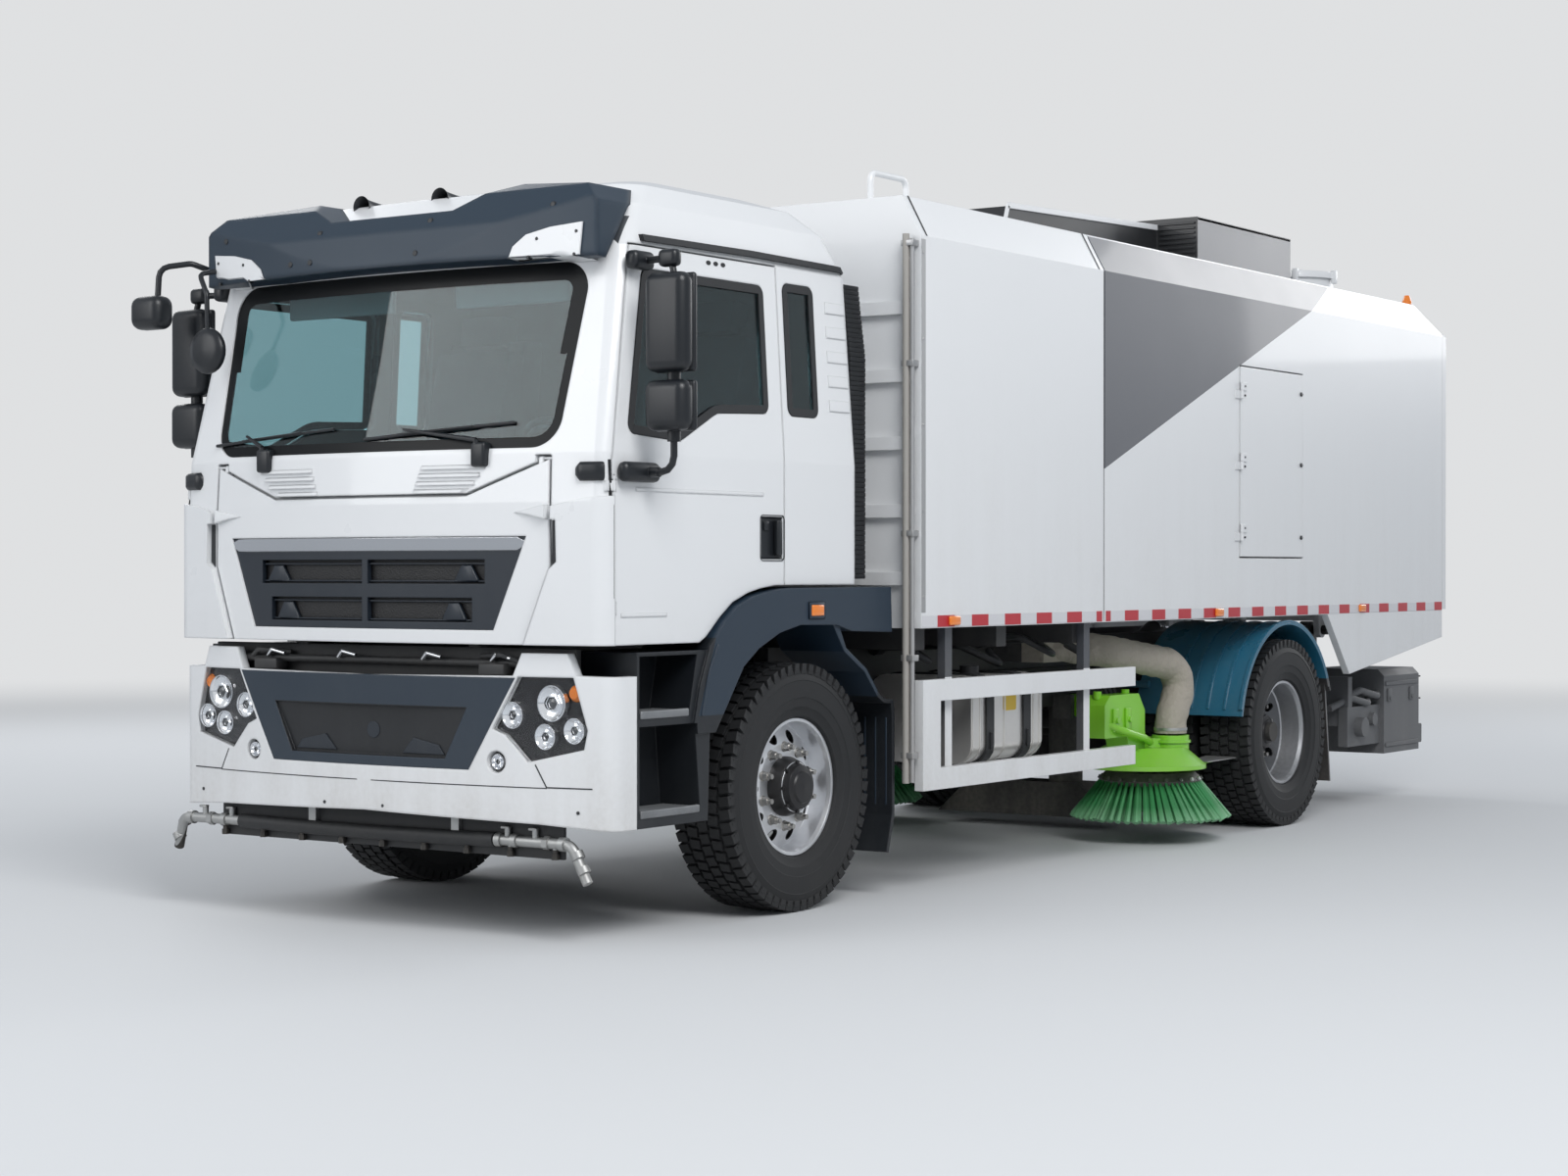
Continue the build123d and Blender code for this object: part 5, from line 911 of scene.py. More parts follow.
finish_piece(ledges, "front_flap_ledges", "front_flap", cab_paint, 20)
slots = bmesh.new()
for side in (1, -1):
    outline = front_points(side, 0.3, (0.9165, 1.45), (0.945, 1.473), (0.942, 1.629), (0.9165, 1.629))
    verts = [slots.verts.new(point) for point in outline]
    face = slots.faces.new(verts)
    lay_on(verts, shell_front, (0, 1, 0), 0.0005, 0.6)
    thicken(slots, [face], (0, -0.002, 0))
finish_piece(slots, "corner_slot_linings", "cab", black_plastic)
chrome = finish(
    "bright_strip", (0.72, 0.73, 0.75), 0.08, metallic=1.0, film=0.15, film_top=2.0, grain=40.0, edge=0.002,
)
strip_z, strip_half = 1.541, 0.812
strip = bmesh.new()
verts = add_ribbon(
    strip, (-strip_half, front_y, strip_z), (strip_half, front_y, strip_z), 0.058, (0, -1, 0), 30,
)
for vertex in verts:
    vertex.co.y = front_y + front_sag(vertex.co.x) + 0.0065
    if abs(vertex.co.x) > 0.8:
        vertex.co.z = 1.545
moved = thicken(strip, list(strip.faces), (0, -0.0062, 0))
for vertex in moved:
    vertex.co.z = strip_z + (vertex.co.z - strip_z) * 0.84
finish_piece(strip, "grille_strip", "front_flap", chrome)
mesh_black = finish(
    "grille_mesh", (0.006, 0.006, 0.007), 0.5, film=0.02, film_top=2.2, grain=160.0, depth=0.003,
)
screen_mesh = bmesh.new()
grid = bmesh.ops.create_grid(
    screen_mesh, x_segments=24, y_segments=4, size=0.5,
    matrix=Matrix.Translation((0, 0, 1.385)) @ Matrix.Rotation(math.pi / 2, 4, "X") @ Matrix.Diagonal(
        (1.42, 0.33, 1, 1),
    ),
)["verts"]
for vertex in grid:
    vertex.co.x *= 0.88 + 0.12 * (vertex.co.z - 1.22) / 0.33
    vertex.co.y = front_y + front_sag(vertex.co.x) + 0.033
thicken(screen_mesh, list(screen_mesh.faces), (0, 0.003, 0))
finish_piece(screen_mesh, "grille_mesh", "front_flap", mesh_black)
bars = bmesh.new()
for low_z, high_z, half in ((1.395, 1.47, 0.62), (1.242, 1.322, 0.56)):
    for z in (low_z, high_z - 0.006):
        for start in range(-6, 6):
            x0, x1 = start / 6 * half, (start + 1) / 6 * half
            start, end = [(x, front_y + front_sag(x) + 0.02, z) for x in (x0, x1)]
            add_rod(bars, start, end, 0.004, sides=8)
    for side in (1, -1):
        x = side * (half - 0.11)
        y = front_y + front_sag(x)
        verts = add_block(bars, (x - 0.06, y + 0.012, low_z), (x + 0.06, y + 0.03, high_z - 0.012), 0.006)
        for vertex in verts:
            if vertex.co.z > (low_z + high_z) / 2:
                vertex.co.x = x + (vertex.co.x - x) * 0.45
finish_piece(bars, "grille_bars", "front_flap", grille_plastic)

# Bumper
# Steel corner pieces in white around a moulded slate centre, with clear headlamps over black
# housings that hold four reflectors and an indicator each, and round fog lamps below them.
bumper_paint = finish(
    "bumper_white", white, 0.3, coat=0.5, film=0.5, film_top=1.1, grain=40.0, depth=0.00004, edge=0.014,
)
paint_nodes(bumper_paint, "front_bumper")
centre_plastic = finish(
    "centre_plastic", (0.012, 0.024, 0.04), 0.4, film=0.2, film_top=1.5, film_color=(0.09, 0.095, 0.1),
    grain=700.0, depth=0.00015, edge=0.008,
)
across, along, up = object_axes(centre_plastic)
# The slate plastic inside the centre opening is painted near black: painted shade for the recess.
opening_painted_shade = (abs(across) < up * 0.516 + 0.056) & (up > 0.699) & (up < 0.904)
color_by_mask(centre_plastic, opening_painted_shade, (0.012, 0.024, 0.04), (0.003, 0.004, 0.006))
paint_nodes(centre_plastic, "bumper_centre")
lamp_black = finish("lamp_housing", (0.016, 0.016, 0.018), 0.18, coat=0.6, film=0.1, film_top=1.2)
red_lens = finish("red_lens", (0.42, 0.008, 0.01), 0.15, coat=0.8, film_top=1.6, edge=0.002)
across, along, up = object_axes(lamp_black)
color_by_mask(lamp_black, along > 0, (0.016, 0.016, 0.018), (0.36, 0.01, 0.012))
paint_nodes(lamp_black, "lamps")
lamp_surface = surface_of("lamps")
bumper_surface = surface_of("front_bumper", "bumper_centre")
reflector = finish("reflector", (0.86, 0.87, 0.89), 0.12, metallic=1.0, film=0.0, edge=0.001)
amber = finish("amber_lens", (0.85, 0.22, 0.015), 0.15, coat=0.8, film=0.15, film_top=1.6, edge=0.002)
clear = clear_material("lamp_cover", (0.96, 0.97, 0.98), 1.15, 9.0, 4, 0.08)[0]
lamp_bowls = ((0.727, 0.877, 0.052), (0.9, 0.926, 0.07), (0.872, 0.797, 0.05), (0.997, 0.822, 0.05))
lamp_outline = [
    (0.757, 1.022), (0.648, 0.823), (0.703, 0.797), (0.803, 0.703), (1.042, 0.755), (1.056, 0.825),
    (0.998, 1.022),
]
lens_glass = finish("lens_glass", (0.05, 0.055, 0.06), 0.05, coat=1.0, film=0.02, film_top=1.2, edge=0.001)
for side, name in both_sides:
    bowls = bmesh.new()
    lenses = bmesh.new()
    for x, z, radius in lamp_bowls + ((0.66, 0.695, 0.03),):
        start = cast_front(lamp_surface, side * x, z)
        y = start.y if start else front_y + 0.1
        profile = [(-0.021, radius), (-0.021, radius * 0.93), (-0.012, radius * 0.78), (-0.003, radius * 0.5)]
        profile += [(-0.002, 0.0), (0.004, 0.0), (0.004, radius)]
        add_spun(bowls, profile + profile[:1], (side * x, y, z), 32, (0, 1, 0))
        lens_ring = [
            (-0.014, radius * 0.5), (-0.018, radius * 0.46), (-0.018, radius * 0.38), (0.0, radius * 0.36),
        ]
        add_spun(bowls, lens_ring + [(0.0, radius * 0.5)] + lens_ring[:1], (side * x, y, z), 6, (0, 1, 0))
        lens = Matrix.Translation((side * x, y - 0.006, z)) @ Matrix.Diagonal((1, 0.45, 1, 1))
        bmesh.ops.create_uvsphere(lenses, u_segments=20, v_segments=10, radius=radius * 0.37, matrix=lens)
    finish_piece(lenses, f"headlamp_lenses_{name}", "chassis", lens_glass, 60)
    finish_piece(bowls, f"headlamp_reflectors_{name}", "chassis", reflector, 40)
    indicator = bmesh.new()
    start = cast_front(lamp_surface, side, 0.962)
    y = start.y if start else front_y + 0.1
    add_rod(indicator, (side * 0.99, y, 0.965), (side * 0.99, y - 0.014, 0.965), 0.034, 0.022, 20)
    finish_piece(indicator, f"indicator_{name}", "chassis", amber, 30)
    cover = bmesh.new()
    corners = [cover.verts.new(point) for point in front_points(side, -0.1, *lamp_outline)]
    bmesh.ops.triangulate(cover, faces=[cover.faces.new(corners)])
    bmesh.ops.subdivide_edges(cover, edges=list(cover.edges), cuts=5, use_grid_fill=True)
    lay_on(cover.verts, lamp_surface, (0, 1, 0), 0.024)
    thicken(cover, list(cover.faces), (0, 0.003, 0))
    finish_piece(cover, f"headlamp_cover_{name}", "chassis", clear, 30)
# pressed seams and screws of the bumper, and the parts behind the gap above it
seams = bmesh.new()
for side in (1, -1):
    route = front_points(side, -0.1, (0.835, 0.69), (0.885, 0.603), (1.08, 0.603))
    add_path_strip(seams, bumper_surface, route, 0.005, (0, 1, 0), 0.0, 0.0012, 8)
route = [(x, front_y - 0.1, 0.6) for x in (-0.885, -0.4, 0.0, 0.4, 0.885)]
add_path_strip(seams, bumper_surface, route, 0.004, (0, 1, 0), 0.0, 0.001, 6)
for x, z in ((0.0, 0.575), (-0.22, 0.5), (0.1, 0.5), (1.02, 0.51), (-1.02, 0.51)):
    foot = cast_front(bumper_surface, x, z)
    if foot:
        add_rod(seams, foot + Vector((0, 0.004, 0)), foot - Vector((0, 0.003, 0)), 0.007, sides=10)
for vertex in seams.verts:
    vertex.co.y = max(vertex.co.y, front_y + 0.0002)
finish_piece(seams, "bumper_seams", "chassis", black_plastic)
centre_trim = bmesh.new()
for side in (1, -1):
    outline = front_points(side, 0.042, (0.18, 0.712), (0.4, 0.712), (0.37, 0.75), (0.24, 0.775))
    add_plate(centre_trim, outline, (0, -0.012, 0))
cap = [(0.0, 0.0), (0.0, 0.034), (0.006, 0.034), (0.006, 0.0)]
add_spun(centre_trim, cap, (0.02, front_y + 0.034, 0.8), 28, (0, 1, 0))
finish_piece(centre_trim, "bumper_centre_trim", "chassis", grille_plastic)
chassis_black = finish(
    "chassis_black", (0.018, 0.019, 0.021), 0.5, film=0.7, film_top=1.5, film_color=(0.13, 0.12, 0.105),
    grain=120.0, depth=0.0003, wear=0.4, wear_color=(0.14, 0.1, 0.07),
)
behind = bmesh.new()
add_block(behind, (-0.98, front_y + 0.14, 0.94), (0.98, front_y + 0.17, 1.135), 0.004)
add_rod(behind, (-0.9, front_y + 0.11, 1.075), (0.9, front_y + 0.11, 1.075), 0.016)
for side in (1, -1):
    add_block(behind, (side * 0.55, front_y + 0.06, 1.03), (side * 0.68, front_y + 0.13, 1.075), 0.008)
    run = [
        (side * x, front_y + y, z) for x, y, z in ((0.52, 0.12, 1.1), (0.66, 0.07, 1.11), (0.78, 0.13, 1.06))
    ]
    add_pipe(behind, follow(run, 0.03), 0.011)
finish_piece(behind, "bumper_backing", "chassis", chassis_black)
hooks = bmesh.new()
for x in (-0.62, -0.22, 0.24, 0.6):
    add_rod(hooks, (x, front_y + 0.085, 1.085), (x + 0.03, front_y + 0.075, 1.11), 0.009)
    add_rod(hooks, (x + 0.03, front_y + 0.075, 1.11), (x + 0.1, front_y + 0.08, 1.095), 0.007)
finish_piece(hooks, "bumper_latches", "chassis", chrome)

# Spray bar
# Galvanised water pipe on hangers with couplings, taps and threaded nozzles, a black rubber hose
# over its middle, and a rubber apron behind it.
galvanised = finish(
    "galvanised_pipe", (0.42, 0.43, 0.43), 0.38, metallic=0.9, film=0.4, film_top=0.9, grain=60.0,
    depth=0.0003, edge=0.002, wear=0.4, wear_color=(0.2, 0.14, 0.1),
)
bar_y, bar_z = front_y + 0.11, 0.385
across, along, up = object_axes(galvanised)
is_nozzle = (abs(across) < 0.93) & (up < bar_z - 0.023)
color_by_mask(galvanised, (along > bar_y + 0.017) | is_nozzle, (0.42, 0.43, 0.43), (0.012, 0.013, 0.015))
paint_nodes(galvanised, "spray_bar")
fittings = bmesh.new()
for x in (-1.1, -0.98, -0.9, 0.62, 0.7, 0.86, 0.94):
    add_rod(
        fittings, (x - 0.014, bar_y, bar_z), (x + 0.014, bar_y, bar_z), 0.028,
        sides=6 if x in (-0.98, 0.86) else 20,
    )
for x in (-1.02, -0.86, 0.66, 0.8):
    add_rod(fittings, (x, bar_y, bar_z), (x, bar_y, bar_z + 0.05), 0.013)
    add_block(
        fittings, (x - 0.03, bar_y - 0.01, bar_z + 0.045), (x + 0.012, bar_y + 0.01, bar_z + 0.055), 0.003,
    )
for x in [-0.9 + 0.225 * index for index in range(9)]:
    add_rod(fittings, (x, bar_y, bar_z - 0.062), (x, bar_y, bar_z - 0.04), 0.016, sides=6)
for x, z in ((-1.165, 0.36), (-1.2, 0.3), (1.01, 0.345), (1.04, 0.29)):
    y = bar_y if x > 0 else bar_y + 0.02
    add_rod(fittings, (x - 0.008, y, z + 0.012), (x + 0.006, y, z - 0.012), 0.027, sides=16)
finish_piece(fittings, "spray_bar_fittings", "chassis", galvanised)
apron = bmesh.new()
add_block(apron, (-0.93, bar_y + 0.0145, 0.322), (0.93, bar_y + 0.031, 0.503), 0.003)
hose_line = [Vector((x / 10, bar_y, bar_z - 0.0065 * (1 - ((x + 1) / 7.0) ** 2))) for x in range(-8, 7)]
add_pipe(apron, hose_line, 0.03, 16)
finish_piece(apron, "spray_apron_and_hose", "chassis", rubber)

# Steps and front arches
# Moulded slate arches over the front wheels with step boxes ahead of them, ribbed aluminium
# treads in the boxes and a ribbed rubber flap behind each wheel, all bolted to the frame.
across, along, up = object_axes(step_plastic)
arch_foot_z = 0.86
# The insides of the step boxes and the column below the arch's front foot are painted near black as painted
# shade; the rubber flap behind each wheel is black of its own.
step_box_painted_shade = along < ((up - arch_foot_z) | 0) * 0.38 + (axle_y - 0.78)
arch_foot_painted_shade = (up < arch_foot_z) & (along < axle_y - 0.4)
is_flap = (up < 0.93) & (along > axle_y + 0.55)
color_by_mask(step_plastic, step_box_painted_shade | arch_foot_painted_shade | is_flap, slate, (0.005, 0.007, 0.01))
paint_nodes(step_plastic, "step_fenders")
tread_metal = finish(
    "tread_aluminium", (0.3, 0.31, 0.32), 0.45, metallic=0.8, film=0.5, film_top=1.3, film_color=(
        0.09, 0.09, 0.09
    ), edge=0.002,
)
side_lamps = bmesh.new()
for side in (1, -1):
    add_block(side_lamps, (side * 1.17, axle_y + 0.01, 1.245), (side * 1.184, axle_y + 0.1, 1.292), 0.006, 3)
finish_piece(side_lamps, "arch_side_lamps", "chassis", amber)
steps = bmesh.new()
treads = bmesh.new()
for side in (1, -1):
    add_block(steps, (side * 1.171, axle_y - 0.005, 1.232), (side * 1.178, axle_y + 0.115, 1.305), 0.006)
    for tread_z, front, back in ((0.4975, -1.145, -0.765), (0.8825, -1.145, -0.835)):
        for row in range(9):
            x = side * (0.985 + 0.019 * row)
            add_block(
                treads, (x, axle_y + front, tread_z), (x + side * 0.009, axle_y + back, tread_z + 0.007),
                0.002, 1,
            )
        add_block(
            treads, (side * 1.148, axle_y + front, tread_z - 0.02),
            (side * 1.1665, axle_y + back, tread_z + 0.012), 0.006, 3,
        )
    for row in range(5):
        x = side * (0.9 + 0.055 * row)
        add_block(steps, (x, axle_y + 0.671, 0.4), (x + side * 0.012, axle_y + 0.6955, 0.79), 0.004)
    route = side_points(side * 1.3, (-0.76, 0.86), (-0.715, 1.02), (-0.65, 1.14))
    add_path_strip(steps, surface_of("step_fenders"), route, 0.012, (-side, 0, 0), 0.0, 0.003, 4)
finish_piece(steps, "arch_trim", "chassis", slate_plastic)
finish_piece(treads, "step_treads", "chassis", tread_metal)

# Chassis
# Frame rails, axles, springs, engine and gearbox in black satin paint under road dirt, with
# brake chambers, spring clamps, air tanks and the pipes that run along the rails.
paint_nodes(
    chassis_black, "chassis_frame", "engine", "axles", "knuckle_left", "knuckle_right", "lift_barrels",
)
paint_nodes(chrome, "lift_rods")
gear = bmesh.new()
for side in (1, -1):
    for y in (axle_y, rear_axle_y):
        for clamp_y in (y - 0.075, y + 0.075):
            for x in (side * 0.345, side * 0.435):
                add_rod(gear, (x, clamp_y, 0.46), (x, clamp_y, 0.69), 0.011, sides=8)
        chamber_x = side * 0.55
        add_rod(gear, (chamber_x, y + 0.12, 0.56), (chamber_x, y + 0.26, 0.58), 0.075)
        add_rod(gear, (chamber_x, y + 0.26, 0.58), (chamber_x, y + 0.3, 0.585), 0.06, 0.05)
    add_rod(gear, (side * 0.36, -1.85, 0.6), (side * 0.36, -1.35, 0.6), 0.11, sides=28)
    for z in (0.88, 0.905):
        run = [
            (side * 0.445, -1.9, z), (side * 0.445, -0.9, z + 0.01), (side * 0.446, 0.2, z),
            (side * 0.445, 0.9, z),
        ]
        add_pipe(gear, follow(run, 0.3), 0.009, 8)
for x, z in ((0.2, 1.05), (-0.24, 1.08), (0.05, 1.1)):
    run = [(x, -1.9, z), (x + 0.03, -0.5, z - 0.03), (x - 0.02, 0.6, z), (x, 1.4, z + 0.01)]
    add_pipe(gear, follow(run, 0.5), 0.016, 10)
finish_piece(gear, "running_gear_fittings", "chassis", chassis_black, 40)
lines = bmesh.new()
for y, z, run_y in ((-1.75, 1.08, 0.35), (-1.2, 1.06, 0.5), (-0.62, 1.09, 0.42), (-0.2, 1.07, 0.3)):
    run = [
        (0.47, y, z), (0.9, y + 0.05, z + 0.02), (1.02, y + run_y * 0.5, z - 0.08), (0.8, y + run_y, z - 0.02)
    ]
    add_pipe(lines, follow(run, 0.07), 0.017, 10)
    add_rod(lines, (0.47, y - 0.03, z), (0.47, y + 0.03, z), 0.035, sides=12)
finish_piece(lines, "body_hoses", "chassis", rubber, 40)

# Tyres
# Six steel-belted tyres, 1.05 m across: round side walls with raised rings, and five rows of
# tread blocks with open shoulders.
tyre_rubber = finish(
    "tyre_rubber", (0.008, 0.0087, 0.01), 0.62, film=0.28, film_top=1.3, film_color=(0.05, 0.049, 0.048),
    grain=160.0, depth=0.0004, edge=0.002,
)
half_profile = [
    (0.113, 0.292), (0.128, 0.3), (0.138, 0.335), (0.141, 0.338), (0.1455, 0.375), (0.1485, 0.378),
    (0.149, 0.41), (0.147, 0.448), (0.149, 0.451), (0.146, 0.458), (0.138, 0.486), (0.128, 0.503),
    (0.11, 0.508),
]
tyre_profile = [(-x, radius) for x, radius in half_profile] + [(0.0, 0.5105)] + half_profile[::-1]
tread_rows = (
    (-0.118, 0.05, 0.5), (-0.056, 0.046, 0.0), (0.0, 0.044, 0.5), (0.056, 0.046, 0.0), (0.118, 0.05, 0.5),
)
block_count = 60
tyre_radius = 0.525


def add_tyre(form, centre):
    """One tyre with its tread blocks."""
    centre = Vector(centre)
    add_spun(form, tyre_profile + tyre_profile[:1], centre)
    pitch = 2 * math.pi / block_count
    for x, width, shift in tread_rows:
        shoulder = abs(x) > 0.1
        top = tyre_radius - (0.0045 if shoulder else 0.0012)
        for index in range(block_count):
            turn = Matrix.Rotation((index + shift) * pitch, 4, "X")
            skew = Matrix.Rotation(0.14 if shift else -0.14, 4, "Z")
            place = Matrix.Translation(centre) @ turn @ Matrix.Translation((x, 0, top - 0.014)) @ skew
            size = Matrix.Diagonal((width, tyre_radius * pitch * 0.74, 0.028, 1))
            bmesh.ops.create_cube(form, size=1, matrix=place @ size)
            if shoulder:
                side_x = math.copysign(0.138, x)
                rib = Matrix.Translation(centre) @ turn @ Matrix.Translation((side_x, 0, 0.49))
                rib_size = Matrix.Diagonal((0.01, tyre_radius * pitch * 0.66, 0.026, 1))
                bmesh.ops.create_cube(form, size=1, matrix=rib @ rib_size)


wheel_z = tyre_radius
for side, name in both_sides:
    tyre = bmesh.new()
    add_tyre(tyre, (side * 0.985, axle_y, wheel_z))
    piece = finish_piece(tyre, f"front_tyre_tread_{name}", f"front_wheel_{name}", tyre_rubber)
    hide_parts(f"front_tyre_{name}")
    tyre = bmesh.new()
    for x in (1.096, 0.761):
        add_tyre(tyre, (side * x, rear_axle_y, wheel_z))
    piece = finish_piece(tyre, f"rear_tyre_treads_{name}", f"rear_wheels_{name}", tyre_rubber)
    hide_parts(f"rear_tyres_{name}")

# Wheels
# Forged aluminium rims with ten hand holes, ten nuts on a 335 mm circle, a polished lip and a
# greasy hub. The rear rims are darker and duller inside the dish.
rim_metal = finish(
    "rim_aluminium", (0.8, 0.81, 0.83), 0.33, metallic=0.9, film=0.25, film_top=1.2, film_color=(
        0.25, 0.24, 0.23,
    ),
    grain=30.0, edge=0.005,
)
across, along, up = object_axes(rim_metal)
along, up = along - axle_y, up - wheel_z
# Rings a little wider than the hand holes, and the rim's parts inboard of its face, are painted near black:
# painted shade where the wheel's dark inside shows through the holes.
hole_circle, hole_step = 0.216, math.pi / 5
off_circle = (along * along + up * up).combine("SQRT") - hole_circle
past_hole = (up.combine("ARCTAN2", along) / hole_step + 20.5).combine("FRACT") - 0.5
past_hole = past_hole * (hole_step * hole_circle)
hole_painted_shade = past_hole * past_hole + off_circle * off_circle < 0.0285**2
color_by_mask(rim_metal, hole_painted_shade | (abs(across) < 0.988), (0.8, 0.81, 0.83), (0.012, 0.012, 0.013))
paint_nodes(rim_metal, "front_rim_left", "front_rim_right")
rear_rim = finish(
    "rear_rim", (0.62, 0.63, 0.65), 0.34, metallic=0.85, film=0.6, film_top=1.2, film_color=(0.1, 0.1, 0.1),
    grain=60.0, depth=0.0002, edge=0.004,
)
across, along, up = object_axes(rear_rim)
along, up = along - rear_axle_y, up - wheel_z
# The dish is painted darker than the rim's lip.
in_dish = along * along + up * up < 0.262**2
color_by_mask(rear_rim, in_dish, (0.62, 0.63, 0.65), (0.16, 0.165, 0.175))
paint_nodes(rear_rim, "rear_rims_left", "rear_rims_right")
hub_grease = finish(
    "hub_grease", (0.018, 0.018, 0.02), 0.32, metallic=0.4, film_top=1.2, film_color=(
        0.08, 0.075, 0.07
    ), edge=0.004,
)
nut_metal = finish(
    "nut_steel", (0.5, 0.49, 0.47), 0.35, metallic=1.0, film_top=1.2, film_color=(0.2, 0.18, 0.15), edge=0.001
)
nut_circle = 0.1675
for side, name in both_sides:
    for wheel, x, y in (("front_wheel", 1.0445, axle_y), ("rear_wheels", 1.0255, rear_axle_y)):
        nuts = bmesh.new()
        for up, across in circle(10, nut_circle):
            foot = Vector((side * x, y + across, wheel_z + up))
            add_rod(nuts, foot, foot + Vector((side * 0.006, 0, 0)), 0.0235, 0.021, sides=20)
            add_rod(nuts, foot, foot + Vector((side * 0.03, 0, 0)), 0.0185, 0.0175, sides=6)
            add_rod(nuts, foot, foot + Vector((side * 0.05, 0, 0)), 0.011, sides=10)
        finish_piece(nuts, f"{wheel}_nuts_{name}", f"{wheel}_{name}", nut_metal)
        hub = bmesh.new()
        cap = (
            (0.0, 0.127), (0.02, 0.1265), (0.058, 0.112), (0.064, 0.1), (0.09, 0.092), (0.096, 0.07),
            (0.104, 0.064), (0.108, 0.0),
        )
        add_spun(hub, [(side * (x - 0.002 + out), radius) for out, radius in cap], (0, y, wheel_z), 40)
        for up, across in circle(8, 0.104):
            foot = Vector((side * (x + 0.062), y + across, wheel_z + up))
            add_rod(hub, foot, foot + Vector((side * 0.01, 0, 0)), 0.009, sides=6)
        finish_piece(hub, f"{wheel}_hub_{name}", f"{wheel}_{name}", hub_grease)

# Body
# Steel body in white with a slate grey wedge on each side of the hopper, a red and white
# reflective strip at the floor line, hinged service doors and edge mouldings along the roof.
body_paint, module_paint, hopper_paint = [
    finish(name, white, 0.34, coat=0.3, film=0.2, film_top=2.6, grain=30.0, depth=0.00006, edge=0.006)
    for name in ("body_white", "module_white", "hopper_paint")
]
across, along, up = object_axes(module_paint)
is_pipe = (along < axle_y + 0.737) & (abs(across) > 1.18)
color_by_mask(module_paint, is_pipe, white, (0.34, 0.325, 0.3))
paint_nodes(module_paint, "front_module")
door_paint = finish(
    "rear_door_paint", white, 0.34, coat=0.3, film_top=2.6, grain=30.0, depth=0.00006, edge=0.006,
)
tape_white, tape_red, tape_pitch, tape_half = (0.62, 0.62, 0.64), (0.45, 0.008, 0.02), 0.3, 0.024
across, along, up = object_axes(door_paint)
near_edge = (abs(abs(across) - 1.21) < tape_half) | (abs(up - 1.23) < tape_half)
in_tape = near_edge & (up < 2.8) & (along > axle_y + 7.0975)
is_red = ((across + up + 20) / tape_pitch).combine("FRACT") > 0.5
color_by_mask(door_paint, in_tape, white, add_mix(door_paint.node_tree, is_red, tape_white, tape_red))
paint_nodes(door_paint, "rear_door")
guard_paint = finish(
    "guard_white", white, 0.3, coat=0.4, film=0.45, film_top=1.2, grain=60.0, depth=0.00005, edge=0.005,
)
across, along, up = object_axes(guard_paint)
is_post = (abs(across) > 1.2085) & (up < 0.955)
color_by_mask(guard_paint, is_post, (0.05, 0.055, 0.065), white)
paint_nodes(guard_paint, "side_guards")
wedge_grey = (0.095, 0.1, 0.115)
wedge_front_y, wedge_low_z, wedge_slope = axle_y + 2.484, 1.939, 0.987 / 2.54
across, along, up = object_axes(hopper_paint)
in_wedge = (up - (along - wedge_front_y) * wedge_slope > wedge_low_z) & (abs(across) > 1.158)
color_by_mask(hopper_paint, in_wedge, white, wedge_grey)
paint_nodes(hopper_paint, "hopper_body", "service_door_left", "service_door_right")

tape = finish("reflective_tape", tape_white, 0.4, coat=0.3, film=0.1, film_top=1.6, grain=700.0, depth=0.0002)
across, along, up = object_axes(tape)
color_by_mask(tape, ((along + 20.08) / tape_pitch).combine("FRACT") > 0.5, tape_white, tape_red)
body_half, tape_low_z = 1.255, 1.184
for name, body, ends in (("module_tape", "chassis", (-2.06, -0.37)), ("hopper_tape", "hopper", (-0.33, 4.2))):
    strips = bmesh.new()
    for side in (1, -1):
        low, high = body_half + 0.0001, body_half + 0.0014
        add_block(strips, (side * low, ends[0], tape_low_z), (side * high, ends[1], tape_low_z + 0.052))
    finish_piece(strips, name, body, tape)
for name, body, ys in (
    ("module_side_lamps", "chassis", (-1.79,)), ("hopper_side_lamps", "hopper", (0.95, 2.9)),
):
    marker_lamps = bmesh.new()
    for side in (1, -1):
        for y in ys:
            add_block(
                marker_lamps, (side * body_half, y - 0.045, 1.19), (side * 1.2695, y + 0.045, 1.232), 0.006, 3
            )
    finish_piece(marker_lamps, name, body, amber)

# module: the cover strip of its front seam with screws, and a clipped pipe up each front corner
steel_trim = finish("zinc_plate", (0.5, 0.5, 0.5), 0.4, metallic=0.9, film_top=2.6, grain=80.0, edge=0.002)
seam_y = -2.047
module_trim = bmesh.new()
for side in (1, -1):
    low, high = (side * 1.2551, seam_y - 0.017, 1.25), (side * 1.2566, seam_y + 0.017, 2.9)
    add_block(module_trim, low, high, 0.0005, 1)
    for z in (1.32, 1.7, 2.08, 2.46, 2.84):
        add_rod(module_trim, (side * 1.25, seam_y, z), (side * 1.2585, seam_y, z), 0.007, sides=8)
    line = [Vector((side * 1.228, seam_y - 0.051, z / 10)) for z in range(5, 30)]
    add_pipe(module_trim, line, 0.011, 10)
    for z in (0.62, 1.05, 1.6, 2.35, 2.88):
        add_block(module_trim, (side * 1.18, -2.118, z - 0.014), (side * 1.244, -2.066, z + 0.014), 0.004)
finish_piece(module_trim, "module_pipe_clips", "chassis", steel_trim)
module_seams = bmesh.new()
for side in (1, -1):
    add_block(module_seams, (side * 1.2545, -0.3545, 1.19), (side * 1.2562, -0.3525, 2.91), 0.0003, 1)
    start, end = Vector((side * 1.2558, 0, 2.917)), Vector((side * 1.156, 0, 3.101))
    for y in (-2.02, -0.4):
        shift = Vector((0, y, 0))
        verts = add_ribbon(module_seams, start + shift, end + shift, 0.01, (side, 0, 0.55))
        thicken(module_seams, faces_of(verts), (side * 0.001, 0, 0.0006))
finish_piece(module_seams, "module_seams", "chassis", rubber)

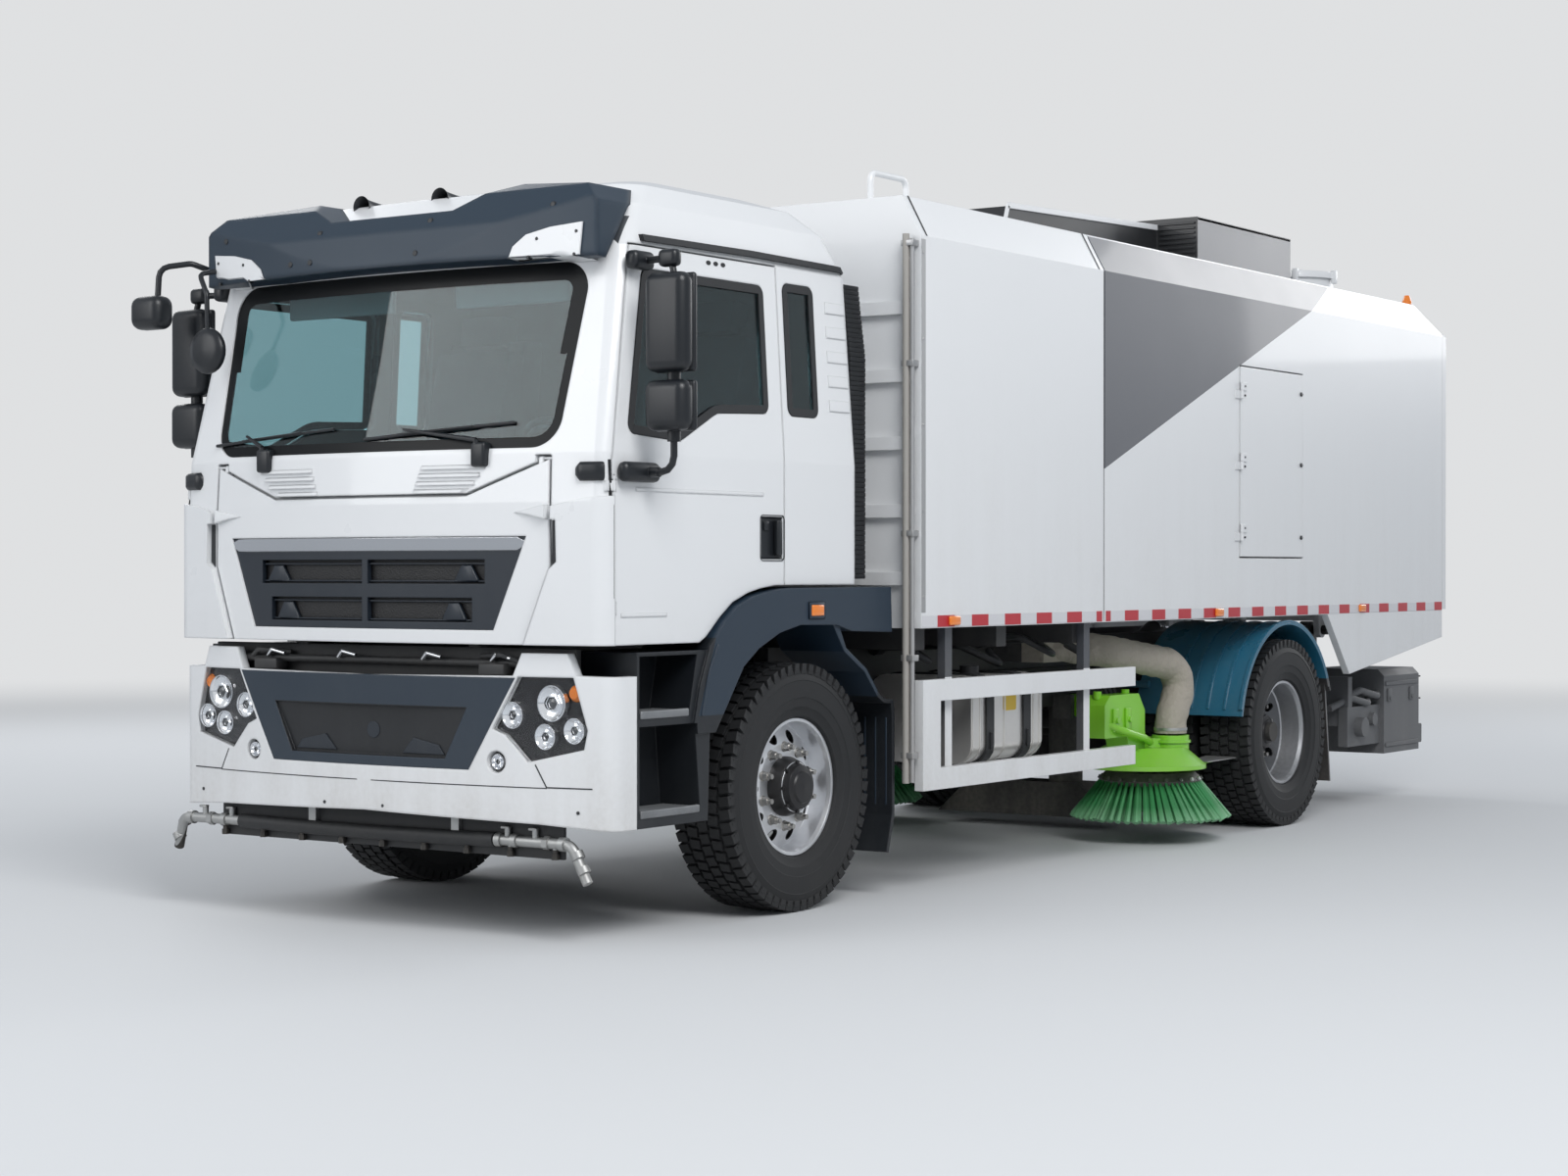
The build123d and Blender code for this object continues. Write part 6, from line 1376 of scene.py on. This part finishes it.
# service doors: three turn locks at the rear edge, and the bolts of the hinges
hinge_y, lock_y = 1.262, 2.012
for side, name in both_sides:
    fittings = bmesh.new()
    for z in (1.62, 2.03, 2.43):
        add_rod(fittings, (side * body_half, lock_y, z), (side * 1.266, lock_y, z), 0.012, sides=12)
        low, high = (side * 1.262, lock_y - 0.012, z - 0.004), (side * 1.268, lock_y + 0.012, z + 0.004)
        add_block(fittings, low, high, 0.001, 1)
    for z in (1.64, 2.025, 2.41):
        for offset in (-0.025, 0.025):
            start, end = (side * 1.262, hinge_y, z + offset), (side * 1.268, hinge_y, z + offset)
            add_rod(fittings, start, end, 0.006, sides=8)
    finish_piece(
        fittings, f"service_door_fittings_{name}", f"service_door_{name}", black_plastic,
    )

# lamps at the hopper's rear corners and on its roof
top_lamps = bmesh.new()
for x in (-1.05, 1.05):
    add_block(top_lamps, (x - 0.05, 4.13, 2.99), (x + 0.05, 4.2, 3.035), 0.012, 3)
finish_piece(top_lamps, "hopper_top_lamps", "hopper", red_lens)
beacon_lamps = bmesh.new()
for x in (-1.1, 1.1):
    add_rod(beacon_lamps, (x, 4.0, 3.099), (x, 4.0, 3.13), 0.03)
    add_rod(beacon_lamps, (x, 4.0, 3.13), (x, 4.0, 3.165), 0.028, 0.016)
finish_piece(beacon_lamps, "hopper_roof_lamps", "hopper", amber, 30)

# Roof gear
# The fan's silencer box in grey sheet with a black front grating and a pale frame round its top,
# its intake hood in front, and the manhole's hinged lid with clamps.
silencer_paint = finish(
    "silencer_grey", wedge_grey, 0.4, coat=0.3, film=0.2, film_top=3.4, grain=60.0, edge=0.006,
)
across, along, up = object_axes(silencer_paint)
color_by_mask(silencer_paint, along < 1.428, wedge_grey, (0.014, 0.015, 0.017))
paint_nodes(silencer_paint, "roof_silencer")
roof_trim = bmesh.new()
for x0, y0, x1, y1 in (
    (-0.9, 1.4255, -0.86, 2.674), (0.86, 1.4255, 0.9, 2.674), (-0.9, 1.4255, 0.9, 1.465), (
        -0.9, 2.634, 0.9, 2.674,
    ),
):
    add_block(roof_trim, (x0, y0, 3.3795), (x1, y1, 3.3998), 0.004)
for side in (1, -1):
    intake = [(side * 0.652, -0.322, 3.115), (side * 0.652, -0.255, 3.295), (side * 0.652, 1.42, 3.355)]
    for start, end in zip(intake, intake[1:]):
        verts = add_ribbon(roof_trim, start, end, 0.03, (side, 0, 0))
        thicken(roof_trim, faces_of(verts), (side * 0.006, 0, 0))
finish_piece(roof_trim, "silencer_frame", "hopper", body_paint)
grating = bmesh.new()
for index in range(9):
    z = 3.145 + 0.027 * index
    for x0, x1 in ((0.67, 0.885), (-0.885, -0.67)):
        add_block(grating, (x0, 1.4145, z), (x1, 1.4245, z + 0.012), 0.002, 1)
finish_piece(grating, "silencer_ribs", "hopper", silencer_paint)
lid = bmesh.new()
lid_x, lid_y, lid_z = 0.7, 3.125, 3.2
lid_section = [
    (0.0395, 0.0), (0.0395, 0.275), (0.028, 0.28), (0.0, 0.28), (0.0, 0.272), (0.036, 0.268), (0.036, 0.0),
]
add_spun(lid, lid_section, (lid_x, lid_y, lid_z), 48, (0, 0, 1))
for across, along in circle(6, 0.283):
    foot = Vector((lid_x + across, lid_y + along, lid_z))
    add_block(lid, foot + Vector((-0.016, -0.016, -0.03)), foot + Vector((0.016, 0.016, 0.05)), 0.005)
add_rod(lid, (lid_x - 0.08, lid_y, 3.26), (lid_x + 0.08, lid_y, 3.26), 0.01)
for x in (lid_x - 0.08, lid_x + 0.08):
    add_rod(lid, (x, lid_y, 3.235), (x, lid_y, 3.263), 0.009)
finish_piece(lid, "manhole_lid", "hopper", body_paint, 40)

# Side tank
# Aluminium fuel tank with pressed bands, black rubber-lined straps, a filler cap and a blank
# yellow plate; the case opposite it has the same fittings.
tank_metal = finish(
    "tank_aluminium", (0.78, 0.76, 0.73), 0.3, metallic=0.85, film_top=1.2, grain=30.0, edge=0.006,
)
paint_nodes(tank_metal, "fuel_tank")
tank_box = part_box("fuel_tank")
tank_front, tank_rear = tank_box[0][1], tank_box[1][1]
tank_low, tank_high = tank_box[0][2] + 0.008, tank_box[1][2] - 0.008
tank_middle = Vector((0.87, 0, (tank_low + tank_high) / 2))


def add_tank_band(form, side, y0, y1, proud):
    """A band right round the tank's rounded section."""
    bend = 0.09
    half_x, half_z = 0.28 + proud - bend, (tank_high - tank_low) / 2 + proud - bend
    outline = []
    for turned in [math.pi / 2 * quarter_turn for quarter_turn in range(4)]:
        corner_x, corner_z = math.copysign(half_x, math.cos(turned + 0.8)), math.copysign(
            half_z, math.sin(turned + 0.8),
        )
        for part in range(5):
            angle = turned + math.pi / 2 * part / 4
            outline.append(Vector((corner_x + bend * math.cos(angle), 0, corner_z + bend * math.sin(angle))))
    centre = Vector((side * tank_middle.x, y0, tank_middle.z))
    add_plate(form, [centre + point for point in outline], (0, y1 - y0, 0))


bands = bmesh.new()
straps = bmesh.new()
for side in (1, -1):
    ends = [(tank_front + 0.01, 0.016), (tank_rear - 0.03, 0.016)]
    for y, width in ends + [(y, 0.012) for y in (tank_front + 0.075, tank_front + 0.3, tank_rear - 0.09)]:
        add_tank_band(bands, side, y, y + width, 0.004)
    for y in (tank_front + 0.13, tank_rear - 0.19):
        add_tank_band(straps, side, y - 0.004, y + 0.064, 0.0105)
        add_rod(straps, (side * 1.165, y + 0.03, 0.6), (side * 1.165, y + 0.03, 0.68), 0.009, sides=8)
    cap_x, cap_y = side * 1.02, tank_front + 0.2
    add_rod(straps, (cap_x, cap_y, tank_high - 0.01), (cap_x, cap_y, tank_high + 0.045), 0.045)
finish_piece(bands, "tank_bands", "chassis", tank_metal)
finish_piece(straps, "tank_straps", "chassis", rubber, 40)
plate_paint = finish("tank_plate_yellow", (0.75, 0.5, 0.02), 0.4, film_top=1.2, edge=0.001)
plates = bmesh.new()
for side in (1, -1):
    outline = side_points(side * 1.1502, (1.665, 0.775), (1.785, 0.775), (1.785, 0.865), (1.665, 0.865))
    add_plate(plates, outline, (side * 0.0015, 0, 0), 0.012)
finish_piece(plates, "tank_plates", "chassis", plate_paint)

# Rear fenders
# Pressed steel fenders in teal over the twin wheels, hung on the frame, with raised ribs along
# them, a rolled outer edge and a dark rubber flap behind.
teal = finish(
    "teal_paint", (0.009, 0.125, 0.215), 0.28, coat=0.7, film=0.2, film_top=1.3, grain=60.0, depth=0.00005,
    edge=0.006,
)
across, along, up = object_axes(teal)
is_flap = (up < 0.81) & (along > rear_axle_y + 0.5)
color_by_mask(teal, is_flap, (0.009, 0.125, 0.215), (0.022, 0.022, 0.024))
paint_nodes(teal, "rear_fenders")
fender_ribs = bmesh.new()
fender_radius = 0.619
for side in (1, -1):
    rows = [math.radians(166 - 146 * index / 32) for index in range(33)]
    rows = [
        (rear_axle_y + math.cos(row) * fender_radius, wheel_z + math.sin(row) * fender_radius) for row in rows
    ]
    for x0, x1, proud in [(1.226, 1.2465, 0.012)] + [(x, x + 0.015, 0.006) for x in (1.13, 1.03, 0.93, 0.83)]:
        middle_x = side * (x0 + x1) / 2
        for start, end in zip(rows, rows[1:]):
            start, end = Vector((middle_x, *start)), Vector((middle_x, *end))
            outward = ((start + end) / 2 - Vector((middle_x, rear_axle_y, wheel_z))).normalized()
            verts = add_ribbon(fender_ribs, start, end, x1 - x0, outward)
            thicken(fender_ribs, faces_of(verts), outward * proud)
bmesh.ops.remove_doubles(fender_ribs, verts=fender_ribs.verts, dist=0.0005)
finish_piece(fender_ribs, "rear_fender_ribs", "chassis", teal, 40)

# Brush gear
# Lime green hood, motor and arm over a disc of green plastic bristles set in steel-backed tufts,
# with a canvas suction hose, its cuff on the socket, a steel deflector and hydraulic hoses.
lime = finish(
    "lime_paint", (0.22, 0.6, 0.018), 0.33, coat=0.4, film_top=0.9, grain=60.0, edge=0.005,
    wear=0.5, wear_color=(0.3, 0.3, 0.28),
)
paint_nodes(lime, "brush_arm_left", "brush_arm_right")
canvas = (0.36, 0.325, 0.275)
hose_canvas = finish("hose_canvas", canvas, 0.7, film=0.45, film_top=1.3, grain=34.0, depth=0.009, edge=0.004)
across, along, up = object_axes(hose_canvas)
color_by_mask(hose_canvas, abs(across) > 0.6, (0.03, 0.031, 0.034), canvas)
paint_nodes(hose_canvas, "suction_gear")
bristle_green = finish(
    "bristle_green", (0.03, 0.27, 0.075), 0.45, film_top=0.5, film_color=(0.12, 0.12, 0.1), edge=0.001,
)
across, along, up = object_axes(bristle_green)
tip = bristle_green.node_tree.nodes.new("ShaderNodeMapRange")
bristle_green.node_tree.links.new(up.socket, tip.inputs["Value"])
set_inputs(tip, {"From Min": 0.2, "From Max": 0.12})
color_by_mask(
    bristle_green, Field(bristle_green.node_tree, tip.outputs[0]), (0.025, 0.24, 0.07), (0.2, 0.5, 0.26),
)
brush_plate = finish("brush_plate", (0.02, 0.021, 0.023), 0.5, film=0.5, film_top=0.9, edge=0.004)
brush_x, brush_y = 0.96, axle_y + 3.56
socket_x, socket_y = 1.055, axle_y + 3.61
tufts = 56
for side, name in both_sides:
    centre = Vector((side * brush_x, brush_y, 0))
    bristles = bmesh.new()
    for ring, (top_radius, low_radius, top_z) in enumerate(
        ((0.255, 0.408, 0.33), (0.24, 0.385, 0.325), (0.2, 0.33, 0.32)),
    ):
        for index in range(tufts):
            turn = 2 * math.pi * (index + 0.5 * ring) / tufts + random.uniform(-0.025, 0.025)
            way = Vector((math.cos(turn), math.sin(turn), 0))
            lean = Vector((math.cos(turn + 0.06), math.sin(turn + 0.06), 0))
            top = centre + way * top_radius + Vector((0, 0, top_z))
            low = centre + lean * (low_radius + random.uniform(-0.012, 0.012))
            low += Vector((0, 0, 0.1225 + random.uniform(0, 0.006)))
            add_rod(bristles, top, low, 0.008, 0.0155, 6)
    piece = finish_piece(bristles, f"brush_bristles_{name}", f"brush_{name}", bristle_green)
    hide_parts(f"brush_{name}")
    backing = bmesh.new()
    add_spun(
        backing,
        [
            (0.318, 0.0), (0.318, 0.2), (0.3, 0.262), (0.325, 0.272), (0.352, 0.25), (0.368, 0.236),
            (0.3695, 0.0),
        ],
        centre, 56, (0, 0, 1),
    )
    add_rod(backing, centre + Vector((0, 0, 0.36)), centre + Vector((0, 0, 0.449)), 0.0245)
    finish_piece(backing, f"brush_plate_{name}", f"brush_{name}", brush_plate, 40)
    plate_bolts = bmesh.new()
    for pair in circle(20, 1.0, 0.5):
        way = Vector((*pair, 0))
        foot = centre + way * 0.262 + Vector((0, 0, 0.332))
        add_rod(plate_bolts, foot, foot + (way + Vector((0, 0, 0.5))).normalized() * 0.014, 0.011, sides=6)
    finish_piece(plate_bolts, f"brush_plate_bolts_{name}", f"brush_{name}", guard_paint)
    # arm fittings: two bolted collars, pinned plates, hose ends, a pipe and the hood's ribs
    fittings = bmesh.new()
    for z, radius in ((0.4305, 0.112), (0.52, 0.108)):
        add_spun(
            fittings, [(z, 0.09), (z, radius), (z + 0.012, radius), (z + 0.012, 0.09)],
            (side * socket_x, socket_y, 0), 40, (0, 0, 1),
        )
    for across, along in circle(8, 0.104):
        foot = Vector((side * socket_x + across, socket_y + along, 0.44))
        add_rod(fittings, foot, foot + Vector((0, 0, 0.012)), 0.006, sides=6)
    for offset_y in (-0.5, -0.36):
        y = brush_y + offset_y
        add_block(fittings, (side * 1.0105, y - 0.03, 0.6), (side * 1.022, y + 0.03, 0.72), 0.004)
        add_rod(fittings, (side * 1.01, y, 0.66), (side * 1.036, y, 0.66), 0.016, sides=12)
    for y in (brush_y - 0.56, brush_y - 0.25):
        add_rod(fittings, (side * 0.94, y, 0.77), (side * 0.94, y, 0.81), 0.022, sides=16)
    run = [
        (side * 0.99, brush_y - 0.56, 0.64), (side * 1.05, brush_y - 0.45, 0.6), (
            side * 1.05, brush_y - 0.25, 0.56,
        ),
        (side * 1.03, brush_y - 0.14, 0.53),
    ]
    add_pipe(fittings, follow(run, 0.05), 0.02, 12)
    for index in range(5):
        turn = 2.2 + 0.5 * index if side > 0 else math.pi - 2.2 - 0.5 * index
        way = Vector((math.cos(turn), math.sin(turn), 0))
        high = Vector((side * brush_x, brush_y - 0.09, 0.497)) + way * 0.2
        low = Vector((side * brush_x, brush_y - 0.09, 0.418)) + way * 0.325
        verts = add_ribbon(fittings, high, low, 0.012, way + Vector((0, 0, 1)))
        thicken(fittings, faces_of(verts), (0, 0, 0.012))
    finish_piece(fittings, f"brush_arm_fittings_{name}", f"brush_arm_{name}", lime, 40)
    deflector = bmesh.new()
    outline = [
        (side * (brush_x + 0.1), brush_y + 0.3, 0.4085), (side * (brush_x + 0.24), brush_y + 0.2, 0.4085),
        (side * (brush_x + 0.22), brush_y + 0.62, 0.4085), (side * (brush_x + 0.02), brush_y + 0.66, 0.4085),
    ]
    add_plate(deflector, outline, (0, 0, 0.004), 0.03)
    finish_piece(deflector, f"brush_deflector_{name}", f"brush_arm_{name}", steel_trim)
    arm_hoses = bmesh.new()
    for offset, rise in ((0.0, 0.0), (0.05, 0.03), (0.1, -0.02)):
        run = [
            (side * 0.6, brush_y - 0.3 + offset, 0.86 + rise), (
                side * 0.76, brush_y - 0.32 + offset, 0.9 + rise,
            ),
            (side * 0.86, brush_y - 0.36 + offset, 0.84), (side * 0.9, brush_y - 0.38 + offset, 0.785),
        ]
        add_pipe(arm_hoses, follow(run, 0.04), 0.011, 10)
    finish_piece(arm_hoses, f"brush_arm_hoses_{name}", f"brush_arm_{name}", rubber, 40)
    # suction hose: canvas over a wire helix, in soft folds, and the clamp at its cuff
    route = follow(
        [
            (side * socket_x, socket_y, 0.569), (side * socket_x, socket_y, 0.64),
            (side * (socket_x + 0.005), socket_y + 0.165, 0.915), (side * 0.93, brush_y - 0.4, 1.01),
            (side * 0.62, brush_y - 0.62, 1.06),
        ],
        0.12, 0.02,
    )
    fine = [route[0]]
    for start, end in zip(route, route[1:]):
        parts = max(1, round((end - start).length / 0.015))
        fine += [start.lerp(end, part / parts) for part in range(1, parts + 1)]
    hose_radius, fold = 0.0815, 0.0022
    radii = [
        hose_radius + fold * (1 + math.sin(index * 1.1)) + random.uniform(0, 0.0012)
        for index in range(len(fine))
    ]
    hose = bmesh.new()
    add_pipe(hose, fine, radii, 28)
    finish_piece(hose, f"suction_hose_{name}", "chassis", hose_canvas, 60)
    clamps = bmesh.new()
    ring = Vector((side * socket_x, socket_y, 0))
    add_spun(clamps, [(0.585, 0.08), (0.585, 0.0885), (0.6, 0.0885), (0.6, 0.08)], ring, 32, (0, 0, 1))
    finish_piece(clamps, f"suction_hose_clamp_{name}", "chassis", steel_trim, 40)

# Tail unit
# Dark steel cases behind the rear wheels, bolted to the tail frame, with their latches, edge
# mouldings and pipes, the lamp boards' guard rods and a blank plate between them.
case_paint = finish(
    "case_grey", (0.095, 0.098, 0.104), 0.5, film=0.6, film_top=1.2, film_color=(0.2, 0.2, 0.2), grain=120.0,
    depth=0.0002, edge=0.004,
)
paint_nodes(case_paint, "tail_guard")
rear_y = 4.275
tail = bmesh.new()
for side in (1, -1):
    case_x = side * 1.1
    for y in (rear_y - 0.56, rear_y - 0.2):
        add_block(tail, (case_x, y - 0.03, 0.62), (case_x + side * 0.009, y + 0.03, 0.7), 0.003)
        add_rod(tail, (case_x, y, 0.64), (case_x + side * 0.016, y, 0.64), 0.012, sides=10)
    for z in (0.34, 0.72):
        low, high = (case_x, rear_y - 0.62, z), (case_x + side * 0.007, rear_y - 0.09, z + 0.025)
        add_block(tail, low, high, 0.002, 1)
    for y, z in ((rear_y - 0.9, 0.64), (rear_y - 1.05, 0.6)):
        run = [
            (side * 1.0, y - 0.2, z), (side * 1.05, y, z + 0.06), (side * 1.08, y + 0.2, z + 0.02),
            (side * 1.02, y + 0.32, z + 0.04),
        ]
        add_pipe(tail, follow(run, 0.08), 0.022, 12)
    add_rod(tail, (side * 1.05, rear_y - 0.98, 0.48), (side * 1.12, rear_y - 0.98, 0.48), 0.06, sides=24)
    add_rod(tail, (side * 1.05, rear_y - 0.78, 0.52), (side * 1.1, rear_y - 0.78, 0.52), 0.04, sides=24)
    x = side * 0.9
    for z in (0.62, 0.76):
        add_rod(tail, (x - 0.19, rear_y - 0.012, z), (x + 0.19, rear_y - 0.012, z), 0.005, sides=8)
finish_piece(tail, "tail_unit_fittings", "chassis", case_paint, 40)
plate_white = finish("blank_plate", (0.7, 0.7, 0.7), 0.4, film_top=1.2, edge=0.001)
plate = bmesh.new()
outline = [(x, rear_y - 0.0148, z) for x, z in ((-0.22, 0.35), (0.22, 0.35), (0.22, 0.45), (-0.22, 0.45))]
add_plate(plate, outline, (0, 0.002, 0), 0.01)
finish_piece(plate, "rear_blank_plate", "chassis", plate_white)
